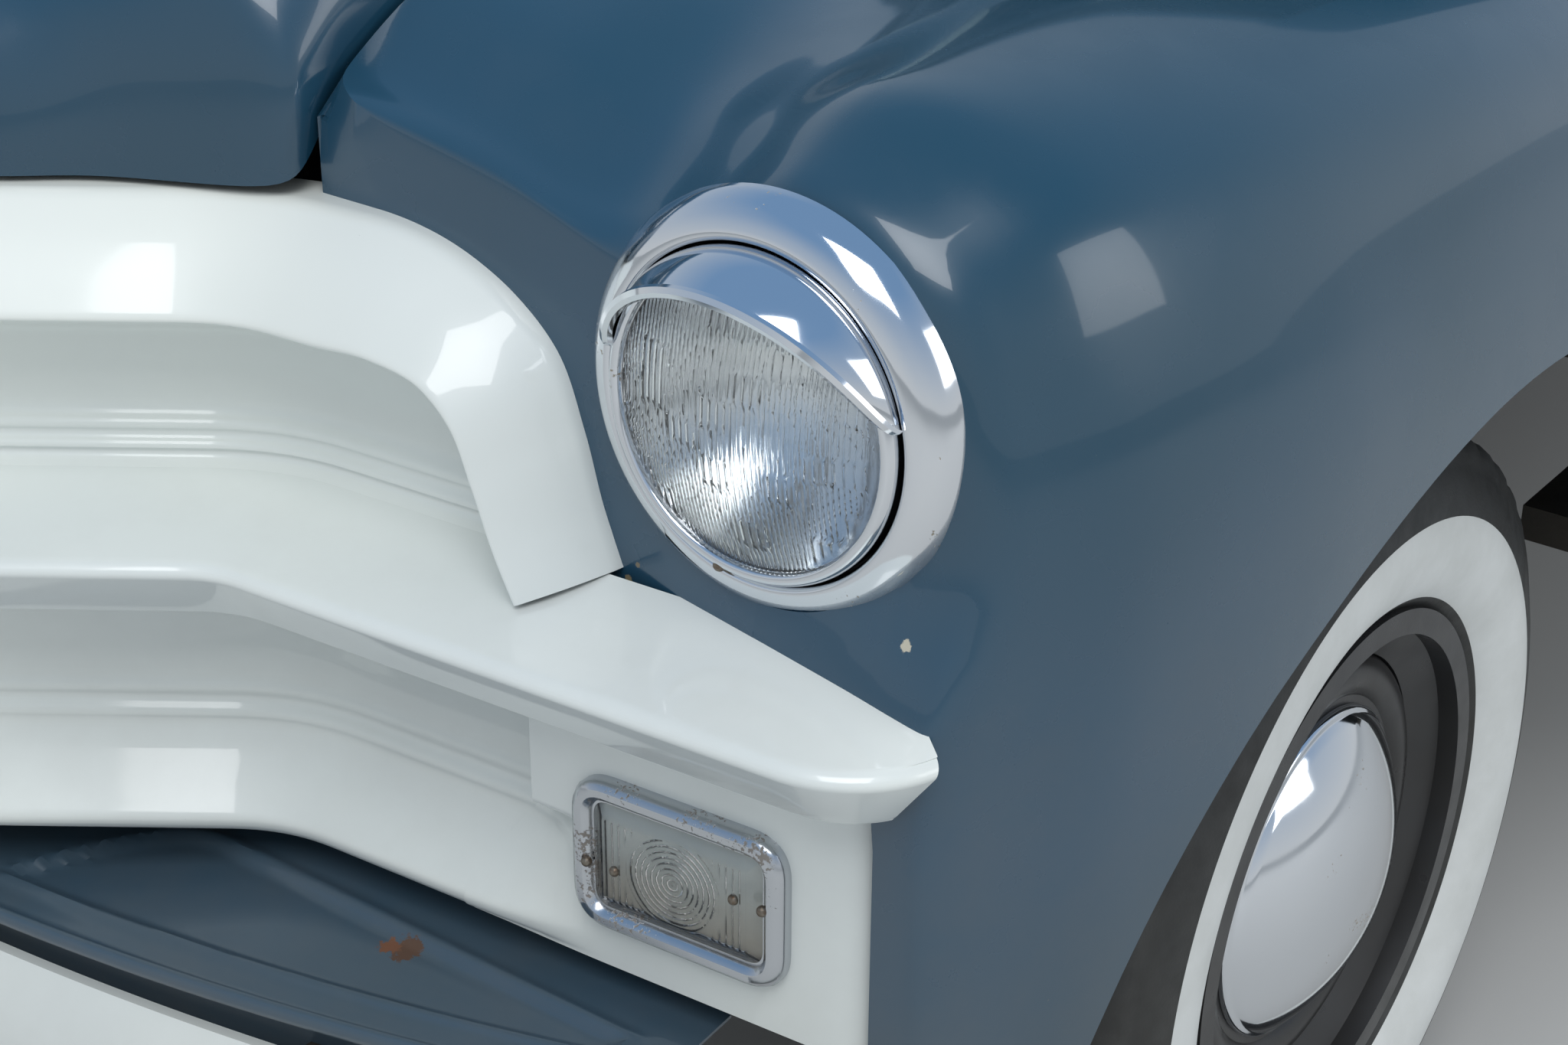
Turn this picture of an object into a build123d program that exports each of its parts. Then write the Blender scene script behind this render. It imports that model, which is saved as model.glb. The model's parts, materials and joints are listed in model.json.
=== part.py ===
from build123d import *
import math
import os

# A classic pickup truck with separate fenders, a one-piece windscreen and a step-side bed.
# X is across the truck with +X on its left side, Y runs from the nose to the tail and Z is up.
# The origin is on the ground under the middle of the overall length. Millimetres throughout.

# Overall layout
WHEELBASE = 2946.0
FRONT_OVERHANG = 840.0
REAR_OVERHANG = 1060.0
LENGTH = FRONT_OVERHANG + WHEELBASE + REAR_OVERHANG
Y_FRONT = FRONT_OVERHANG - LENGTH / 2
Y_REAR = Y_FRONT + WHEELBASE
TRACK_FRONT = 1408.0
TRACK_REAR = 1540.0
GAP = 6.0
SEAT = 0.3
BEYOND = 2000.0

# Wheels and tyres
TYRE_R = 355.0
TYRE_WIDTH = 166.0
AXLE_Z = TYRE_R
BEAD_R = 203.0
RIM_R = 217.0
RIM_WIDTH = 134.0
RIM_WALL = 6.0
WELL_R = 178.0
DISC_X = 20.0
HUB_R = 60.0
SPINDLE_R = 30.0
SHAFT_FIT = 0.1
CAP_R = 133.0
CAP_BULGE = 52.0
CAP_SHEET = 2.0
DRUM_R = 148.0
DRUM_BACK = -60.0
PLATE = 5.0
SPINDLE_END = 40.0
KINGPIN_X = 590.0
KINGPIN_R = 14.0
STEER_ARM = 140.0
ARM_INSET = 28.0

# Frame and running gear
RAIL_OUT = 432.0
RAIL_WIDTH = 57.0
RAIL_HEIGHT = 150.0
RAIL_WALL = 6.0
RAIL_TOP = 610.0
RAIL_FRONT = 600.0
RAIL_BACK = 940.0
CROSS_WIDTH = 90.0
CROSS_PLACES = [-570, -400, 1000, WHEELBASE - 846, WHEELBASE - 246, WHEELBASE + 384, WHEELBASE + RAIL_BACK - CROSS_WIDTH]
CAB_PADS = [640, 1840]
PAD_R = 26.0
SPRING_WIDTH = 45.0
SPRING_HALF = 500.0
SPRING_THICK = 36.0
SPRING_TIP = 402.0
REAR_SPRING_TIP = 432.0
EYE_R = 17.0
AXLE_TUBE_R = 38.0
BEAM_DROP = 28.0
SHAFT_R = 32.0
SHAFT_START = 900.0
SHAFT_Z = 480.0
HITCH_R = 10.0
HITCH_Z = 535.0

# Engine, gearbox, radiator and exhaust
ENGINE_FRONT = -150.0
ENGINE_BACK = 520.0
ENGINE_HALF = 150.0
ENGINE_LOW = 440.0
ENGINE_TOP = 1060.0
RADIATOR_FRONT = 390.0
RADIATOR_THICK = 60.0
RADIATOR_HALF = 270.0
RADIATOR_TOP = 1040.0
PIPE_X = -255.0
PIPE_Z = 432.0
PIPE_R = 22.0
MUFFLER_R = 68.0

# Cabin
COLUMN_X = 345.0
COLUMN_R = 20.0
STEER_LOW = (450.0, 590.0)
STEER_HIGH = (1085.0, 1160.0)
STEER_WHEEL_R = 215.0
STEER_RIM_R = 11.0

# Plan line of the nose at the lower edge of the grille's middle bar, from the centre to the left corner
BAR_LIP = 28.0
NOSE_Y = -LENGTH / 2 + BAR_LIP
NOSE_FLAT = 90.0
NOSE_R = 200.0
NOSE_SWEEP = 36.0
NOSE_STRAIGHT = 145.0
HOLLOW_R = 85.0
FACE_SWEEP = 3.7
FACE_FLAT = 374.0
FACE_EXTRA = 80.0
CORNER_R = 45.0
CORNER_END = 90.0
TIP = (806.0, -621.0)
TIP_BACK = (776.0, -600.0)

# Grille: heights, and offsets forward of the plan line
ARCH_TOP = 976.0
ARCH_LOW = 915.0
ARCH_IN = -14.0
ARCH_OUT = -73.0
ARCH_THICK = 34.0
ARCH_JOIN = 400.0
BAR_BACK_TOP = 802.0
BAR_CREASE = 779.0
BAR_BOTTOM = 739.0
BAR_DEPTH = 66.0
LOWER_BAR_TOP = 612.0
LOWER_BAR_BOTTOM = 559.0
LOWER_BAR_BACK = 34.0
CENTRE_BAR_HALF = 62.0
PANEL_X = 533.0
PANEL_END = 772.0
PANEL_OUT = -36.0
LOWER_BAR_END = 488.0
FOOT_END = 548.0
PANEL_LAP = 6.0
SHEET = 4.0

# Lamps
LAMP_X = 671.0
LAMP_Y = Y_FRONT - 581.0
LAMP_Z = 929.0
BEZEL_R = 118.5
BEZEL_INNER_R = 95.7
BEZEL_RISE = 20.0
GLASS_R = 90.0
GLASS_BULGE = 22.0
BUCKET_DEPTH = 130.0
VISOR_REACH = 44.0
PARK_X = 646.0
PARK_Z = 651.0
PARK_WIDTH = 137.0
PARK_HEIGHT = 99.0
PARK_EDGE = 16.0
VISOR_TURN = 130.0

# Apron and bumpers
SHIELD_R = 2050.0
SHIELD_FRONT = 770.0
APRON_Z = 536.0
APRON_FRONT_Z = 519.0
APRON_HALF = 600.0
BUMPER_R = 2100.0
BUMPER_FACE = 828.0
BUMPER_TOP = 499.0
BUMPER_HEIGHT = 146.0
BUMPER_HALF = 860.0
BUMPER_THICK = 5.0
BUMPER_BULGE = 34.0
REAR_BUMPER_R = 6000.0
REAR_BUMPER_HALF = 840.0

# Body
SKIN = 5.0
INNER_SHEET = 2.0
CAB_WALL = 46.0
FLOOR_WALL = 30.0
ROOF_WALL = 34.0
DOOR_IN = 600.0
DOOR_FRONT = 800.0
DOOR_BACK = 1650.0
DOOR_BOTTOM = 662.0
DOOR_TOP = 1712.0
SILL_Z = 1330.0
GLASS = 5.0
GLASS_DEPTH = 14.0
HANDLE_Z = 1236.0
DASH_HALF = 700.0
HINGE_PIN_R = 6.0
HINGE_R = 11.0
DOOR_HINGES = (900.0, 1200.0)
DOOR_PIN_X = 843.0
HOOD_PIN = (560.0, 1299.0)
HOOD_HINGE_X = 110.0

# Bed
BED_FRONT = 1935.0
BED_BACK = WHEELBASE + 956.0
BED_HALF = 640.0
BED_FLOOR = 705.0
BED_PLANK = 22.0
BED_TOP = 1112.0
BED_WALL = 26.0
GATE_THICK = 30.0
GATE_LOW = 690.0
BED_SHEET = 4.0
PLANKS = 8
STAKE_PLACES = [BED_FRONT + 105, WHEELBASE - 46, BED_BACK - 112]
SILL_PLACES = [BED_FRONT + 25, BED_FRONT + 505, WHEELBASE - 46, BED_BACK - 542, BED_BACK - 112]
REAR_ARCH_R = 452.0
BOARD_FRONT = 462.0
BOARD_BACK = 505.0
BOARD_IN = 700.0
BOARD_OUT = 905.0
BOARD_THICK = 32.0
BOARD_ARMS = [900, 1560, WHEELBASE - 746]
TAIL_X = 742.0
TAIL_Z = 742.0
TAIL_R = 50.0

# Hood sections: distance behind the front axle, half width, lower edge, side top, shoulder x, shoulder z, crown
HOOD_TABLE = [
    (-735, 70, 980, 984, 50, 1000, 1006),
    (-700, 165, 980, 1006, 124, 1060, 1085),
    (-650, 226, 980, 1026, 172, 1092, 1128),
    (-612, 290, 982, 1040, 218, 1110, 1152),
    (-596, 364, 990, 1050, 266, 1122, 1162),
    (-556, 368, 1036, 1090, 278, 1148, 1178),
    (-500, 380, 1084, 1110, 290, 1166, 1194),
    (-300, 402, 1098, 1130, 312, 1184, 1220),
    (100, 448, 1114, 1150, 352, 1208, 1252),
    (557, 545, 1130, 1166, 440, 1238, 1286),
]

# Front fender sections: distance behind the front axle, seam x and z, valley x and z, crest x and z,
# side x and z, lower edge x
FENDER_TABLE = [
    (-600, 378, 998, 566, 978, 656, 1012, 762, 926, 776),
    (-582, 376, 1020, 570, 998, 668, 1042, 790, 938, 800),
    (-556, 376, 1042, 562, 1010, 676, 1058, 812, 944, 822),
    (-500, 388, 1086, 530, 1024, 680, 1080, 842, 952, 846),
    (-300, 410, 1100, 500, 1070, 700, 1090, 878, 926, 876),
    (100, 456, 1116, 560, 1096, 740, 1066, 890, 868, 884),
    (557, 553, 1122, 640, 1060, 770, 930, 888, 740, 880),
    (780, 800, 800, 820, 790, 846, 760, 884, 640, 876),
]
FENDER_LOW = 470.0
ARCH_CUT_R = 478.0
ARCH_CUT_BACK = 70.0

# Rear fender sections: distance behind the rear axle, outer x, top z, side z, lower edge z
REAR_FENDER_TABLE = [
    (-560, 700, 640, 560, 470),
    (-500, 800, 780, 600, 450),
    (-330, 912, 945, 690, 440),
    (-60, 958, 1006, 730, 440),
    (220, 950, 978, 700, 440),
    (450, 886, 850, 640, 450),
    (580, 780, 690, 580, 470),
    (620, 700, 600, 545, 480),
]

# Cab sections: height, front y, half width at the front corner, bulge of the front, shoulder y, half width,
# rear y and rear corner radius, with y behind the front axle
CAB_TABLE = [
    (625, 566, 540, 14, 790, 828, 1895, 150),
    (1000, 566, 545, 18, 792, 838, 1905, 160),
    (1210, 570, 545, 26, 792, 836, 1908, 170),
    (1292, 604, 560, 44, 790, 828, 1906, 175),
    (1322, 654, 590, 60, 790, 818, 1900, 180),
    (1560, 775, 575, 80, 905, 772, 1872, 190),
    (1700, 868, 530, 84, 1030, 718, 1830, 200),
    (1768, 960, 464, 76, 1110, 640, 1742, 190),
    (1792, 1062, 370, 54, 1180, 520, 1665, 170),
    (1806, 1190, 230, 24, 1262, 320, 1535, 120),
]

# Sections along the nose: offset forward of its line, and height
ARCH_SECTION = [
    (ARCH_IN, ARCH_LOW),
    (ARCH_OUT, ARCH_TOP),
    (ARCH_OUT - ARCH_THICK, ARCH_TOP),
    (ARCH_IN - ARCH_THICK, ARCH_LOW),
]
BAR_SECTION = [
    (0, BAR_BOTTOM),
    (BAR_LIP, BAR_CREASE),
    (-BAR_DEPTH, BAR_BACK_TOP),
    (-BAR_DEPTH, BAR_BOTTOM),
]
LOWER_BAR_SECTION = [
    (-LOWER_BAR_BACK, LOWER_BAR_BOTTOM),
    (-LOWER_BAR_BACK + 12, LOWER_BAR_BOTTOM + 26),
    (-LOWER_BAR_BACK, LOWER_BAR_TOP),
    (-LOWER_BAR_BACK - 24, LOWER_BAR_TOP),
    (-LOWER_BAR_BACK - 24, LOWER_BAR_BOTTOM),
]
FOOT_SECTION = [
    (PANEL_OUT, LOWER_BAR_BOTTOM),
    (PANEL_OUT + 2, LOWER_BAR_BOTTOM + 26),
    (PANEL_OUT, LOWER_BAR_TOP + 14),
    (-LOWER_BAR_BACK - 24, LOWER_BAR_TOP + 14),
    (-LOWER_BAR_BACK - 24, LOWER_BAR_BOTTOM),
]
UPPER_BAFFLE_SECTION = [
    (-BAR_DEPTH, BAR_BACK_TOP - 4),
    (-BAR_DEPTH - 18, BAR_BACK_TOP + 36),
    (ARCH_IN - ARCH_THICK, ARCH_LOW),
    (ARCH_IN - ARCH_THICK - SHEET, ARCH_LOW + 2),
    (-BAR_DEPTH - 18 - SHEET, BAR_BACK_TOP + 36),
    (-BAR_DEPTH - SHEET, BAR_BACK_TOP - 6),
]
LOWER_BAFFLE_SECTION = [
    (-BAR_DEPTH, BAR_BOTTOM + 10),
    (-BAR_DEPTH - 6, BAR_BOTTOM - 44),
    (-LOWER_BAR_BACK - 24, LOWER_BAR_TOP - 8),
    (-LOWER_BAR_BACK - 24 - SHEET, LOWER_BAR_TOP - 12),
    (-BAR_DEPTH - 6 - SHEET, BAR_BOTTOM - 44),
    (-BAR_DEPTH - SHEET, BAR_BOTTOM + 10),
]
PANEL_SECTION = [
    (PANEL_OUT, BAR_BOTTOM),
    (PANEL_OUT, LOWER_BAR_BOTTOM - 8),
    (PANEL_OUT - SHEET, LOWER_BAR_BOTTOM - 8),
    (PANEL_OUT - SHEET, BAR_BOTTOM),
]

# Arch corner and leg stations: inner edge x and z, outer edge x and z
ARCH_TABLE = [
    (455, 915, 462, 969),
    (488, 900, 515, 948),
    (506, 873, 550, 906),
    (522, 838, 566, 860),
    (554, 784, 584, 798),
]

# Glass outlines in X and Z
WINDSCREEN = [
    (-600, 1352),
    ((0, 1344), (600, 1352)),
    ((634, 1362), (628, 1396)),
    (560, 1634),
    ((546, 1664), (510, 1674)),
    ((0, 1688), (-510, 1674)),
    ((-546, 1664), (-560, 1634)),
    (-628, 1396),
]
REAR_WINDOW = [
    (-420, 1400),
    ((-408, 1372), (-380, 1362)),
    (380, 1362),
    ((408, 1372), (420, 1400)),
    (404, 1600),
    ((392, 1628), (364, 1638)),
    (-364, 1638),
    ((-392, 1628), (-404, 1600)),
]

# Steering axis, from the box on the frame up to the steering wheel
STEER_START = (COLUMN_X, Y_FRONT + STEER_LOW[0], STEER_LOW[1])
STEER_END = (COLUMN_X, Y_FRONT + STEER_HIGH[0], STEER_HIGH[1])
STEER_AXIS = Axis(STEER_END, tuple(b - a for a, b in zip(STEER_START, STEER_END)))

PARTS = {}


def add(name, *solids):
    """Keeps the solids of one node."""
    flat = []
    for item in solids:
        flat.extend(item if isinstance(item, (list, tuple)) else [item])
    PARTS[name] = flat


def block(x0, x1, y0, y1, z0, z1):
    """A box between two corners."""
    return Pos((x0 + x1) / 2, (y0 + y1) / 2, (z0 + z1) / 2) * Box(abs(x1 - x0), abs(y1 - y0), abs(z1 - z0))


def rod(start, end, radius):
    """A round bar between two points."""
    start, end = Vector(*start), Vector(*end)
    line = end - start
    plane = Plane(origin=start, z_dir=line.normalized())
    return extrude(plane * Circle(radius), line.length)


def mirrored(part):
    """The same piece on the truck's right side."""
    return mirror(part, Plane.YZ)


def pair(part):
    """A piece and its mirror image."""
    return [part, mirrored(part)]


def outline(points, place):
    """A face through points; an item of two pairs is an arc by way of its first pair."""
    edges = []
    here = place(*points[0])
    for item in points[1:] + [points[0]]:
        if isinstance(item[0], tuple):
            via, end = place(*item[0]), place(*item[1])
            edges.append(ThreePointArc(here, via, end))
        else:
            end = place(*item)
            edges.append(Line(here, end))
        here = end
    return make_face(edges)


def side_plate(points, x0, x1):
    """An outline in Y and Z, pulled along X."""
    return extrude(outline(points, lambda y, z: (x0, y, z)), amount=x1 - x0, dir=(1, 0, 0))


def front_plate(points, y0, y1):
    """An outline in X and Z, pulled along Y."""
    return extrude(outline(points, lambda x, z: (x, y0, z)), amount=y1 - y0, dir=(0, 1, 0))


def plan_plate(points, z0, z1):
    """An outline in X and Y, pulled along Z."""
    return extrude(outline(points, lambda x, y: (x, y, z0)), amount=z1 - z0, dir=(0, 0, 1))


def rounded(a0, a1, b0, b1, radius):
    """The points of a rounded rectangle, for an outline that closes with a line."""
    k = radius * (1 - math.sqrt(0.5))
    return [
        (a0, b0 + radius),
        ((a0 + k, b0 + k), (a0 + radius, b0)),
        (a1 - radius, b0),
        ((a1 - k, b0 + k), (a1, b0 + radius)),
        (a1, b1 - radius),
        ((a1 - k, b1 - k), (a1 - radius, b1)),
        (a0 + radius, b1),
        ((a0 + k, b1 - k), (a0, b1 - radius)),
    ]


def dome(rim, low, top):
    """A round cap centred on its axis, from its rim to its top, as an outline item."""
    rise = top - low
    radius = (rim**2 + rise**2) / (2 * rise)
    half = math.asin(rim / radius) / 2
    return ((radius * math.sin(half), top - radius + radius * math.cos(half)), (0, top))


def spun(points):
    """An outline in radius and height, turned about the Z axis."""
    return revolve(outline(points, lambda r, a: (r, 0, a)), Axis.Z, 360)


def facing_x(solid, x, y, z):
    """A spun piece with its axis turned to +X."""
    return Pos(x, y, z) * Rot(0, 90, 0) * solid


def facing_front(solid, x, y, z):
    """A spun piece with its axis turned to the front of the truck."""
    return Pos(x, y, z) * Rot(90, 0, 0) * solid


def nose_half():
    """Plan line of the nose on the left side, as tangent lines and arcs, run straight on past its face."""
    steps = [
        (None, NOSE_FLAT),
        (NOSE_R, NOSE_SWEEP),
        (None, NOSE_STRAIGHT),
        (HOLLOW_R, FACE_SWEEP - NOSE_SWEEP),
        (None, FACE_FLAT + FACE_EXTRA),
    ]
    edges = []
    x, y, heading = 0.0, NOSE_Y, 0.0
    for radius, amount in steps:
        if radius is None:
            end = (x + amount * math.cos(heading), y + amount * math.sin(heading))
            edges.append(Line((x, y, 0), (*end, 0)))
        else:
            turn = math.radians(amount)
            side = math.copysign(radius, turn)
            cx, cy = x - side * math.sin(heading), y + side * math.cos(heading)
            ends = [
                (cx + side * math.sin(heading + part * turn), cy - side * math.cos(heading + part * turn))
                for part in (0.5, 1.0)
            ]
            edges.append(ThreePointArc((x, y, 0), (*ends[0], 0), (*ends[1], 0)))
            heading += turn
            end = ends[1]
        x, y = end
    return Wire(edges)


def face_end():
    """Where the face of the nose line turns into its corner."""
    face = math.radians(FACE_SWEEP)
    last = nose_half() @ 1
    return last.X - FACE_EXTRA * math.cos(face), last.Y - FACE_EXTRA * math.sin(face)


def face_y(x, forward):
    """The y of the flat face of the nose at x, moved forward."""
    face = math.radians(FACE_SWEEP)
    end_x, end_y = face_end()
    return end_y + (x - end_x) * math.tan(face) - forward / math.cos(face)


def along_nose(points, x0=0.0, x1=BEYOND):
    """A section in forward offset and Z, carried along the nose between two distances from the centre."""
    face = outline(points, lambda forward, z: (0, NOSE_Y - forward, z))
    half = sweep(face, path=nose_half())
    if x0 > 0 or x1 < BEYOND:
        half = half & block(x0, x1, -LENGTH, LENGTH, -10, BEYOND)
    return half


def whole(half):
    """A centred piece from its left half."""
    return half + mirrored(half)


def hood_section(row, inset, y):
    """An arched hood section across the truck, inset from the outer surface."""
    _, half, low, side_top, x2, z2, crown = row
    half, x2, z2, crown = half - inset, x2 - 0.7 * inset, z2 - inset, crown - inset
    via_x, via_z = x2 + 0.62 * (half - x2), z2 - 0.34 * (z2 - side_top)
    low -= 0 if inset == 0 else 2 * SKIN
    points = [
        (-half, low),
        (half, low),
        (half, side_top),
        ((via_x, via_z), (x2, z2)),
        ((0, crown), (-x2, z2)),
        ((-via_x, via_z), (-half, side_top)),
    ]
    return outline(points, lambda x, z: (x, y, z))


def hood_solid(inset=0.0):
    """The space under the hood's outer surface, inset from it."""
    faces = [hood_section(row, inset, Y_FRONT + row[0]) for row in HOOD_TABLE]
    if inset:
        faces[0] = hood_section(HOOD_TABLE[0], inset, Y_FRONT + HOOD_TABLE[0][0] + inset)
        faces[-1] = hood_section(HOOD_TABLE[-1], inset, Y_FRONT + HOOD_TABLE[-1][0] + inset)
    return loft(faces, ruled=True)


def fender_section(row, inset, y):
    """A front fender section: catwalk valley, lamp crest, outer side and an inner closing line."""
    _, seam_x, seam_z, valley_x, valley_z, crest_x, crest_z, side_x, side_z, low_x = row
    seam_z, valley_z, crest_z = seam_z - inset, valley_z - inset, crest_z - inset
    side_x, low_x = side_x - inset, low_x - inset
    low = FENDER_LOW - 2 * inset
    crest_x = min(crest_x, side_x - 20)
    inner_x = seam_x - 4 * inset
    points = [
        (inner_x, low),
        (inner_x, seam_z + 0.5),
        (seam_x, seam_z),
        (((seam_x + valley_x) / 2, (seam_z + valley_z) / 2 + 2), (valley_x, valley_z)),
        (((valley_x + crest_x) / 2, (valley_z + crest_z) / 2 - 2), (crest_x, crest_z)),
        ((crest_x + 0.72 * (side_x - crest_x), side_z + 0.70 * (crest_z - side_z)), (side_x, side_z)),
        (((side_x + low_x) / 2 + 2, (side_z + low) / 2), (low_x, low)),
    ]
    return outline(points, lambda x, z: (x, y, z))


def fender_solid(inset=0.0):
    """The space under the left front fender's outer surface, inset from it."""
    faces = [fender_section(row, inset, Y_FRONT + row[0]) for row in FENDER_TABLE]
    if inset:
        faces[0] = fender_section(FENDER_TABLE[0], inset, Y_FRONT + FENDER_TABLE[0][0] + inset)
        faces[-1] = fender_section(FENDER_TABLE[-1], inset, Y_FRONT + FENDER_TABLE[-1][0] + inset)
    return loft(faces, ruled=True)


def rear_fender_section(row, inset, y):
    """A rear fender section, a quarter of a barrel that closes against the bed side."""
    _, side_x, top, side_z, low = row
    side_x, top = side_x - inset, top - inset
    low -= 2 * inset
    root = BED_HALF + BED_WALL / 2 - 4 * inset
    points = [
        (root, low),
        (root, top),
        ((root + 0.72 * (side_x - root), side_z + 0.72 * (top - side_z)), (side_x, side_z)),
        (side_x - 8, low),
    ]
    return outline(points, lambda x, z: (x, y, z))


def rear_fender_solid(inset=0.0):
    """The space under the left rear fender's outer surface, inset from it."""
    faces = [rear_fender_section(row, inset, Y_REAR + row[0]) for row in REAR_FENDER_TABLE]
    if inset:
        first, last = REAR_FENDER_TABLE[0], REAR_FENDER_TABLE[-1]
        faces[0] = rear_fender_section(first, inset, Y_REAR + first[0] + inset)
        faces[-1] = rear_fender_section(last, inset, Y_REAR + last[0] - inset)
    return loft(faces, ruled=True)


def cab_section(row, inset, z):
    """A level cab section: curved front, bowed cowl or pillar, straight side and round rear corner."""
    _, front, front_half, bulge, shoulder, half, rear, corner = row
    front, rear, half, front_half = front + inset, rear - inset, half - inset, front_half - 0.5 * inset
    corner = corner - 0.8 * inset
    run_x, run_y = half - front_half, shoulder - front - bulge
    bow = 0.12
    via = ((front_half + half) / 2 + bow * run_y, Y_FRONT + (front + bulge + shoulder) / 2 - bow * run_x)
    y0, ys, yr = Y_FRONT + front, Y_FRONT + shoulder, Y_FRONT + rear
    k = corner * (1 - math.sqrt(0.5))
    points = [
        (-half, ys),
        ((-via[0], via[1]), (-front_half, y0 + bulge)),
        ((0, y0), (front_half, y0 + bulge)),
        (via, (half, ys)),
        (half, yr - corner),
        ((half - k, yr - k), (half - corner, yr)),
        (corner - half, yr),
        ((k - half, yr - k), (-half, yr - corner)),
    ]
    return outline(points, lambda x, y: (x, y, z))


def cab_solid(inset=0.0, floor=0.0, roof=0.0):
    """The cab's outer form, or its inside when it is inset from the walls, floor and roof."""
    bottom, top = CAB_TABLE[0][0], CAB_TABLE[-1][0]
    scale = (top - roof - bottom - floor) / (top - bottom)
    faces = [cab_section(row, inset, bottom + floor + (row[0] - bottom) * scale) for row in CAB_TABLE]
    return loft(faces, ruled=True)


def cab_skin(depth, thickness):
    """A thin layer that follows the cab's outer surface at a depth."""
    return cab_solid(depth, depth, depth) - cab_solid(depth + thickness, depth + thickness, depth + thickness)


def door_outline(grow):
    """The door in Y and Z, grown outwards, with the front edge following the windscreen pillar."""
    f, b, low, top = DOOR_FRONT - grow, DOOR_BACK + grow, DOOR_BOTTOM - grow, DOOR_TOP + grow
    points = [
        (f, low + 60),
        ((f + 17, low + 17), (f + 60, low)),
        (b - 60, low),
        ((b - 17, low + 17), (b, low + 60)),
        (b, top - 90),
        ((b - 26, top - 26), (b - 90, top)),
        (f + 290, top),
        ((f + 222, top - 18), (f + 188, top - 70)),
        (f + 14, SILL_Z - 10),
        ((f + 3, SILL_Z - 34), (f, SILL_Z - 60)),
    ]
    return [
        tuple((Y_FRONT + p[0], p[1]) for p in item) if isinstance(item[0], tuple) else (Y_FRONT + item[0], item[1])
        for item in points
    ]


def window_outline():
    """The door's window opening in Y and Z."""
    f, b, top = Y_FRONT + DOOR_FRONT + 52, Y_FRONT + DOOR_BACK - 46, DOOR_TOP - 46
    return [
        (f + 14, SILL_Z),
        (b - 40, SILL_Z),
        ((b - 12, SILL_Z + 12), (b, SILL_Z + 40)),
        (b - 6, top - 70),
        ((b - 28, top - 20), (b - 80, top)),
        (f + 212, top),
        ((f + 176, top - 12), (f + 154, top - 46)),
        (f + 6, SILL_Z + 34),
    ]


def build_frame():
    """Channel rails with pads for the cab, and channel crossmembers that end inside the rails."""
    y0, y1 = Y_FRONT - RAIL_FRONT, Y_REAR + RAIL_BACK
    low, inner = RAIL_TOP - RAIL_HEIGHT, RAIL_OUT - RAIL_WIDTH
    web, t = RAIL_OUT - RAIL_WALL, RAIL_WALL
    rail = block(inner, RAIL_OUT, y0, y1, low, RAIL_TOP)
    rail -= block(inner, web, y0, y1, low + t, RAIL_TOP - t)
    for dy in CAB_PADS:
        x, y = RAIL_OUT - RAIL_WIDTH / 2, Y_FRONT + dy
        rail += rod((x, y, RAIL_TOP), (x, y, CAB_TABLE[0][0]), PAD_R)
    add("frame_rails", pair(rail))
    tunnel = rod((0, Y_FRONT + SHAFT_START, SHAFT_Z), (0, Y_REAR, AXLE_Z), 2 * SHAFT_R)
    cross = []
    for dy in CROSS_PLACES:
        y = Y_FRONT + dy
        bar = block(-web, web, y, y + CROSS_WIDTH, low + t, RAIL_TOP - t)
        bar -= block(-web, web, y + t, y + CROSS_WIDTH, low + 2 * t, RAIL_TOP - 2 * t)
        cross.append(bar - tunnel)
    last = Y_FRONT + CROSS_PLACES[-1]
    cross[-1] -= rod((0, last - 1, HITCH_Z), (0, last + t + 1, HITCH_Z), HITCH_R)
    add("frame_crossmembers", cross)


def build_front_axle():
    """A forged beam, dropped between its kingpin eyes and hollowed to an I section."""
    x, half = KINGPIN_X, 34
    deep = AXLE_Z - BEAM_DROP
    beam = front_plate(
        [
            (-x, AXLE_Z - half),
            (-x + 60, AXLE_Z - half),
            (-x + 150, deep - 64),
            (x - 150, deep - 64),
            (x - 60, AXLE_Z - half),
            (x, AXLE_Z - half),
            (x, AXLE_Z + half),
            (x - 60, AXLE_Z + half),
            (x - 150, deep),
            (-x + 150, deep),
            (-x + 60, AXLE_Z + half),
            (-x, AXLE_Z + half),
        ],
        Y_FRONT - 22,
        Y_FRONT + 22,
    )
    for side in (-1, 1):
        beam -= front_plate(
            rounded(-x + 170, x - 170, deep - 52, deep - 12, 12), Y_FRONT + side * 6, Y_FRONT + side * 30
        )
    for side in (-1, 1):
        beam += rod((side * x, Y_FRONT, AXLE_Z - half), (side * x, Y_FRONT, AXLE_Z + half), 26)
        beam -= rod((side * x, Y_FRONT, 0), (side * x, Y_FRONT, BEYOND), KINGPIN_R + SHAFT_FIT)
    add("front_axle", beam)


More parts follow.
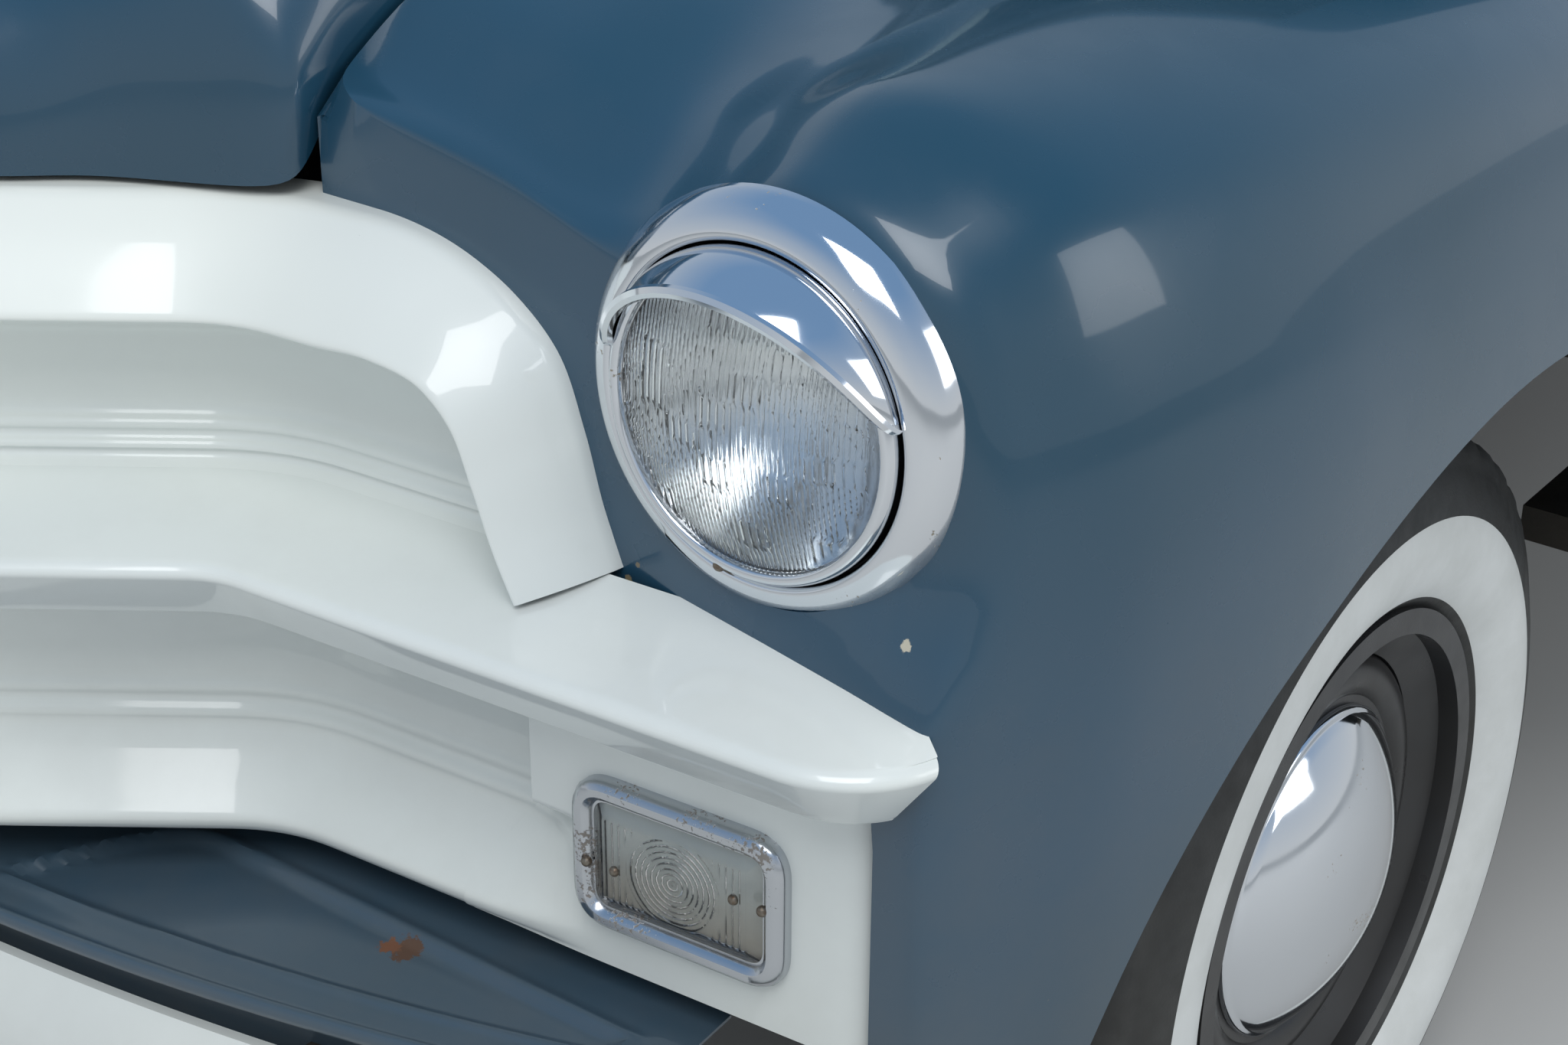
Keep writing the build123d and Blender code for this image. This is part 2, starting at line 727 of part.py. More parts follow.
def leaf_spring(y, low, tip):
    """A bowed pack of leaves with eyes and hangers, under the left rail."""
    x0 = RAIL_OUT - RAIL_WIDTH / 2 - SPRING_WIDTH / 2
    x1 = x0 + SPRING_WIDTH
    h, leaf, reach = SPRING_HALF, 8, 0.6
    top = low + SPRING_THICK
    step = top - leaf + (tip - top) * reach**2
    pack = side_plate(
        [
            (y - h, tip),
            ((y, top), (y + h, tip)),
            (y + h, tip - leaf),
            (y + reach * h, step),
            (y + reach * h, step - 6),
            ((y, low), (y - reach * h, step - 6)),
            (y - reach * h, step),
            (y - h, tip - leaf),
        ],
        x0,
        x1,
    )
    for side in (-1, 1):
        eye = y + side * h
        pack += rod((x0, eye, tip - leaf), (x1, eye, tip - leaf), EYE_R)
        pack += side_plate(
            [
                (eye - EYE_R, tip - leaf),
                (eye + EYE_R, tip - leaf),
                (eye + 34, RAIL_TOP - RAIL_HEIGHT),
                (eye - 34, RAIL_TOP - RAIL_HEIGHT),
            ],
            x0 - 4,
            x1 + 4,
        )
    return pack


def build_rear_axle():
    """The rear axle with its round differential case, torque tube, backing plates and spindles."""
    plate = TRACK_REAR / 2 + DRUM_BACK - GAP
    axle = rod((-plate, Y_REAR, AXLE_Z), (plate, Y_REAR, AXLE_Z), AXLE_TUBE_R)
    case = spun([(0, -140), (60, -140), ((118, -96), (138, 0)), ((118, 96), (60, 140)), (0, 140)])
    axle += facing_x(case, 0, Y_REAR, AXLE_Z)
    axle += rod((0, Y_FRONT + SHAFT_START, SHAFT_Z), (0, Y_REAR, AXLE_Z), SHAFT_R)
    for side in (-1, 1):
        axle += rod((side * (plate - PLATE), Y_REAR, AXLE_Z), (side * plate, Y_REAR, AXLE_Z), DRUM_R)
        axle += rod((side * plate, Y_REAR, AXLE_Z), (side * (TRACK_REAR / 2 + SPINDLE_END), Y_REAR, AXLE_Z), SPINDLE_R)
    add("rear_axle", axle)


def build_wheel(name, x, y, side):
    """One wheel: rim, disc, hub and drum turned as one piece, with its tyre and hub cap."""
    half, t, disc = RIM_WIDTH / 2, RIM_WALL, DISC_X
    bead, well = BEAD_R - t, WELL_R - t
    steel = spun(
        [
            (RIM_R, half),
            (RIM_R, half - t),
            (BEAD_R, half - t),
            (BEAD_R, disc + 26),
            (WELL_R, disc + 10),
            (WELL_R, -12),
            (BEAD_R, -28),
            (BEAD_R, t - half),
            (RIM_R, t - half),
            (RIM_R, -half),
            (bead, -half),
            (bead, -32),
            (well, -16),
            (well, disc),
            (DRUM_R, disc),
            (DRUM_R, DRUM_BACK),
            (DRUM_R - 8, DRUM_BACK),
            (DRUM_R - 8, disc - 8),
            (HUB_R, disc - 8),
            (HUB_R, DRUM_BACK),
            (SPINDLE_R + SHAFT_FIT, DRUM_BACK),
            (SPINDLE_R + SHAFT_FIT, disc + 6),
            (CAP_R - 32, disc + 6),
            (CAP_R - 24, disc + 14),
            (CAP_R + 6, disc + 14),
            ((CAP_R + 21, disc + 22), (well, disc + 8)),
            (well, disc + 14),
            (bead, disc + 30),
            (bead, half),
        ]
    )
    w = TYRE_WIDTH / 2
    tyre = spun(
        [
            (BEAD_R, half - t),
            (RIM_R, half - t),
            ((TYRE_R - 80, w), (TYRE_R - 26, w - 17)),
            ((TYRE_R - 10, w - 26), (TYRE_R - 6, w - 38)),
            ((TYRE_R, 0), (TYRE_R - 6, 38 - w)),
            ((TYRE_R - 10, 26 - w), (TYRE_R - 26, 17 - w)),
            ((TYRE_R - 80, -w), (RIM_R, t - half)),
            (BEAD_R, t - half),
        ]
    )
    seat, s = disc + 14, CAP_SHEET
    rim = CAP_R - 18
    cap = spun(
        [
            (0, seat),
            (CAP_R, seat),
            (CAP_R, seat + s),
            (CAP_R - 8, seat + s),
            (rim, seat + 10),
            dome(rim, seat + 10, seat + CAP_BULGE),
        ]
    )
    cap -= spun([(0, seat), (rim - s, seat), (rim - s, seat + 10), dome(rim - s, seat + 10, seat + CAP_BULGE - s)])
    for label, solid in (("wheel", steel), ("tyre", tyre), ("hub_cap", cap)):
        left = facing_x(solid, 0, 0, 0)
        add(label + "_" + name, Pos(x, y, AXLE_Z) * (left if side > 0 else mirrored(left)))


def build_knuckle(name, side):
    """A steering knuckle: lugs above and below the beam's eye, kingpin, backing plate, spindle and arm."""
    x, plate = KINGPIN_X, TRACK_FRONT / 2 + DRUM_BACK - GAP
    cheek = x + 26 + GAP
    knuckle = rod((cheek, Y_FRONT, AXLE_Z), (plate, Y_FRONT, AXLE_Z), 52)
    knuckle += rod((plate - PLATE, Y_FRONT, AXLE_Z), (plate, Y_FRONT, AXLE_Z), DRUM_R)
    knuckle += rod((plate, Y_FRONT, AXLE_Z), (TRACK_FRONT / 2 + SPINDLE_END, Y_FRONT, AXLE_Z), SPINDLE_R)
    for z0, z1 in ((AXLE_Z - 68, AXLE_Z - 34 - SEAT), (AXLE_Z + 34 + SEAT, AXLE_Z + 68)):
        knuckle += rod((x, Y_FRONT, z0), (x, Y_FRONT, z1), 26)
        knuckle += block(x, plate - PLATE, Y_FRONT - 24, Y_FRONT + 24, z0, z1)
    knuckle += rod((x, Y_FRONT, AXLE_Z - 68), (x, Y_FRONT, AXLE_Z + 68), KINGPIN_R)
    arm = plan_plate(
        [
            (x + 18, Y_FRONT),
            (x - ARM_INSET + 16, Y_FRONT + STEER_ARM),
            ((x - ARM_INSET, Y_FRONT + STEER_ARM + 16), (x - ARM_INSET - 16, Y_FRONT + STEER_ARM)),
            (x - 18, Y_FRONT),
        ],
        AXLE_Z - 68,
        AXLE_Z - 54,
    )
    knuckle += arm
    add("knuckle_" + name, knuckle if side > 0 else mirrored(knuckle))


def build_tie_rod():
    """The rod under the two steering arms."""
    x, y, z = KINGPIN_X - ARM_INSET, Y_FRONT + STEER_ARM, AXLE_Z - 68 - SEAT
    bar = rod((-x, y, z - 12), (x, y, z - 12), 9)
    for side in (-1, 1):
        bar += rod((side * x, y, z - 24), (side * x, y, z), 15)
    add("tie_rod", bar)


def build_engine():
    """The engine and gearbox as one plain block, carried on the second crossmember and the rails."""
    y0, y1 = Y_FRONT + ENGINE_FRONT, Y_FRONT + ENGINE_BACK
    low, top, half = ENGINE_LOW, ENGINE_TOP, ENGINE_HALF
    engine = front_plate(
        [
            (-half + 40, low),
            (half - 40, low),
            (half, RAIL_TOP + 20),
            (half, top - 130),
            (half - 70, top - 120),
            (half - 70, top),
            (-half + 70, top),
            (-half + 70, top - 120),
            (-half, top - 130),
            (-half, RAIL_TOP + 20),
        ],
        y0,
        y1,
    )
    cross = Y_FRONT + CROSS_PLACES[1] + CROSS_WIDTH
    engine += block(-70, 70, cross - 14, y0, RAIL_TOP - RAIL_WALL, RAIL_TOP + 30)
    reach = RAIL_OUT - RAIL_WIDTH + 20
    engine += block(-reach, reach, y1 - 170, y1 - 120, RAIL_TOP, RAIL_TOP + 30)
    engine += block(-110, 110, y1, Y_FRONT + SHAFT_START - 4, ENGINE_LOW - 20, CAB_TABLE[0][0] - 25)
    add("engine", engine)


def build_radiator():
    """A radiator with header tanks, on the second crossmember."""
    y0 = Y_FRONT - RADIATOR_FRONT
    y1 = y0 + RADIATOR_THICK
    low = RAIL_TOP - RAIL_WALL
    core = block(-RADIATOR_HALF, RADIATOR_HALF, y0, y1, low, RADIATOR_TOP - 70)
    core += block(-RADIATOR_HALF, RADIATOR_HALF, y0, y1 + 24, RADIATOR_TOP - 70, RADIATOR_TOP)
    core += rod((0, y0 + 40, RADIATOR_TOP), (0, y0 + 40, RADIATOR_TOP + 26), 32)
    add("radiator", core)


def build_exhaust():
    """One pipe from the engine's side to the tail, with its silencer."""
    start = Y_FRONT + 120
    route = FilletPolyline(
        (-ENGINE_HALF, start, 760),
        (PIPE_X, start, 760),
        (PIPE_X, start + 190, PIPE_Z),
        (PIPE_X, Y_REAR + 1010, PIPE_Z),
        radius=[70, 90],
    )
    section = Plane(origin=route @ 0, z_dir=route % 0) * Circle(PIPE_R)
    pipe = sweep(section, path=route)
    y = Y_FRONT + 1250
    pipe += rod((PIPE_X, y, PIPE_Z - 30), (PIPE_X, y + 470, PIPE_Z - 30), MUFFLER_R)
    pipe -= rod((PIPE_X, Y_REAR + 930, PIPE_Z), (PIPE_X, Y_REAR + 1011, PIPE_Z), PIPE_R - 3)
    add("exhaust", pipe)


def build_front_sheet():
    """Inner fender walls from the rails to the fender seams, and the radiator support between them."""
    rows = [row for row in FENDER_TABLE if -560 <= row[0] <= 557]
    t = INNER_SHEET
    foot = RAIL_OUT - 30
    faces = []
    for row in rows:
        top_x, top_z = row[1] - SEAT, row[2] - 2
        points = [(foot - t, RAIL_TOP), (foot, RAIL_TOP), (top_x, top_z), (top_x - t, top_z)]
        faces.append(outline(points, lambda x, z, y=Y_FRONT + row[0]: (x, y, z)))
    wall = loft(faces, ruled=True)
    add("inner_fenders", pair(wall))
    y1 = Y_FRONT - RADIATOR_FRONT
    foot -= t
    support = block(-foot, foot, y1 - SHEET, y1, RAIL_TOP, RADIATOR_TOP + 20)
    support -= front_plate(
        rounded(20 - RADIATOR_HALF, RADIATOR_HALF - 20, 650, RADIATOR_TOP - 90, 20), y1 - 2 * SHEET, y1 + SHEET
    )
    for side in pair(wall):
        support -= side
    add("radiator_support", support)


def build_hood():
    """The one-piece hood shell with its two hinge knuckles."""
    hood = hood_solid() - hood_solid(SKIN)
    y, z = Y_FRONT + HOOD_PIN[0], HOOD_PIN[1]
    for side in (-1, 1):
        x = side * HOOD_HINGE_X
        strap = side_plate(
            [(y - 34, z - 24), (y - 6, z - 12), (y, z - 6), (y, z + 6), (y - 34, z - 14)], x - 9, x + 9
        )
        hood += strap - hood_solid(SKIN)
        hood += rod((x - 9, y, z), (x + 9, y, z), HINGE_R)
        hood -= rod((x - 20, y, z), (x + 20, y, z), HINGE_PIN_R + SHAFT_FIT)
    add("hood", hood)


def lug_pair(y, z, axis_x):
    """Lugs and pin of one door hinge, on the left side of the cab."""
    reach = DOOR_PIN_X - 30
    lugs = rod((axis_x, y, z - 46), (axis_x, y, z + 46), HINGE_PIN_R)
    for z0 in (z - 46, z + 30 + SEAT):
        lugs += rod((axis_x, y, z0), (axis_x, y, z0 + 16 - SEAT), HINGE_R)
        lugs += block(reach, axis_x, y - HINGE_R, y - 2, z0, z0 + 16 - SEAT)
    return lugs


def build_cab():
    """The cab shell with its openings, hinge lugs and hood pins, and its fixed glass."""
    outer = cab_solid()
    room = cab_solid(CAB_WALL, FLOOR_WALL, ROOF_WALL)
    shell = outer - room
    for hole in pair(side_plate(door_outline(GAP), DOOR_IN, BEYOND)):
        shell -= hole
    screen = front_plate(WINDSCREEN, Y_FRONT + 500, Y_FRONT + 1060)
    back = front_plate(REAR_WINDOW, Y_FRONT + BED_FRONT - 235, Y_FRONT + BED_FRONT)
    shell -= screen
    shell -= back
    glass = cab_skin(GLASS_DEPTH, GLASS)
    add("cab_glass", [glass & screen, glass & back])
    y = Y_FRONT + DOOR_FRONT - 2
    for z in DOOR_HINGES:
        for side in (-1, 1):
            shell -= rod((side * DOOR_PIN_X, y, z - 36), (side * DOOR_PIN_X, y, z + 36), HINGE_R + 3)
        lugs = lug_pair(Y_FRONT + DOOR_FRONT - 2, z, DOOR_PIN_X)
        for side in pair(lugs):
            shell += side
    y, z = Y_FRONT + HOOD_PIN[0], HOOD_PIN[1]
    for side in (-1, 1):
        x = side * HOOD_HINGE_X
        shell += rod((x - 20, y, z), (x + 20, y, z), HINGE_PIN_R)
        for x0 in (x - 20, x + 9 + SEAT):
            lug = side_plate([(y - 4, z + 8), (y + 60, z + 2), (y + 60, z - 30), (y + 8, z - 12)], x0, x0 + 10)
            lug += rod((x0, y, z), (x0 + 10, y, z), HINGE_R)
            shell += lug
    column = rod(STEER_START, STEER_END, COLUMN_R)
    add("cab_shell", shell - column)


def build_door(name, side):
    """One door: a slice of the cab wall with its window, hinge knuckles, handle and glass."""
    wall = cab_solid() - cab_solid(CAB_WALL, 0, ROOF_WALL)
    door = wall & side_plate(door_outline(0), DOOR_IN, BEYOND)
    window = side_plate(window_outline(), DOOR_IN, BEYOND)
    door -= window
    y = Y_FRONT + DOOR_FRONT - 2
    for z in DOOR_HINGES:
        door -= rod((DOOR_PIN_X, y, z - 52), (DOOR_PIN_X, y, z + 52), HINGE_R + 3)
        knuckle = rod((DOOR_PIN_X, y, z - 30), (DOOR_PIN_X, y, z + 30), HINGE_R)
        knuckle += block(DOOR_PIN_X - 24, DOOR_PIN_X, y + 3, y + HINGE_R + 8, z - 30, z + 30)
        door += knuckle
        door -= rod((DOOR_PIN_X, y, z - 60), (DOOR_PIN_X, y, z + 60), HINGE_PIN_R + SHAFT_FIT)
    y, z = Y_FRONT + DOOR_BACK - 70, HANDLE_Z
    handle = rod((CAB_TABLE[2][5] - 10, y, z), (CAB_TABLE[2][5] + 44, y, z), 11)
    handle += side_plate(rounded(y - 118, y + 12, z - 11, z + 11, 10), CAB_TABLE[2][5] + 34, CAB_TABLE[2][5] + 50)
    door += handle
    glass = cab_skin(GLASS_DEPTH, GLASS) & window
    add("door_" + name, door if side > 0 else mirrored(door))
    add("door_glass_" + name, glass if side > 0 else mirrored(glass))


def build_interior():
    """The bench seat on its riser, the dashboard, the steering column and its wheel."""
    base_z = CAB_TABLE[0][0] + FLOOR_WALL
    y0, y1 = Y_FRONT + 1265, Y_FRONT + 1775
    riser = side_plate([(y0 + 50, base_z), (y1 - 20, base_z), (y1 - 20, base_z + 170), (y0 + 50, base_z + 190)], -620, 620)
    base = side_plate(
        [
            (y0 + 40, base_z + 190),
            (y1 - 30, base_z + 168),
            (y1 - 30, base_z + 300),
            (y0 + 60, base_z + 340),
            ((y0 + 8, base_z + 322), (y0, base_z + 270)),
            (y0, base_z + 220),
        ],
        -650,
        650,
    )
    back = side_plate(
        [
            (y1 - 120, base_z + 290),
            (y1 - 10, base_z + 270),
            (y1 + 46, base_z + 700),
            ((y1 + 16, base_z + 742), (y1 - 30, base_z + 716)),
        ],
        -650,
        650,
    )
    add("seat_cushions", [base, back - base])
    add("seat_riser", riser - base)
    inside = cab_solid(CAB_WALL, FLOOR_WALL, ROOF_WALL)
    y = Y_FRONT + 620
    dash = side_plate(
        [
            (y - 60, SILL_Z - 60),
            (y + 150, SILL_Z - 22),
            ((y + 206, SILL_Z - 40), (y + 214, SILL_Z - 80)),
            (y + 190, SILL_Z - 250),
            (y + 150, SILL_Z - 256),
            (y + 150, SILL_Z - 90),
            (y - 60, SILL_Z - 110),
        ],
        -790,
        790,
    )
    column = rod(STEER_START, STEER_END, COLUMN_R)
    dash = (dash & inside) - column
    doors = side_plate(door_outline(GAP), DASH_HALF, BEYOND)
    for side in pair(doors):
        dash -= side
    add("dashboard", dash)
    box = block(COLUMN_X - 34, RAIL_OUT - RAIL_WIDTH, STEER_START[1] - 60, STEER_START[1] + 60, 500, 604)
    add("steering_column", rod(STEER_START, STEER_END, COLUMN_R) + box)
    frame = Plane(origin=STEER_AXIS.position, z_dir=STEER_AXIS.direction)
    rim = revolve(frame * Pos(STEER_WHEEL_R, 0, 30) * Rot(90, 0, 0) * Circle(STEER_RIM_R), STEER_AXIS, 360)
    hub = extrude(frame.offset(SEAT) * Circle(34), 34)
    for turn in (90, 210, 330):
        a = math.radians(turn)
        tip = frame.from_local_coords(Vector(STEER_WHEEL_R * math.cos(a), STEER_WHEEL_R * math.sin(a), 30))
        hub += rod(tuple(frame.from_local_coords(Vector(0, 0, 16))), tuple(tip), 7)
    add("steering_wheel", rim + hub)


def build_front_fenders():
    """Front fender shells with the wheel arch, the lamp seat and the space for the grille cut out."""
    skin = fender_solid() - fender_solid(SKIN)
    arch = rod((PANEL_X, Y_FRONT - ARCH_CUT_BACK, AXLE_Z), (2000, Y_FRONT - ARCH_CUT_BACK, AXLE_Z), ARCH_CUT_R)
    skin -= arch
    side = PANEL_END - PANEL_LAP
    mouth = [(0, 0), (side, 0), (side, BAR_BACK_TOP)]
    mouth += [(x, z) for _, _, x, z in reversed(ARCH_TABLE)] + [(ARCH_JOIN, ARCH_TOP), (0, ARCH_TOP)]
    skin -= front_plate(mouth, -LENGTH, Y_FRONT + FENDER_TABLE[1][0] + 4 * SKIN)
    skin -= rod((LAMP_X, -LENGTH, LAMP_Z), (LAMP_X, LAMP_Y, LAMP_Z), BEZEL_R + 1)
    skin -= rod((LAMP_X, -LENGTH, LAMP_Z), (LAMP_X, LAMP_Y + 70, LAMP_Z), BEZEL_R - 10)
    skin -= cab_solid()
    skin -= PARTS["grille_arch"][0]
    skin -= PARTS["grille_bars"][0]
    add("front_fenders", pair(skin))


def build_arch():
    """The arch over the grille: a bevelled band along the nose, lofted down into its two legs."""
    top = along_nose(ARCH_SECTION, 0, ARCH_JOIN)
    rows = [(ARCH_JOIN, ARCH_LOW, ARCH_JOIN, ARCH_TOP)] + ARCH_TABLE
    faces = []
    for in_x, in_z, out_x, out_z in rows:
        y_in, y_out = face_y(in_x, ARCH_IN), face_y(out_x, ARCH_OUT)
        corners = [
            (in_x, y_in, in_z),
            (out_x, y_out, out_z),
            (out_x, y_out + ARCH_THICK, out_z),
            (in_x, y_in + ARCH_THICK, in_z),
        ]
        faces.append(make_face([Line(a, b) for a, b in zip(corners, corners[1:] + corners[:1])]))
    return whole(top + loft(faces, ruled=True))


def behind_tip():
    """The space behind the slanted end of the middle bar, where it meets the fender."""
    (x0, y0), (x1, y1) = TIP_BACK, TIP
    ends = [(x0, y0), (2 * x1 - x0, 2 * y1 - y0), (2 * x1 - x0, y0 + 200), (x0, y0 + 200)]
    return plan_plate([(x, Y_FRONT + y) for x, y in ends], LOWER_BAR_BOTTOM, ARCH_TOP)


def build_foot():
    """The flared foot of a lamp panel, lofted from the end of the lower bar."""
    faces = []
    for end, section in ((LOWER_BAR_END, LOWER_BAR_SECTION), (FOOT_END, FOOT_SECTION)):
        faces.append(outline(section, lambda forward, z: (end, face_y(end, forward), z)))
    return loft(faces, ruled=True)


def build_grille():
    """The arch, the bull-nosed bars, the recessed baffles and the lamp panels, all along one nose line."""
    end_x, end_y = face_end()
    face = math.radians(FACE_SWEEP)
    centre = (end_x - CORNER_R * math.sin(face), end_y + CORNER_R * math.cos(face))
    tip = outline(
        [
            (0, BAR_BOTTOM),
            (CORNER_R, BAR_BOTTOM),
            (CORNER_R + BAR_LIP, BAR_CREASE),
            (0, BAR_BACK_TOP - (BAR_BACK_TOP - BAR_CREASE) * (BAR_DEPTH - CORNER_R) / (BAR_DEPTH + BAR_LIP)),
        ],
        lambda r, z: (r, 0, z),
    )
    tip = revolve(tip, Axis.Z, CORNER_END - FACE_SWEEP)
    middle = along_nose(BAR_SECTION, 0, end_x) + Pos(*centre, 0) * Rot(0, 0, FACE_SWEEP - 90) * tip
    middle = whole(middle - behind_tip())
    lower = whole(along_nose(LOWER_BAR_SECTION, 0, LOWER_BAR_END) + build_foot())
    post = whole(
        along_nose(
            [
                (-LOWER_BAR_BACK - 10, LOWER_BAR_TOP - 10),
                (-LOWER_BAR_BACK + 12, LOWER_BAR_TOP - 10),
                (2, BAR_BOTTOM),
                (-BAR_DEPTH, BAR_BOTTOM),
            ],
            0,
            CENTRE_BAR_HALF,
        )
    )
    bars = middle + post + lower
    arch = build_arch() - bars
    add("grille_arch", arch)
    add("grille_bars", bars)
    upper = whole(along_nose(UPPER_BAFFLE_SECTION, 0, PANEL_X)) - arch - bars
    low = whole(along_nose(LOWER_BAFFLE_SECTION, 0, PANEL_X)) - bars
    panel = along_nose(PANEL_SECTION, PANEL_X, PANEL_END) - bars
    add("grille_baffles", upper, low, pair(panel))


def build_headlamps():
    """Sealed-beam lamps: bucket, bezel with its retaining ring, lens and visor."""
    bucket = spun(
        [
            (GLASS_R + 8, 0),
            (BEZEL_R - 11, 0),
            (BEZEL_R - 11, -4),
            (GLASS_R + 8, -4),
            ((GLASS_R - 6, -BUCKET_DEPTH * 0.6), (34, -BUCKET_DEPTH)),
            (0, -BUCKET_DEPTH),
            (0, 3 - BUCKET_DEPTH),
            (32, 3 - BUCKET_DEPTH),
            ((GLASS_R - 9, -BUCKET_DEPTH * 0.6), (GLASS_R - 1, -4)),
            (GLASS_R - 1, 0),
        ]
    )
    rise = BEZEL_RISE
    bezel = spun(
        [
            (BEZEL_R, 0),
            ((BEZEL_R - 8, 0.68 * rise), (BEZEL_INNER_R + 1, rise)),
            (BEZEL_INNER_R - 1, rise - 2),
            (BEZEL_INNER_R - 1, 0),
        ]
    )
    ring = spun(
        [(GLASS_R - 3, rise + 6), (GLASS_R + 3, rise + 2), (GLASS_R + 3, 0), (GLASS_R, 0), (GLASS_R, rise - 2),
         (GLASS_R - 6, rise + 2)]
    )
    g = GLASS_R - 6
    lens = spun(
        [(0, rise - 8), (GLASS_R, rise - 8), (GLASS_R, rise - 2), (g, rise + 2), dome(g, rise + 2, rise + GLASS_BULGE)]
    )
    lens -= spun([(0, rise - 8), (g, rise - 8), dome(g, rise - 8, rise + GLASS_BULGE - 6)])
    half_turn = VISOR_TURN / 2
    hood_face = outline(
        [
            (BEZEL_INNER_R + 1, rise - 1),
            (BEZEL_INNER_R + 4, rise - 1),
            ((BEZEL_INNER_R + 3, rise + 0.6 * VISOR_REACH), (BEZEL_INNER_R - 4, rise + VISOR_REACH)),
            (BEZEL_INNER_R - 6, rise + VISOR_REACH - 2),
        ],
        lambda r, a: (r, 0, a),
    )
    visor = Rot(0, 0, 90 - half_turn) * revolve(hood_face, Axis.Z, VISOR_TURN)
    visor -= bezel
    for label, solids in (
        ("headlamp_buckets", [bucket]),
        ("headlamp_bezels", [bezel, ring]),
        ("headlamp_lenses", [lens]),
        ("headlamp_visors", [visor]),
    ):
        placed = [facing_front(solid, LAMP_X, LAMP_Y, LAMP_Z) for solid in solids]
        add(label, placed, [mirrored(solid) for solid in placed])


def build_parking_lamps():
    """Rectangular parking lamps on the lamp panels."""
    x0, x1 = PARK_X - PARK_WIDTH / 2, PARK_X + PARK_WIDTH / 2
    z0, z1 = PARK_Z - PARK_HEIGHT / 2, PARK_Z + PARK_HEIGHT / 2
    edge = PARK_EDGE
    outer = front_plate(rounded(x0, x1, z0, z1, 24), -LENGTH, 0)
    inner = front_plate(rounded(x0 + edge, x1 - edge, z0 + edge, z1 - edge, 12), -LENGTH, 0)
    rim = along_nose([(PANEL_OUT, z0), (PANEL_OUT, z1), (PANEL_OUT + 12, z1), (PANEL_OUT + 12, z0)], x0 - 5, x1 + 5)
    glass = along_nose([(PANEL_OUT, z0), (PANEL_OUT, z1), (PANEL_OUT + 17, z1), (PANEL_OUT + 17, z0)], x0 - 5, x1 + 5)
    add("parking_lamp_bezels", pair((rim & outer) - inner))
    add("parking_lamp_lenses", pair(glass & inner))


def bumper_bar(section, face_y, radius, half, toward):
    """A section of offset and height, carried along a bumper's curve in plan."""
    drop = half**2 / (2 * radius)
    path = ThreePointArc((0, face_y, 0), (half / 2, face_y - toward * drop / 4, 0), (half, face_y - toward * drop, 0))
    face = outline(section, lambda out, z: (0, face_y + toward * out, z))
    bar = sweep(face, path=Wire([path]))
    return whole(bar)


def build_bumpers():
    """Curved channel bumpers, their brackets from the frame, and the splash apron behind the front one."""
    low, top, t, bulge = BUMPER_TOP - BUMPER_HEIGHT, BUMPER_TOP, BUMPER_THICK, BUMPER_BULGE
    middle = (low + top) / 2
    section = [
        (0, low),
        ((bulge, middle), (0, top)),
        (-t, top - 1),
        ((bulge - t, middle), (-t, low + 1)),
    ]
    beyond = [(-t, top - 1), ((bulge - t, middle), (-t, low + 1)), (bulge + 120, low - 60), (bulge + 120, top + 60)]
    front_y = Y_FRONT - BUMPER_FACE + bulge
    rear_y = LENGTH / 2 - bulge
    front = bumper_bar(section, front_y, BUMPER_R, BUMPER_HALF, -1)
    rear = bumper_bar(section, rear_y, REAR_BUMPER_R, REAR_BUMPER_HALF, 1)
    add("front_bumper", front)
    add("rear_bumper", rear)
    x0, x1 = RAIL_OUT, RAIL_OUT + 14
    z0 = RAIL_TOP - RAIL_HEIGHT + RAIL_WALL
    arm = block(x0, x1, front_y - 60, Y_FRONT - RAIL_FRONT + 120, z0, z0 + 28)
    arm -= bumper_bar(beyond, front_y, BUMPER_R, BUMPER_HALF, -1)
    tail = block(x0, x1, Y_REAR + RAIL_BACK - 120, rear_y + 60, z0, z0 + 28)
    tail -= bumper_bar(beyond, rear_y, REAR_BUMPER_R, REAR_BUMPER_HALF, 1)
    add("bumper_brackets", pair(arm), pair(tail))
    y_mid, half = Y_FRONT - SHIELD_FRONT, APRON_HALF
    y_end = y_mid + half**2 / (2 * SHIELD_R)
    back = Y_FRONT - RAIL_FRONT
    plan = plan_plate([(half, back), (-half, back), (-half, y_end), ((0, y_mid), (half, y_end))], 0, BEYOND)
    slope = side_plate(
        [(back, APRON_Z), (y_mid, APRON_FRONT_Z), (y_mid, APRON_FRONT_Z + SHEET), (back, APRON_Z + SHEET)], -half, half
    )
    add("front_apron", slope & plan)


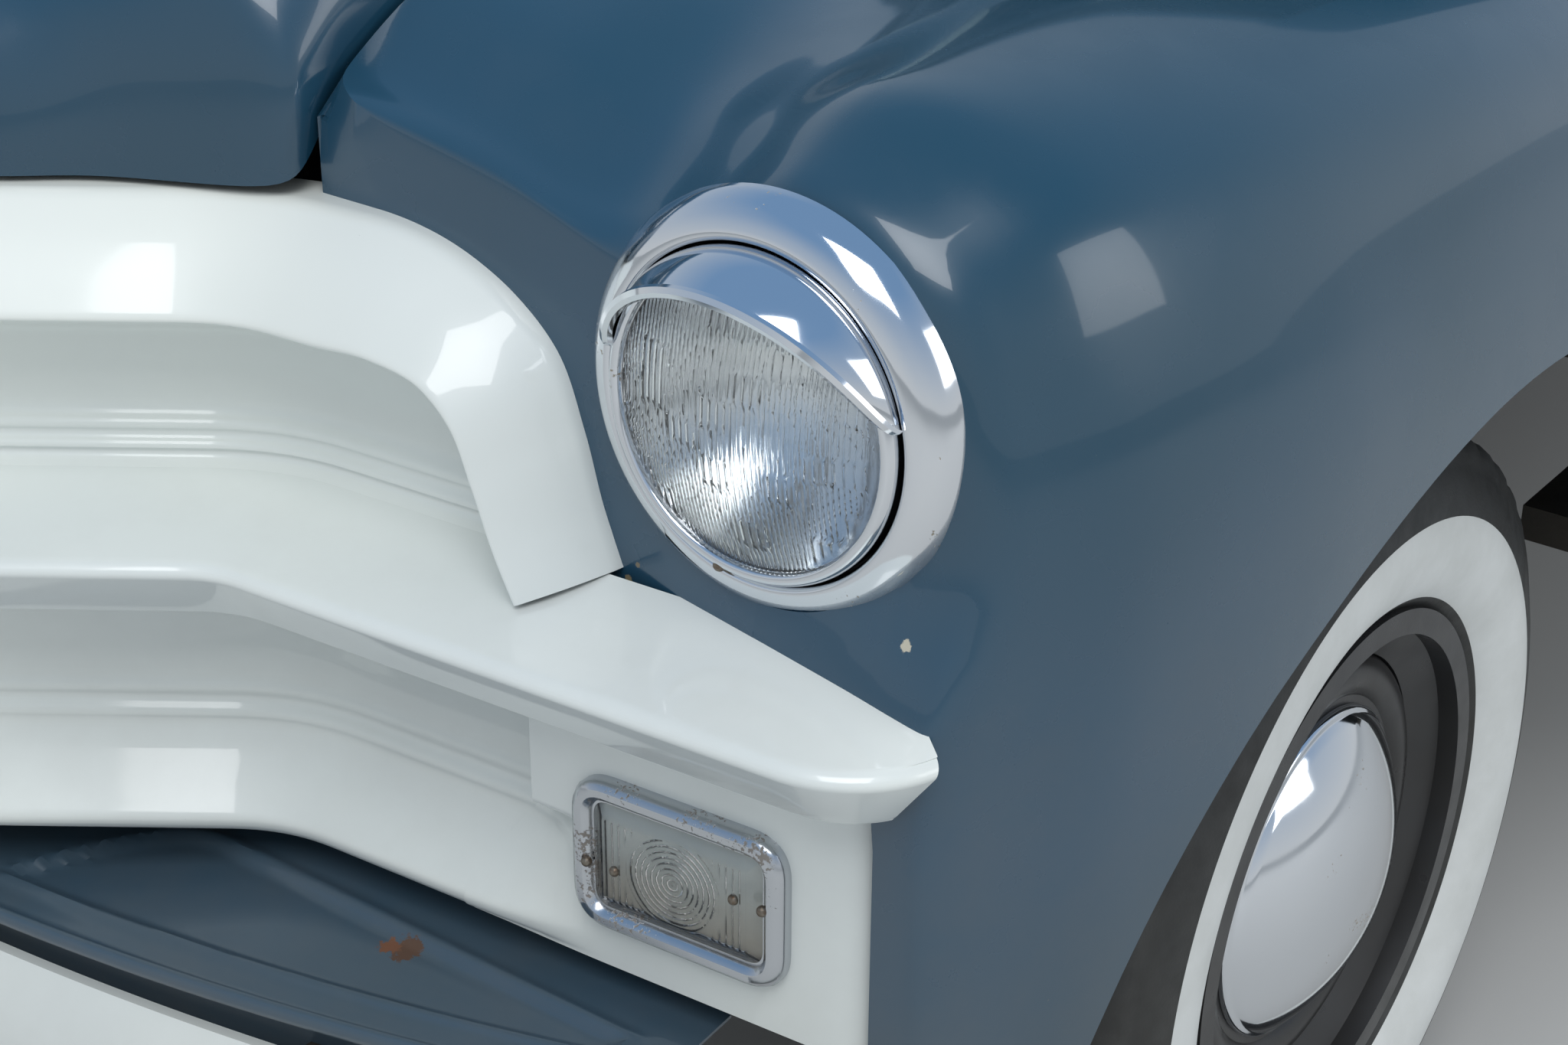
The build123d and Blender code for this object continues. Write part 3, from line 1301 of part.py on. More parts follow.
def build_bed():
    """The step-side bed: panels with rolled rails and stake pockets, planks on cross sills, and the tailgate."""
    y0, y1 = Y_FRONT + BED_FRONT, Y_FRONT + BED_BACK
    low, top, half, wall = BED_FLOOR - BED_PLANK, BED_TOP, BED_HALF, BED_WALL
    sheet = BED_SHEET
    sides = block(half, half + sheet, y0, y1, low, top - 14)
    sides += rod((half + 18, y0, top - 18), (half + 18, y1, top - 18), 18)
    for dy in STAKE_PLACES:
        y = Y_FRONT + dy
        pocket = block(half, half + wall + 32, y - 34, y + 34, top - 100, top)
        pocket -= block(half + wall - 12, half + wall + 26, y - 26, y + 26, top - 101, top + 1)
        sides -= block(half + sheet, half + wall + 32, y - 34, y + 34, top - 101, top + 1)
        sides += pocket
        sides -= block(half + wall - 12, half + wall + 26, y - 26, y + 26, top - 101, top + 1)
    sides += block(half, half + wall, y1 - 46, y1, low, top - 10)
    sides += block(half, half + wall, y0, y0 + 30, low, top - 10)
    front = block(-half, half, y0, y0 + sheet, low, top - 14)
    front += rod((-half, y0 + 14, top - 20), (half, y0 + 14, top - 20), 14)
    bed = sides + mirrored(sides) + front
    add("bed_sides", bed)
    planks = []
    floor_end = y1 - GATE_THICK - GAP
    count = PLANKS
    pitch = 2 * half / count
    for i in range(count):
        x = -half + i * pitch
        planks.append(block(x + 4, x + pitch - 4, y0 + 28, floor_end, low, BED_FLOOR))
    for i in range(1, count):
        x = -half + i * pitch
        strip = block(x - 4, x + 4, y0 + 28, floor_end, low, BED_FLOOR)
        strip += block(x - 13, x + 13, y0 + 28, floor_end, BED_FLOOR, BED_FLOOR + 3)
        planks.append(strip)
    floor = planks[0]
    for solid in planks[1:]:
        floor += solid
    add("bed_floor", floor)
    sills = []
    for dy in SILL_PLACES:
        y = Y_FRONT + dy
        sills.append(block(-half, half, y, y + 60, RAIL_TOP, low))
    add("bed_sills", sills)
    gate_y = y1 - GATE_THICK
    gate = block(GAP - half, half - GAP, gate_y, y1, GATE_LOW + 12, top - 16)
    gate -= block(70 - half, half - 70, y1 - 8, y1 + 1, GATE_LOW + 60, top - 70)
    gate -= block(50 - half, half - 50, gate_y - 1, y1 - 14, GATE_LOW + 50, top - 60)
    gate += rod((GAP - half, y1 - 15, top - 18), (half - GAP, y1 - 15, top - 18), 15)
    pin_y, pin_z = y1 - GATE_THICK / 2, GATE_LOW + 12
    gate += rod((GAP - half, pin_y, pin_z), (half - GAP, pin_y, pin_z), GATE_THICK / 2)
    gate -= rod((-half, pin_y, pin_z), (half, pin_y, pin_z), HINGE_PIN_R + SHAFT_FIT)
    add("tailgate", gate)
    pins = rod((half - 40, pin_y, pin_z), (half, pin_y, pin_z), HINGE_PIN_R)
    bed = PARTS["bed_sides"][0]
    for pin in pair(pins):
        bed += pin
    add("bed_sides", bed)


def build_rear_fenders():
    """Barrel-shaped rear fender shells with open wheel arches."""
    skin = rear_fender_solid() - rear_fender_solid(SKIN)
    skin -= rod((BED_HALF + BED_WALL + 6, Y_REAR, AXLE_Z), (BEYOND, Y_REAR, AXLE_Z), REAR_ARCH_R)
    skin -= block(0, BED_HALF + BED_SHEET, 0, LENGTH, 0, BEYOND)
    skin -= PARTS["bed_sides"][0]
    add("rear_fenders", pair(skin))


def build_running_boards():
    """Running boards with their splash aprons and brackets from the rails."""
    top = FENDER_LOW
    y0, y1 = Y_FRONT + BOARD_FRONT, Y_REAR - BOARD_BACK
    board = plan_plate(
        [(BOARD_IN, y0), (BOARD_OUT - 20, y0), (BOARD_OUT, y0 + 60), (BOARD_OUT, y1 - 60), (BOARD_OUT - 40, y1),
         (BOARD_IN, y1)],
        top - BOARD_THICK,
        top,
    )
    board += block(BOARD_IN, BOARD_IN + SHEET, Y_FRONT + DOOR_FRONT, y1, top - BOARD_THICK, CAB_TABLE[0][0])
    for dy in BOARD_ARMS:
        y = Y_FRONT + dy
        board += block(RAIL_OUT, BOARD_OUT - 60, y, y + 44, top - BOARD_THICK - 14, top - BOARD_THICK)
        board += block(RAIL_OUT, RAIL_OUT + 8, y, y + 44, top - BOARD_THICK - 14, RAIL_TOP - 20)
    add("running_boards", pair(board - rear_fender_solid()))


def build_tail_lamps():
    """Round tail lamps on brackets from the bed sides."""
    x, z, y = TAIL_X, TAIL_Z, Y_FRONT + BED_BACK - 60
    lamp = spun([(0, 0), (TAIL_R - 12, 0), (TAIL_R, 14), (TAIL_R, 46), (TAIL_R - 5, 50), dome(TAIL_R - 5, 50, 62)])
    lamp = Pos(x, y, z) * Rot(-90, 0, 0) * lamp
    lamp += block(BED_HALF + BED_WALL, x, y, y + 30, z - 14, z + 14)
    add("tail_lamps", pair(lamp))


def main():
    """Builds every node and writes one STEP file for each."""
    build_frame()
    build_front_axle()
    front = leaf_spring(Y_FRONT, AXLE_Z - BEAM_DROP, SPRING_TIP)
    rear = leaf_spring(Y_REAR, AXLE_Z + AXLE_TUBE_R, REAR_SPRING_TIP)
    add("leaf_springs", pair(front), pair(rear))
    build_rear_axle()
    for name, x, y, side in (
        ("front_left", TRACK_FRONT / 2, Y_FRONT, 1),
        ("front_right", -TRACK_FRONT / 2, Y_FRONT, -1),
        ("rear_left", TRACK_REAR / 2, Y_REAR, 1),
        ("rear_right", -TRACK_REAR / 2, Y_REAR, -1),
    ):
        build_wheel(name, x, y, side)
    for name, side in (("left", 1), ("right", -1)):
        build_knuckle(name, side)
        build_door(name, side)
    build_tie_rod()
    build_engine()
    build_radiator()
    build_exhaust()
    build_front_sheet()
    build_hood()
    build_cab()
    build_interior()
    build_grille()
    build_front_fenders()
    build_headlamps()
    build_parking_lamps()
    build_bumpers()
    build_bed()
    build_rear_fenders()
    build_running_boards()
    build_tail_lamps()
    os.makedirs("parts", exist_ok=True)
    for name, solids in PARTS.items():
        flat = [solid for item in solids for solid in item.solids()]
        export_step(flat[0] if len(flat) == 1 else Compound(flat), "parts/" + name + ".step")


main()
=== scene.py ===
import json
import math
import bpy
import numpy as np
from bpy.props import FloatProperty, FloatVectorProperty, IntProperty, PointerProperty
from mathutils import Matrix, Vector


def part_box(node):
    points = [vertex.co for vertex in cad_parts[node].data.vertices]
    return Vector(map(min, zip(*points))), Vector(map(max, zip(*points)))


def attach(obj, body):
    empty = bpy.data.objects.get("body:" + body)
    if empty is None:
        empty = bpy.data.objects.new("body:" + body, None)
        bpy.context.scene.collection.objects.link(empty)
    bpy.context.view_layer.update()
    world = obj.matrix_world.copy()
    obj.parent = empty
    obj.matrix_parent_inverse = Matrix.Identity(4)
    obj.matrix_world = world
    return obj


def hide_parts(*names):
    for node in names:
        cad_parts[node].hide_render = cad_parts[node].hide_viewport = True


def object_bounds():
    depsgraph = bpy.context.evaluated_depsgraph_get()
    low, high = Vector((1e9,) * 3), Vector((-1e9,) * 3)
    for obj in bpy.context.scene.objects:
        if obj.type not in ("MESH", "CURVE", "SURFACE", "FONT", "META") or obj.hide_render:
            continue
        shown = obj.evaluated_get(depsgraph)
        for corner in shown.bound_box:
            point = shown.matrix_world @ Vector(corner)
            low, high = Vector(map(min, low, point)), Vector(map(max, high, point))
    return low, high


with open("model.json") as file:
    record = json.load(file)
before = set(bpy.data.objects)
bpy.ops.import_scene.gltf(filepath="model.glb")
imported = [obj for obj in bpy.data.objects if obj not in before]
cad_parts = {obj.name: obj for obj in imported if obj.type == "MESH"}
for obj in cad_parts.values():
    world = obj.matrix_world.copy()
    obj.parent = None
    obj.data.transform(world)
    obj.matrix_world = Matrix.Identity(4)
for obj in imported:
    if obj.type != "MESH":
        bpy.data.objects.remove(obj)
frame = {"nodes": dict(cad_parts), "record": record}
CAD_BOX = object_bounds()

bl_info = {
    "name": "Classic Pickup Truck",
    "version": (1, 0, 0),
    "blender": (4, 5, 0),
    "location": "3D View > Sidebar > Pickup",
    "description": "Dresses the packed pickup truck: body panels, grille, lamps, wheels, bed and cabin",
    "category": "Object",
}

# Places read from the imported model, in metres
WHEEL_LOW, WHEEL_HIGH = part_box("wheel_front_left")
AXLE_Y = (WHEEL_LOW[1] + WHEEL_HIGH[1]) / 2
AXLE_Z = (WHEEL_LOW[2] + WHEEL_HIGH[2]) / 2
REAR_LOW, REAR_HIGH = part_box("wheel_rear_left")
REAR_AXLE_Y = (REAR_LOW[1] + REAR_HIGH[1]) / 2

# The photograph's camera: turn from +Y, downward angle and roll in degrees, place behind the front axle
CAMERA_TURN = 36.71
CAMERA_DOWN = 26.79
CAMERA_ROLL = 0.4
CAMERA_PLACE = (1.451, -1.617, 1.516)
FOCAL_PIXELS = 3555.6
PHOTO_WIDTH = 2048
SENSOR = 36.0

# Turns a place on the left side into its mirror image on the right
MIRROR = np.array([-1.0, 1.0, 1.0])

# Finish, body and slot of the pieces that stand still
BLUE = ("slate_blue_enamel", "chassis", "body_paint")
WHITE = ("off_white_enamel", "chassis", "grille_paint")
BLACK = ("black_chassis_paint", "chassis", "frame_paint")
CHROME = ("polished_chrome", "chassis", "chrome")

MATERIALS = {}


def linear(text):
    """Turns an sRGB hex colour into Blender's linear colour."""
    values = np.array([int(text[i : i + 2], 16) for i in (1, 3, 5)]) / 255.0
    line = np.where(values <= 0.04045, values / 12.92, ((values + 0.055) / 1.055) ** 2.4)
    return (*line.tolist(), 1.0)


def node(tree, kind, values=None, links=None, **settings):
    """Adds one shader node with its settings, its socket values and its incoming links."""
    item = tree.nodes.new(kind)
    for key, value in settings.items():
        setattr(item, key, value)
    for key, value in (values or {}).items():
        item.inputs[key].default_value = value
    for key, source in (links or {}).items():
        tree.links.new(source, item.inputs[key])
    return item


def new_finish(name):
    """An empty material by its finish's name, and the coordinates of its object."""
    material = bpy.data.materials.new(name)
    material.use_nodes = True
    tree = material.node_tree
    tree.nodes.clear()
    MATERIALS[name] = material
    return tree, node(tree, "ShaderNodeTexCoord").outputs["Object"]


def hermite(x, y, at):
    """Monotone cubic through table columns: harmonic-mean slopes, so nothing swings past its rows."""
    x = np.asarray(x, float)
    y = np.asarray(y, float).reshape(len(x), -1)
    at = np.asarray(at, float)
    h = np.diff(x)[:, None]
    d = np.diff(y, axis=0) / h
    same = d[:-1] * d[1:] > 0
    before, after = np.where(same, d[:-1], 1.0), np.where(same, d[1:], 1.0)
    w1, w2 = 2 * h[1:] + h[:-1], h[1:] + 2 * h[:-1]
    slope = np.vstack([d[:1], np.where(same, (w1 + w2) / (w1 / before + w2 / after), 0.0), d[-1:]])
    k = np.clip(np.searchsorted(x, at, side="right") - 1, 0, len(x) - 2)
    t = ((at - x[k]) / (x[k + 1] - x[k]))[:, None]
    rise = t * (1 - t) ** 2 * h[k] * slope[k] + t**2 * (t - 1) * h[k] * slope[k + 1]
    return (1 + 2 * t) * (1 - t) ** 2 * y[k] + t**2 * (3 - 2 * t) * y[k + 1] + rise


def through(points, per):
    """A smooth line through points (..., n, k): cubic pieces whose tangents are weighted by chord length."""
    points = np.asarray(points, float)
    step = np.diff(points, axis=-2)
    chord = np.linalg.norm(step, axis=-1, keepdims=True) + 1e-12
    slope = step / chord
    one, two = chord[..., :-1, :], chord[..., 1:, :]
    inner = (slope[..., :-1, :] * two + slope[..., 1:, :] * one) / (one + two)
    first = 1.5 * slope[..., :1, :] - 0.5 * inner[..., :1, :]
    last = 1.5 * slope[..., -1:, :] - 0.5 * inner[..., -1:, :]
    tangent = np.concatenate([first, inner, last], axis=-2)
    t = (np.arange(per) / per)[:, None]
    p0, p1 = points[..., :-1, None, :], points[..., 1:, None, :]
    m0, m1 = (tangent[..., :-1, :] * chord)[..., None, :], (tangent[..., 1:, :] * chord)[..., None, :]
    line = (1 + 2 * t) * (1 - t) ** 2 * p0 + t * (1 - t) ** 2 * m0
    line = line + t**2 * (3 - 2 * t) * p1 + t**2 * (t - 1) * m1
    line = line.reshape(*points.shape[:-2], -1, points.shape[-1])
    return np.concatenate([line, points[..., -1:, :]], axis=-2)


def soft(points, reach, steps=6):
    """Rounds each inner corner of a line of points with a parabola that starts reach away from it."""
    points = np.asarray(points, float)
    a, b, c = points[:-2], points[1:-1], points[2:]
    before, after = np.linalg.norm(a - b, axis=1, keepdims=True), np.linalg.norm(c - b, axis=1, keepdims=True)
    reach = np.broadcast_to(np.asarray(reach, float), (len(b),))[:, None]
    start = b + (a - b) / before * np.minimum(reach, 0.48 * before)
    end = b + (c - b) / after * np.minimum(reach, 0.48 * after)
    t = np.linspace(0, 1, steps)[None, :, None]
    curve = (1 - t) ** 2 * start[:, None] + 2 * t * (1 - t) * b[:, None] + t**2 * end[:, None]
    return np.vstack([points[:1], curve.reshape(-1, points.shape[1]), points[-1:]])


def loop_soft(points, reach, steps=6):
    """The same rounding for a closed outline, which ends on its first point."""
    points = np.asarray(points, float)
    line = soft(np.vstack([points[-1:], points, points[:1]]), reach, steps)[1:-1]
    return np.vstack([line, line[:1]])


def fair(points, rounds):
    """Averages each inner row of a grid with its neighbours, which keeps the first and last rows."""
    points = points.copy()
    for _ in range(rounds):
        points[1:-1] += 0.5 * ((points[:-2] + points[2:]) / 2 - points[1:-1])
    return points


def inside_outline(points, outline):
    """Distance from flat points to a closed outline, below zero inside it."""
    a, b = outline[:-1], outline[1:]
    flat = points.reshape(-1, 2)
    best = np.full(len(flat), 1e9)
    odd = np.zeros(len(flat), bool)
    for p, q in zip(a, b):
        line = q - p
        t = np.clip(((flat - p) @ line) / (line @ line + 1e-18), 0, 1)
        best = np.minimum(best, np.linalg.norm(flat - p - t[:, None] * line, axis=1))
        crosses = (p[1] > flat[:, 1]) != (q[1] > flat[:, 1])
        where = p[0] + (flat[:, 1] - p[1]) * (q[0] - p[0]) / (q[1] - p[1] + 1e-18)
        odd ^= crosses & (flat[:, 0] < where)
    return np.where(odd, -best, best).reshape(points.shape[:-1])


def grid_faces(rows, cols):
    """The quads of a grid of points."""
    i, j = np.arange(rows - 1)[:, None], np.arange(cols - 1)[None, :]
    a = i * cols + j
    return np.stack([a, a + cols, a + cols + 1, a + 1], -1).reshape(-1, 4)


def trimmed(points, distance):
    """Cuts a grid where distance is over zero, after points beside the cut slide onto it along the grid."""
    rows, cols = distance.shape
    nearest = np.full((rows, cols), 0.500001)
    place = points.copy()
    for axis in (0, 1):
        for way in (1, -1):
            other = np.roll(distance, -way, axis)
            crossing = distance * other < 0
            border = [slice(None), slice(None)]
            border[axis] = -1 if way == 1 else 0
            crossing[tuple(border)] = False
            share = distance / np.where(crossing, distance - other, 1.0)
            use = crossing & (share < nearest)
            nearest = np.where(use, share, nearest)
            slid = points + share[..., None] * (np.roll(points, -way, axis) - points)
            place = np.where(use[..., None], slid, place)
    on = nearest < 0.5
    kept = np.where(on, 0.0, distance).ravel() <= 0
    quads = grid_faces(rows, cols)
    inside = kept[quads]
    count = inside.sum(1)
    triangles = quads[count == 3][inside[count == 3]].reshape(-1, 3)
    return place.reshape(-1, 3), [quads[count == 4], triangles]


def welded(points, faces):
    """Joins equal points and drops collapsed faces and unused points."""
    rounded = np.round(points, 6)
    _, first, number = np.unique(rounded, axis=0, return_index=True, return_inverse=True)
    points, number = points[first], number.ravel()
    kept = []
    for group in faces:
        if not len(group):
            continue
        group = number[group]
        same = group == np.roll(group, -1, axis=1)
        kept.append(group[~same.any(1)])
        if group.shape[1] == 4:
            thin = same.sum(1) == 1
            kept.append(group[thin][~same[thin]].reshape(-1, 3))
    used = np.unique(np.concatenate([group.ravel() for group in kept]))
    renumber = np.zeros(len(points), int)
    renumber[used] = np.arange(len(used))
    return points[used], [renumber[group] for group in kept if len(group)]


def face_normals(points, group):
    """Area-weighted normals of faces, from their diagonals."""
    a, b, c, d = (points[group[:, i]] for i in (0, 1, 2, -1))
    return np.cross(c - a, d - b) if group.shape[1] == 4 else np.cross(b - a, c - a)


def point_normals(points, faces):
    """Unit normals of points, summed over their faces."""
    total = np.zeros_like(points)
    for group in faces:
        normal = face_normals(points, group)
        for i in range(group.shape[1]):
            np.add.at(total, group[:, i], normal)
    return total / (np.linalg.norm(total, axis=1, keepdims=True) + 1e-15)


def facing_out(points, faces, inside):
    """Turns the faces so that they look away from an inside point."""
    total = 0.0
    for group in faces:
        normal = face_normals(points, group)
        total += (normal * (points[group].mean(1) - np.asarray(inside))).sum()
    return faces if total > 0 else [group[:, ::-1] for group in faces]


def thickened(points, faces, wall):
    """Adds an inner copy set back along the normals, and a rim that joins both along every open edge."""
    normal = point_normals(points, faces)
    count = len(points)
    inner = [group[:, ::-1] + count for group in faces]
    starts = np.concatenate([group.ravel() for group in faces])
    ends = np.concatenate([np.roll(group, -1, axis=1).ravel() for group in faces])
    key, back = starts * count + ends, ends * count + starts
    open_edge = ~np.isin(key, back)
    a, b = starts[open_edge], ends[open_edge]
    rim = np.stack([a, a + count, b + count, b], 1)
    return np.vstack([points, points - normal * wall]), faces + inner + [rim]


def piece(name, points, faces, finish, body, slot, stands_for=(), crease=35, spots=None):
    """Makes a piece's object: smooth faces with sharp creases, its finish, its body and what it replaces."""
    mesh = bpy.data.meshes.new(name)
    mesh.from_pydata(points.tolist(), [], [face for group in faces for face in group.tolist()])
    mesh.polygons.foreach_set("use_smooth", np.ones(len(mesh.polygons), bool))
    finishes = [finish] if isinstance(finish, str) else finish
    for item in finishes:
        mesh.materials.append(MATERIALS[item])
    if spots is not None:
        mesh.polygons.foreach_set("material_index", np.concatenate(spots).astype(np.int32))
    mesh.set_sharp_from_angle(angle=math.radians(crease))
    mesh.update()
    obj = bpy.data.objects.new(name, mesh)
    bpy.context.scene.collection.objects.link(obj)
    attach(obj, body)
    if stands_for:
        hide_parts(*stands_for)
    return obj


def joined(*parts):
    """Several (points, faces) as one."""
    points, faces, start = [], [], 0
    for some, groups in parts:
        points.append(some)
        faces.extend(group + start for group in groups)
        start += len(some)
    return np.vstack(points), faces


def flipped(part):
    """The mirror image on the truck's right side, with its faces turned back outwards."""
    points, faces = part
    return points * MIRROR, [group[:, ::-1] for group in faces]


def both_sides(part):
    """A piece and its mirror image."""
    return joined(part, flipped(part))


def skin(grid, inside, wall=0.0, cut=None):
    """A grid of points as a sheet that faces away from an inside point, cut and with a wall if asked."""
    if cut is None:
        points, faces = grid.reshape(-1, 3), [grid_faces(*grid.shape[:2])]
    else:
        points, faces = trimmed(grid, cut)
    points, faces = welded(points, faces)
    faces = facing_out(points, faces, inside)
    return thickened(points, faces, wall) if wall else (points, faces)


def turned(profile, centre, way, count=96):
    """A profile in radius and distance, turned about an axis that runs left, ahead, back or up."""
    radius, along = np.asarray(profile, float).T[:, None]
    angle = np.radians(np.linspace(0, 360, count + 1))[:, None]
    flat = np.broadcast_to(along, (count + 1, len(profile)))
    a, b = radius * np.cos(angle), radius * np.sin(angle)
    ways = {"left": (flat, a, b), "ahead": (a, -flat, b), "back": (a, flat, b), "up": (a, b, flat)}
    return np.stack(ways[way], -1) + np.asarray(centre)


def tube(path, radius, around=12, closed=False):
    """A round section carried along a path, with its ends closed to a point unless it is a loop."""
    path = np.asarray(path, float)
    if closed:
        tangent = np.roll(path, -1, 0) - np.roll(path, 1, 0)
    else:
        tangent = np.gradient(path, axis=0)
    tangent /= np.linalg.norm(tangent, axis=1, keepdims=True)
    reference = np.eye(3)[np.argmin(np.ptp(path, axis=0))]
    side = np.cross(tangent, reference)
    side /= np.linalg.norm(side, axis=1, keepdims=True)
    up = np.cross(side, tangent)
    angle = np.linspace(0, 2 * math.pi, around + 1)[None, :, None]
    radius = np.broadcast_to(np.asarray(radius, float), (len(path),))[:, None, None]
    grid = path[:, None] + radius * (np.cos(angle) * side[:, None] + np.sin(angle) * up[:, None])
    if closed:
        grid = np.concatenate([grid, grid[:1]])
    else:
        ends = [np.broadcast_to(path[i], (1, around + 1, 3)) for i in (0, -1)]
        grid = np.concatenate([ends[0], grid, ends[1]])
    points, faces = welded(grid.reshape(-1, 3), [grid_faces(*grid.shape[:2])])
    if closed:
        return points, turned_out(points, faces, path)
    return points, facing_out(points, faces, path.mean(0))


def turned_out(points, faces, path):
    """Turns a closed tube's faces away from its own path."""
    group = faces[0]
    centre = points[group].mean(1)
    nearest = path[np.argmin(np.linalg.norm(centre[:, None] - path[None], axis=2), axis=1)]
    total = (face_normals(points, group) * (centre - nearest)).sum()
    return faces if total > 0 else [group[:, ::-1] for group in faces]


def spotted(tree, place, base, spots, soil):
    """Lays local marks over a colour: each spreads from a point, with a ragged edge from fine noise."""
    noise = {"Scale": 260.0, "Detail": 5.0, "Roughness": 0.7}
    fine = node(tree, "ShaderNodeTexNoise", noise, {"Vector": place}).outputs["Fac"]
    worn = None
    for (x, y, z), radius, colour in spots:
        point = {1: (x, AXLE_Y + y, z)}
        far = node(tree, "ShaderNodeVectorMath", point, {0: place}, operation="DISTANCE").outputs["Value"]
        swing = {1: radius * 2.4, 2: -radius * 1.2}
        ragged = node(tree, "ShaderNodeMath", swing, {0: fine}, operation="MULTIPLY_ADD").outputs[0]
        edge = node(tree, "ShaderNodeMath", links={0: far, 1: ragged}, operation="ADD").outputs[0]
        mask = node(tree, "ShaderNodeMapRange", {1: radius * 1.06, 2: radius * 0.86}, {0: edge}).outputs[0]
        links = {0: mask, 6: base}
        base = node(tree, "ShaderNodeMix", {7: linear(colour)}, links, data_type="RGBA").outputs[2]
        worn = mask if worn is None else node(
            tree, "ShaderNodeMath", links={0: worn, 1: mask}, operation="MAXIMUM"
        ).outputs[0]
    height = node(tree, "ShaderNodeSeparateXYZ", links={0: place}).outputs["Z"]
    noise = {"Scale": 14.0, "Detail": 6.0, "Roughness": 0.65}
    broad = node(tree, "ShaderNodeTexNoise", noise, {"Vector": place}).outputs["Fac"]
    level = node(tree, "ShaderNodeMath", {1: -0.30, 2: 0.15}, {0: broad}, operation="MULTIPLY_ADD").outputs[0]
    low = node(tree, "ShaderNodeMath", links={0: height, 1: level}, operation="ADD").outputs[0]
    dirt = node(tree, "ShaderNodeMapRange", {1: 0.80, 2: 0.40, 3: 0.0, 4: soil}, {0: low}).outputs[0]
    links = {0: dirt, 6: base}
    base = node(tree, "ShaderNodeMix", {7: linear("#6f675a")}, links, data_type="RGBA").outputs[2]
    return base, worn, dirt


def enamel(name, colour, faded, primer, rough, chip_level, soil, spots):
    """Old gloss enamel: slow fading, chips down to primer, marks and road dirt under a reflective top."""
    tree, place = new_finish(name)
    slow = node(tree, "ShaderNodeTexNoise", {"Scale": 2.4, "Detail": 2.0}, {"Vector": place}).outputs["Fac"]
    tone = node(tree, "ShaderNodeMapRange", {1: 0.35, 2: 0.70}, {0: slow}).outputs[0]
    colours = {6: linear(colour), 7: linear(faded)}
    base = node(tree, "ShaderNodeMix", colours, {0: tone}, data_type="RGBA").outputs[2]
    noise = {"Scale": 150.0, "Detail": 5.0, "Roughness": 0.7}
    fine = node(tree, "ShaderNodeTexNoise", noise, {"Vector": place}).outputs["Fac"]
    patch = node(tree, "ShaderNodeTexNoise", {"Scale": 9.0, "Detail": 2.0}, {"Vector": place}).outputs["Fac"]
    both = node(tree, "ShaderNodeMath", links={0: fine, 1: patch}, operation="MULTIPLY").outputs[0]
    chip = node(tree, "ShaderNodeMapRange", {1: chip_level, 2: chip_level + 0.012}, {0: both}).outputs[0]
    links = {0: chip, 6: base}
    base = node(tree, "ShaderNodeMix", {7: linear(primer)}, links, data_type="RGBA").outputs[2]
    base, worn, dirt = spotted(tree, place, base, spots, soil)
    dust = node(tree, "ShaderNodeTexNoise", {"Scale": 17.0, "Detail": 5.0}, {"Vector": place}).outputs["Fac"]
    span = {1: 0.35, 2: 0.80, 3: rough, 4: rough + 0.14}
    film = node(tree, "ShaderNodeMapRange", span, {0: dust}).outputs[0]
    matt = node(tree, "ShaderNodeMath", links={0: chip, 1: dirt}, operation="MAXIMUM").outputs[0]
    if worn is not None:
        matt = node(tree, "ShaderNodeMath", links={0: matt, 1: worn}, operation="MAXIMUM").outputs[0]
    level = node(tree, "ShaderNodeMath", {1: 0.5}, {0: matt, 2: film}, operation="MULTIPLY_ADD").outputs[0]
    coat = node(tree, "ShaderNodeMapRange", {1: 0.0, 2: 1.0, 3: 0.75, 4: 0.0}, {0: matt}).outputs[0]
    peel = node(tree, "ShaderNodeTexNoise", {"Scale": 140.0, "Detail": 2.0}, {"Vector": place}).outputs["Fac"]
    sunk = node(tree, "ShaderNodeMath", {1: -3.0}, {0: matt, 2: peel}, operation="MULTIPLY_ADD").outputs[0]
    bump = node(tree, "ShaderNodeBump", {"Distance": 0.00003, "Strength": 1.0}, {"Height": sunk}).outputs[0]
    values = {"Coat Roughness": 0.05}
    links = {"Base Color": base, "Roughness": level, "Coat Weight": coat, "Normal": bump}
    shader = node(tree, "ShaderNodeBsdfPrincipled", values, links)
    node(tree, "ShaderNodeOutputMaterial", links={"Surface": shader.outputs["BSDF"]})


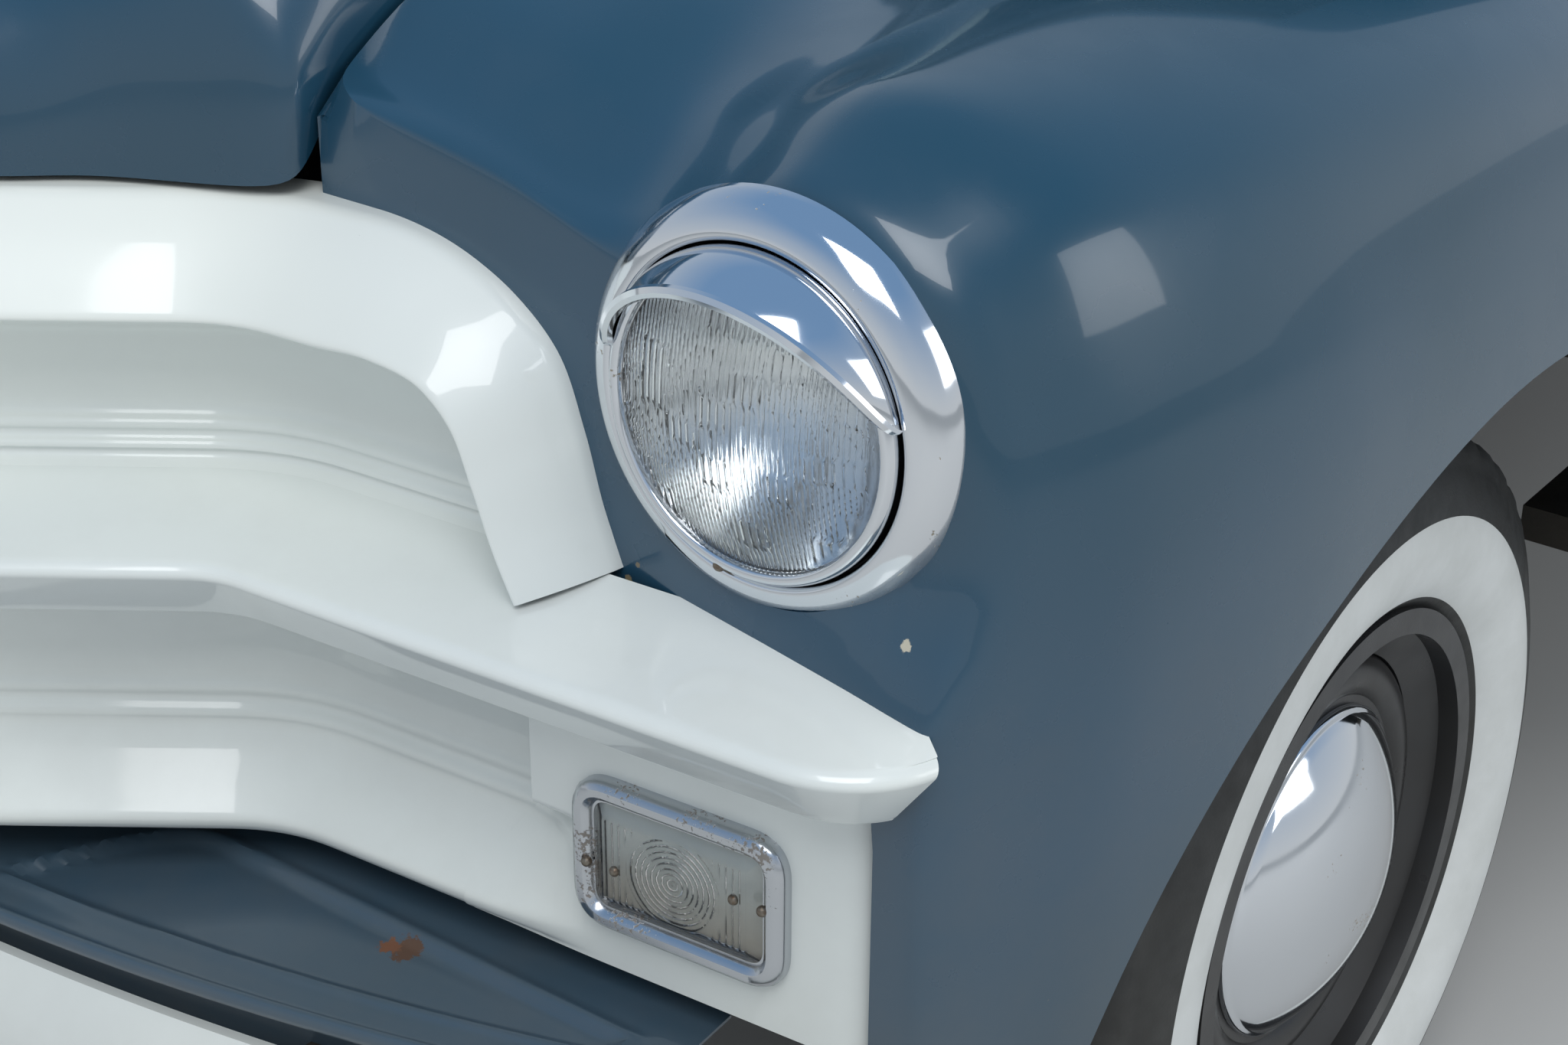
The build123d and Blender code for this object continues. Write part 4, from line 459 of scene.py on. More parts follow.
def matt_finish(name, colour, second, rough, metal=0.0, size_mm=40, bump_mm=0.1, grain_mm=3, soil=0.0):
    """A dull finish with slow colour change, uneven roughness and a fine grain, dirtier low down."""
    tree, place = new_finish(name)
    noise = {"Scale": 1000 / size_mm, "Detail": 5.0, "Roughness": 0.6}
    broad = node(tree, "ShaderNodeTexNoise", noise, {"Vector": place}).outputs["Fac"]
    tone = node(tree, "ShaderNodeMapRange", {1: 0.35, 2: 0.70}, {0: broad}).outputs[0]
    colours = {6: linear(colour), 7: linear(second)}
    base = node(tree, "ShaderNodeMix", colours, {0: tone}, data_type="RGBA").outputs[2]
    base, _, dirt = spotted(tree, place, base, (), soil)
    noise = {"Scale": 3000 / size_mm, "Detail": 4.0}
    fine = node(tree, "ShaderNodeTexNoise", noise, {"Vector": place}).outputs["Fac"]
    span = {1: 0.3, 2: 0.8, 3: rough * 0.8, 4: rough * 1.25}
    level = node(tree, "ShaderNodeMapRange", span, {0: fine}).outputs[0]
    level = node(tree, "ShaderNodeMath", {1: 0.2}, {0: dirt, 2: level}, operation="MULTIPLY_ADD").outputs[0]
    noise = {"Scale": 1000 / grain_mm, "Detail": 4.0}
    grain = node(tree, "ShaderNodeTexNoise", noise, {"Vector": place}).outputs["Fac"]
    relief = {"Distance": bump_mm / 1000, "Strength": 1.0}
    bump = node(tree, "ShaderNodeBump", relief, {"Height": grain}).outputs[0]
    links = {"Base Color": base, "Roughness": level, "Normal": bump}
    shader = node(tree, "ShaderNodeBsdfPrincipled", {"Metallic": metal}, links)
    node(tree, "ShaderNodeOutputMaterial", links={"Surface": shader.outputs["BSDF"]})


def bright_metal(name, colour, pit_colour, rough, pit_level, pit_mm=1.6, spots=()):
    """Plated metal: a mirror with faint haze, and small dull pits where the plating has failed."""
    tree, place = new_finish(name)
    noise = {"Scale": 1000 / pit_mm / 3, "Detail": 3.0, "Roughness": 0.6}
    fine = node(tree, "ShaderNodeTexNoise", noise, {"Vector": place}).outputs["Fac"]
    patch = node(tree, "ShaderNodeTexNoise", {"Scale": 22.0, "Detail": 3.0}, {"Vector": place}).outputs["Fac"]
    both = node(tree, "ShaderNodeMath", links={0: fine, 1: patch}, operation="MULTIPLY").outputs[0]
    pit = node(tree, "ShaderNodeMapRange", {1: pit_level, 2: pit_level + 0.03}, {0: both}).outputs[0]
    colours = {6: linear(colour), 7: linear(pit_colour)}
    base = node(tree, "ShaderNodeMix", colours, {0: pit}, data_type="RGBA").outputs[2]
    base, worn, _ = spotted(tree, place, base, spots, 0.0)
    if worn is not None:
        pit = node(tree, "ShaderNodeMath", links={0: pit, 1: worn}, operation="MAXIMUM").outputs[0]
    span = {1: 0.3, 2: 0.8, 3: rough, 4: rough + 0.08}
    haze = node(tree, "ShaderNodeMapRange", span, {0: patch}).outputs[0]
    level = node(tree, "ShaderNodeMath", {1: 0.45}, {0: pit, 2: haze}, operation="MULTIPLY_ADD").outputs[0]
    bare = node(tree, "ShaderNodeMapRange", {1: 0.0, 2: 1.0, 3: 1.0, 4: 0.35}, {0: pit}).outputs[0]
    sunk = node(tree, "ShaderNodeMath", {1: -1.0}, {0: pit}, operation="MULTIPLY").outputs[0]
    bump = node(tree, "ShaderNodeBump", {"Distance": 0.0001, "Strength": 1.0}, {"Height": sunk}).outputs[0]
    links = {"Base Color": base, "Roughness": level, "Metallic": bare, "Normal": bump}
    shader = node(tree, "ShaderNodeBsdfPrincipled", {}, links)
    node(tree, "ShaderNodeOutputMaterial", links={"Surface": shader.outputs["BSDF"]})


def clear_finish(name, colour, film_colour, rough, ior, film, low, high):
    """Glass or clear plastic, with a film of dust or age that grows between two heights."""
    tree, place = new_finish(name)
    height = node(tree, "ShaderNodeSeparateXYZ", links={0: place}).outputs["Z"]
    cloud = node(tree, "ShaderNodeTexNoise", {"Scale": 45.0, "Detail": 4.0}, {"Vector": place}).outputs["Fac"]
    depth = node(tree, "ShaderNodeMapRange", {1: high, 2: low, 3: 0.0, 4: film}, {0: height}).outputs[0]
    tone = node(tree, "ShaderNodeMath", links={0: depth, 1: cloud}, operation="MULTIPLY").outputs[0]
    colours = {6: linear(colour), 7: linear(film_colour)}
    base = node(tree, "ShaderNodeMix", colours, {0: tone}, data_type="RGBA").outputs[2]
    span = {1: 0.3, 2: 0.9, 3: rough, 4: rough + 0.06}
    level = node(tree, "ShaderNodeMapRange", span, {0: cloud}).outputs[0]
    values = {"IOR": ior, "Transmission Weight": 1.0}
    shader = node(tree, "ShaderNodeBsdfPrincipled", values, {"Base Color": base, "Roughness": level})
    node(tree, "ShaderNodeOutputMaterial", links={"Surface": shader.outputs["BSDF"]})


def oak_boards():
    """Varnished oak of the bed: grain lines 4 mm apart run along the truck, with darker weathered bands."""
    tree, place = new_finish("varnished_oak")
    stretched = node(tree, "ShaderNodeMapping", {"Scale": (1.0, 0.04, 1.0)}, {"Vector": place}).outputs[0]
    noise = {"Scale": 250.0, "Detail": 5.0, "Roughness": 0.7}
    grain = node(tree, "ShaderNodeTexNoise", noise, {"Vector": stretched}).outputs["Fac"]
    noise = {"Scale": 24.0, "Detail": 3.0}
    broad = node(tree, "ShaderNodeTexNoise", noise, {"Vector": stretched}).outputs["Fac"]
    both = node(tree, "ShaderNodeMath", links={0: grain, 1: broad}, operation="ADD").outputs[0]
    tone = node(tree, "ShaderNodeMapRange", {1: 0.75, 2: 1.25}, {0: both}).outputs[0]
    colours = {6: linear("#8a6238"), 7: linear("#4e3520")}
    base = node(tree, "ShaderNodeMix", colours, {0: tone}, data_type="RGBA").outputs[2]
    level = node(tree, "ShaderNodeMapRange", {1: 0.8, 2: 1.2, 3: 0.34, 4: 0.58}, {0: both}).outputs[0]
    bump = node(tree, "ShaderNodeBump", {"Distance": 0.0004, "Strength": 1.0}, {"Height": grain}).outputs[0]
    links = {"Base Color": base, "Roughness": level, "Normal": bump}
    shader = node(tree, "ShaderNodeBsdfPrincipled", {}, links)
    node(tree, "ShaderNodeOutputMaterial", links={"Surface": shader.outputs["BSDF"]})


# Marks on the photographed corner: place behind the front axle, radius in metres and colour
BLUE_MARKS = [
    ((0.5725, -0.586, 0.7965), 0.0030, "#8f8468"),
    ((0.5800, -0.586, 0.8080), 0.0018, "#7d7463"),
    ((0.7712, -0.600, 0.8280), 0.0034, "#b9b5a6"),
    ((0.7790, -0.598, 0.8190), 0.0020, "#9d9788"),
    ((0.4498, -0.6565, 0.5300), 0.0100, "#4a2a18"),
    ((0.4380, -0.6600, 0.5300), 0.0070, "#6b3a1c"),
    ((0.7950, -0.560, 0.7300), 0.0016, "#a7a396"),
    ((0.8171, -0.500, 0.6555), 0.0022, "#b4b1a4"),
    ((0.8210, -0.497, 0.6500), 0.0014, "#b4b1a4"),
    ((0.8130, -0.503, 0.6600), 0.0014, "#b4b1a4"),
    ((0.6930, -0.586, 0.8080), 0.0014, "#8c8777"),
]
WHITE_MARKS = [
    ((0.4950, -0.640, 0.5750), 0.0030, "#6c4b30"),
    ((0.5520, -0.640, 0.6020), 0.0018, "#55483a"),
    ((0.7380, -0.630, 0.6100), 0.0024, "#7b5a3c"),
    ((0.7240, -0.630, 0.6030), 0.0036, "#8a6c4c"),
    ((0.3000, -0.690, 0.7790), 0.0016, "#5b564c"),
]
CHROME_MARKS = [
    ((0.6530, -0.590, 0.8400), 0.0050, "#6d4527"),
    ((0.6610, -0.590, 0.8370), 0.0030, "#85562f"),
    ((0.7180, -0.590, 0.8500), 0.0020, "#7b6040"),
]
CAST_MARKS = [
    ((0.7060, -0.640, 0.6120), 0.0055, "#7a4a2a"),
    ((0.6960, -0.640, 0.6050), 0.0040, "#8a5a34"),
    ((0.5820, -0.640, 0.6900), 0.0022, "#6a5a48"),
]


def make_finishes(paint):
    """Every finish of the truck, from its real material and how it was made."""
    blue, white = colour_text(paint.body_colour), colour_text(paint.grille_colour)
    # Body colour: sprayed gloss enamel, so deep blue face on and sharp sky reflections at a slant
    enamel("slate_blue_enamel", blue, "#24475f", "#8c8672", 0.22, 0.520, 0.30, BLUE_MARKS)
    # Grille and bumper colour: brushed touch-up enamel, cool white with soft gloss
    enamel("off_white_enamel", white, "#d3dadb", "#5b544a", 0.30, 0.520, 0.20, WHITE_MARKS)
    # Brushed chassis black: dull, with dried mud
    matt_finish("black_chassis_paint", "#101113", "#1f1c19", 0.62, 0.0, 70, 0.4, 3, 0.25)
    # Stoved wheel enamel: black with a soft gloss
    matt_finish("black_wheel_enamel", "#11151b", "#1a1f26", 0.30, 0.0, 90, 0.05, 3, 0.12)
    # Buffed nickel and chrome plate: a mirror that reflects floor and sky
    bright_metal("polished_chrome", "#dfe2e6", "#a09888", 0.055, 0.430, 1.2, CHROME_MARKS)
    # Die-cast zinc with thin chrome: soft edges, dense pits that show the grey casting
    bright_metal("pitted_cast_chrome", "#c2c5c9", "#8a8580", 0.17, 0.345, 0.9, CAST_MARKS)
    # Vapour-silvered bowl: bright and a little soft
    bright_metal("silvered_reflector", "#eef0f2", "#c9c4b6", 0.10, 0.420, 2.5)
    # Old plated screw heads: dull steel with rust in the slots
    matt_finish("pitted_screw_steel", "#8b857a", "#5c4634", 0.42, 0.85, 3, 0.15, 1)
    # Galvanised carriage bolts, worn grey
    matt_finish("worn_bolt_steel", "#7d7c78", "#5c5348", 0.45, 0.85, 8, 0.1, 1)
    # Sand-cast iron with oil and dust
    matt_finish("oily_cast_iron", "#2b2622", "#49382a", 0.6, 0.5, 30, 0.6, 3, 0.3)
    # Brushed engine enamel, dusty
    matt_finish("engine_grey_enamel", "#4c514d", "#2c2a26", 0.5, 0.0, 60, 0.3, 4, 0.3)
    # Mild steel pipe, heat-scaled and rusty
    matt_finish("rusty_exhaust_steel", "#5c4a3c", "#7a4f33", 0.6, 0.7, 25, 0.3, 2)
    # Moulded tyre rubber: dull black with grey dust
    matt_finish("tyre_rubber", "#1b1e20", "#2b2f31", 0.60, 0.0, 60, 0.2, 2, 0.12)
    # Ground white sidewall rubber, washed but not bleached
    matt_finish("whitewall_rubber", "#dfe3e3", "#d2d6d5", 0.50, 0.0, 60, 0.05, 1.5, 0.12)
    # Heat-pressed vinyl over springs: 2 mm leather grain with a soft sheen
    matt_finish("pleated_vinyl", "#4c3a2c", "#5a4636", 0.42, 0.0, 30, 0.15, 1.6)
    # Moulded phenolic knobs and wheel rim: glossy black
    matt_finish("black_bakelite", "#0c0c0d", "#151516", 0.2, 0.0, 60, 0.02)
    # Extruded window rubber: dull black
    matt_finish("black_rubber_seal", "#131415", "#1d1d1d", 0.6, 0.0, 40, 0.05, 1.5)
    # Ribbed rubber tread mat
    matt_finish("black_rubber_mat", "#17171a", "#2a2724", 0.7, 0.0, 40, 0.15, 2, 0.5)
    # Printed dial card behind glass: cream
    matt_finish("cream_dial", "#d9d2bd", "#cfc6ac", 0.4, 0.0, 30, 0.01)
    # Moulded tail lamp plastic: deep red with a clear skin
    matt_finish("red_lens_plastic", "#6d0d10", "#7d1214", 0.12, 0.0, 60, 0.02)
    oak_boards()
    # Float glass of the windows
    clear_finish("window_glass", "#e9f2ee", "#cfd6d0", 0.01, 1.45, 0.4, 1.3, 1.5)
    # Pressed lamp glass: clear, with flutes that bend the reflector's light
    clear_finish("fluted_lamp_glass", "#f6f8f8", "#d8d4c6", 0.015, 1.47, 0.5, 0.84, 0.90)
    # Moulded acrylic of the parking lamps: yellowed and dusty low down
    clear_finish("clear_lamp_plastic", "#f3f3f0", "#b59a78", 0.04, 1.49, 0.9, 0.60, 0.65)


def colour_text(values):
    """The sRGB hex of a colour property."""
    return "#" + "".join(f"{round(v * 255):02x}" for v in values)


SLOT_FINISH = {
    "body_paint": "slate_blue_enamel",
    "grille_paint": "off_white_enamel",
    "wheel_paint": "black_wheel_enamel",
    "frame_paint": "black_chassis_paint",
    "chrome": "polished_chrome",
    "iron": "oily_cast_iron",
    "engine_paint": "engine_grey_enamel",
    "steel": "rusty_exhaust_steel",
    "tyre": "tyre_rubber",
    "glass": "window_glass",
    "lamp_glass": "fluted_lamp_glass",
    "lamp_lens": "clear_lamp_plastic",
    "red_lens": "red_lens_plastic",
    "wood": "varnished_oak",
    "seat": "pleated_vinyl",
    "trim_dark": "black_bakelite",
}


def finish_nodes():
    """Gives every carried-over CAD node the finish of its material slot."""
    slots = {item["node"]: item["material_slot"] for item in frame["record"]["subparts"]}
    for name, obj in frame["nodes"].items():
        obj.data.materials.clear()
        obj.data.materials.append(MATERIALS[SLOT_FINISH[slots[name]]])


# The nose line in plan: length and turn in degrees of each stretch, from the centre to the outer corner
NOSE_STRETCHES = [
    (0.090, 0.0),
    (0.12566, 36.0),
    (0.145, 0.0),
    (0.04792, -32.3),
    (0.374, 0.0),
    (0.06778, 86.3),
]
NOSE_Y = CAD_BOX[0][1] + 0.028

# Grille sections, as offset forward of the nose line and height
BAR_SECTION = [
    (-0.066, 0.737),
    (-0.006, 0.737),
    (0.002, 0.739),
    (0.028, 0.776),
    (0.023, 0.7825),
    (-0.030, 0.7925),
    (-0.066, 0.8015),
]
# The bar: its depth behind the nose line, its lip's height and reach, the least reach below it, the length
# along the nose line up to which it is straight, and the x of its back's end
BAR_BACK, BAR_LIP_Z, BAR_LIP_OUT, BAR_LOW_OUT = 0.066, 0.7825, 0.023, 0.002
BAR_STRAIGHT, BAR_END_X = 0.70, 0.800
# The slanted plane where the bar ends, by three of its points
BAR_END = [(0.8054, -0.6198, 0.779), (0.7831, -0.6235, 0.739), (0.7830, -0.6020, 0.790)]
UPPER_BAFFLE = [
    (-0.060, 0.7985),
    (-0.069, 0.803),
    (-0.0745, 0.8085),
    (-0.0705, 0.8125),
    (-0.0785, 0.8195),
    (-0.0745, 0.8245),
    (-0.0835, 0.833),
    (-0.0865, 0.852),
    (-0.083, 0.885),
    (-0.050, 0.918),
]
LOWER_BAFFLE = [
    (-0.055, 0.742),
    (-0.070, 0.705),
    (-0.077, 0.668),
    (-0.0765, 0.650),
    (-0.0715, 0.6425),
    (-0.0755, 0.6360),
    (-0.0675, 0.6280),
    (-0.0695, 0.6215),
    (-0.060, 0.606),
    (-0.040, 0.584),
    (-0.0285, 0.573),
    (-0.033, 0.562),
    (-0.058, 0.5585),
]
ARCH_IN, ARCH_OUT, ARCH_LOW, ARCH_TOP, ARCH_JOIN = -0.014, -0.073, 0.915, 0.976, 0.400
BAFFLE_ROUND = 0.006
PANEL_X, PANEL_END, PANEL_OUT = 0.530, 0.772, -0.036
FLARE_TOP, FLARE_HIGH, FLARE_WIDE = 0.651, 0.089, 0.050

# Arch leg stations: inner edge x and z, outer edge x and z
ARCH_LEG = [
    (0.4429, 0.9165, 0.4654, 0.9634),
    (0.4790, 0.9080, 0.4952, 0.9486),
    (0.4953, 0.8932, 0.5242, 0.9230),
    (0.5108, 0.8579, 0.5426, 0.8794),
    (0.5240, 0.8214, 0.5562, 0.8338),
    (0.5372, 0.7930, 0.5692, 0.8032),
]

# Thickness of the pressed sheets that are built with a wall
SHEET = 0.004

# Hood sections: distance behind the front axle, half width, lower edge, side top, shoulder x and z, crown
HOOD_ROWS = [
    (-0.735, 0.070, 0.980, 0.984, 0.050, 1.000, 1.006),
    (-0.700, 0.168, 0.980, 1.006, 0.124, 1.060, 1.085),
    (-0.650, 0.234, 0.980, 1.026, 0.172, 1.092, 1.128),
    (-0.616, 0.312, 0.981, 1.040, 0.218, 1.110, 1.152),
    (-0.602, 0.341, 0.985, 1.050, 0.250, 1.122, 1.162),
    (-0.556, 0.343, 1.036, 1.090, 0.270, 1.148, 1.178),
    (-0.500, 0.357, 1.072, 1.106, 0.284, 1.164, 1.194),
    (-0.300, 0.394, 1.096, 1.130, 0.310, 1.184, 1.220),
    (0.100, 0.449, 1.114, 1.150, 0.352, 1.208, 1.252),
    (0.557, 0.546, 1.130, 1.166, 0.440, 1.238, 1.286),
]

# Front fender sections behind the nose cap: distance behind the axle, then seam, valley, crest and side
# in x and z, and the x of the lower edge
FENDER_ROWS = [
    (-0.556, 0.347, 1.046, 0.562, 1.010, 0.676, 1.058, 0.812, 0.944, 0.822),
    (-0.500, 0.366, 1.092, 0.545, 1.042, 0.680, 1.084, 0.842, 0.952, 0.846),
    (-0.300, 0.403, 1.110, 0.510, 1.086, 0.700, 1.090, 0.878, 0.926, 0.876),
    (0.100, 0.456, 1.116, 0.560, 1.096, 0.740, 1.066, 0.890, 0.868, 0.884),
    (0.557, 0.553, 1.122, 0.640, 1.060, 0.770, 0.930, 0.888, 0.740, 0.880),
    (0.780, 0.800, 0.800, 0.820, 0.790, 0.846, 0.760, 0.884, 0.640, 0.876),
]
FENDER_LOW = 0.470

# The nose cap: where it starts behind the axle, its lines below the seam, and how far down they reach
CAP_Y, CAP_LINES_BELOW, CAP_LOW = FENDER_ROWS[0][0], 24, 0.46
# The front face: where it stands, and ahead of where the grille's mouth is cut
FACE_Y, FACE_CUT_Y = -0.584, -0.554
WHEEL_ARCH_R, WHEEL_ARCH_BACK = 0.478, 0.070

# Headlamp and parking lamp
LAMP = (0.671, AXLE_Y - 0.581, 0.929)
LAMP_HOLE = 0.110
PARK_X, PARK_Z, PARK_WIDE, PARK_HIGH = 0.6375, 0.6405, 0.146, 0.101


def smooth_step(value):
    """Eases from 0 to 1."""
    t = np.clip(value, 0, 1)
    return t * t * (3 - 2 * t)


def nose_line():
    """Points, headings and lengths of the nose line: straight runs and arcs joined end to end.

    The heading grows evenly along an arc, and the place is the running sum of its cosine and sine."""
    total = sum(length for length, _ in NOSE_STRETCHES)
    s = np.linspace(0, total, 1441)
    ends = np.cumsum([0.0] + [length for length, _ in NOSE_STRETCHES])
    turns = np.cumsum([0.0] + [turn for _, turn in NOSE_STRETCHES])
    heading = np.radians(np.interp(s, ends, turns))
    heading = np.convolve(np.pad(heading, 15, mode="reflect", reflect_type="odd"), np.ones(31) / 31, "valid")
    middle = (heading[1:] + heading[:-1]) / 2
    x = np.concatenate([[0.0], np.cumsum(np.cos(middle)) * s[1]])
    y = NOSE_Y + np.concatenate([[0.0], np.cumsum(np.sin(middle)) * s[1]])
    return x, y, heading, s


NOSE = nose_line()


def nose_at(s):
    """Place and heading of the nose line at given lengths from the centre."""
    x, y, heading, along = NOSE
    return np.interp(s, along, x), np.interp(s, along, y), np.interp(s, along, heading)


def nose_reach(x):
    """Length along the nose line at which it comes to x."""
    return np.interp(x, NOSE[0], NOSE[3])


def nose_y(x, forward):
    """The y of the nose line at x, moved forward."""
    _, y, heading = nose_at(nose_reach(x))
    return y - forward / np.cos(heading)


def along_nose(section, s):
    """A section in forward offset and height carried along the nose line: place + offset times its normal.

    s holds one length for each row, or one for each point of each row."""
    section = np.asarray(section, float)
    s = np.broadcast_to(s if np.ndim(s) == 2 else np.reshape(s, (-1, 1)), (len(s), len(section)))
    x, y, heading = nose_at(s)
    off, z = section[None, :, 0], np.broadcast_to(section[None, :, 1], x.shape)
    return np.stack([x + off * np.sin(heading), y - off * np.cos(heading), z], -1)


def mirror_rows(grid):
    """The whole width of a piece from the rows of its left half, which start on the centre plane."""
    return np.concatenate([grid[:0:-1] * MIRROR, grid])


def between(rows, at):
    """Values of a table between its rows, each of which starts with its place."""
    return hermite([row[0] for row in rows], [row[1:] for row in rows], at)


def stood(line, y):
    """Sections in x and z, each put at its own y."""
    return np.stack([line[..., 0], np.broadcast_to(y[:, None], line.shape[:2]), line[..., 1]], -1)


def build_hood():
    """The one-piece hood: sections over edge, shoulder and crown, with a closed nose."""
    y = np.concatenate([np.linspace(HOOD_ROWS[0][0], -0.50, 66), np.linspace(-0.49, HOOD_ROWS[-1][0], 56)])
    half, low, top, x2, z2, crown = between(HOOD_ROWS, y).T
    beside = (x2 + 0.62 * (half - x2), z2 - 0.34 * (z2 - top))
    above = (0.5 * x2, z2 + 0.78 * (crown - z2))
    right = [(half, low), (half, top), beside, (x2, z2), above, (np.zeros_like(half), crown)]
    left = [(-x, z) for x, z in right[-2::-1]]
    line = through(np.stack([np.stack(p, -1) for p in right + left], 1), 10)
    grid = fair(stood(line, AXLE_Y + y), 6)
    nose = grid[0] * np.array([0.0, 1.0, 0.0]) + np.array([0.0, 0.0, 0.990])
    part = skin(np.concatenate([nose[None], grid]), (0, AXLE_Y, 0.9), wall=SHEET)
    piece("hood_panel", *part, "slate_blue_enamel", "hood", "body_paint", ["hood"])


def fender_outline(row):
    """Section points of a front fender, from its seam over valley and crest down to its lower edge."""
    seam_x, seam_z, valley_x, valley_z, crest_x, crest_z, side_x, side_z, low_x = row.T
    low = np.full_like(seam_x, FENDER_LOW)
    points = [
        (seam_x, seam_z),
        ((seam_x + valley_x) / 2, (seam_z + valley_z) / 2 + 0.002),
        (valley_x, valley_z),
        ((valley_x + crest_x) / 2, (valley_z + crest_z) / 2 - 0.002),
        (crest_x, crest_z),
        (crest_x + 0.72 * (side_x - crest_x), side_z + 0.70 * (crest_z - side_z)),
        (side_x, side_z),
        ((side_x + low_x) / 2 + 0.002, (side_z + low) / 2),
        (low_x, low),
    ]
    return np.stack([np.stack(p, -1) for p in points], 1)


def face_depth(x, z):
    """How far ahead of the axle the fender's front face stands: flush with the lamp above, and further out
    below it, in step with the distance from the arch's foot."""
    below = smooth_step((0.875 - z) / 0.095)
    return FACE_Y - below * np.clip(0.007 + 0.158 * (x - 0.611), 0.0, 0.032)


def fender_grid():
    """The left front fender: a body of sections and a nose cap in one grid.

    Each cap line runs from the first section inwards: a parabola turns it forwards on to the front face,
    which it then follows to a spine below the lamp's centre."""
    y = np.concatenate([np.linspace(CAP_Y, -0.30, 34), np.linspace(-0.29, FENDER_ROWS[-1][0], 60)])
    line = through(fender_outline(between(FENDER_ROWS, y)), 10)
    (edge_x, edge_z), lead = line[0, 0], CAP_LINES_BELOW
    down = np.stack([np.full(lead, edge_x), np.linspace(CAP_LOW, edge_z, lead + 1)[:-1]], -1)
    rim = np.vstack([down, line[0]])
    spine = np.stack([np.full(len(rim), LAMP[0]), np.minimum(rim[:, 1], LAMP[2])], -1)
    depth = face_depth(rim[:, 0], rim[:, 1])
    length = np.linalg.norm(spine - rim, axis=1)
    toward = (spine - rim) / length[:, None]
    tau = np.linspace(0, 1, 16)[:, None]
    drop = (CAP_Y - depth)[None]
    reach = 0.030 + 0.016 * smooth_step((rim[:, 1] - 0.80) / 0.08)
    inward = 2 * tau * (1 - tau) * 0.35 * drop + tau**2 * reach
    turn_y = CAP_Y - drop * (1 - (1 - tau) ** 2)
    turn_y[:, :lead] = depth[:lead]
    flat = reach + np.linspace(0, 1, 22)[1:, None] * (length - reach)
    inward = np.concatenate([inward, flat])
    place = rim[None] + inward[..., None] * toward[None]
    forward = np.concatenate([turn_y, face_depth(place[16:, :, 0], place[16:, :, 1])])
    cap = np.stack([place[..., 0], AXLE_Y + forward, place[..., 1]], -1)[::-1]
    body = stood(line, AXLE_Y + y)
    body = np.concatenate([np.broadcast_to(cap[-1:, :lead], (len(body), lead, 3)), body], axis=1)
    grid = np.concatenate([cap, body[1:]])
    smooth = fair(grid, 9)
    smooth[:, :lead] = grid[:, :lead]
    return smooth


def build_front_fenders():
    """Both front fenders, cut for wheel arch, lamp and grille."""
    grid = fender_grid()
    x, y, z = grid[..., 0], grid[..., 1], grid[..., 2]
    arch = WHEEL_ARCH_R - np.hypot(y - AXLE_Y + WHEEL_ARCH_BACK, z - AXLE_Z)
    lamp = np.where(y < AXLE_Y - 0.50, LAMP_HOLE - np.hypot(x - LAMP[0], z - LAMP[2]), -1.0)
    leg = [(out_x - 0.012, out_z - 0.008) for _, _, out_x, out_z in reversed(ARCH_LEG)]
    mouth = [(0, 0.40), (0.764, 0.40), (0.764, 0.746), (0.560, 0.746), *leg]
    mouth += [(0.38, 0.966), (0, 0.966), (0, 0.40)]
    inside = inside_outline(np.stack([x, z], -1), np.array(mouth))
    cut = np.maximum(np.maximum(arch, lamp), np.where(y < AXLE_Y + FACE_CUT_Y, -inside, -1.0))
    part = both_sides(skin(grid, (0.5, AXLE_Y, 0.6), wall=SHEET, cut=cut))
    piece("front_fender_panels", *part, *BLUE, ["front_fenders"])


def arch_edges():
    """Inner and outer edge lines of the grille arch's left half, from the centre down its leg."""
    s = np.linspace(0, nose_reach(ARCH_JOIN), 60)
    x, y, heading = nose_at(s)
    edges = []
    for offset, height, column in ((ARCH_IN, ARCH_LOW, 0), (ARCH_OUT, ARCH_TOP, 2)):
        top = [x + offset * np.sin(heading), y - offset * np.cos(heading), np.full_like(x, height)]
        top = np.stack(top, -1)
        leg_x = np.array([row[column] for row in ARCH_LEG])
        leg_z = np.array([row[column + 1] for row in ARCH_LEG])
        leg = np.stack([leg_x, nose_y(leg_x, offset), leg_z], -1)
        corner = through(np.vstack([top[-12:-1:10], top[-1:], leg]), 12)[24:]
        edges.append(np.vstack([top[:-1], corner]))
    return edges


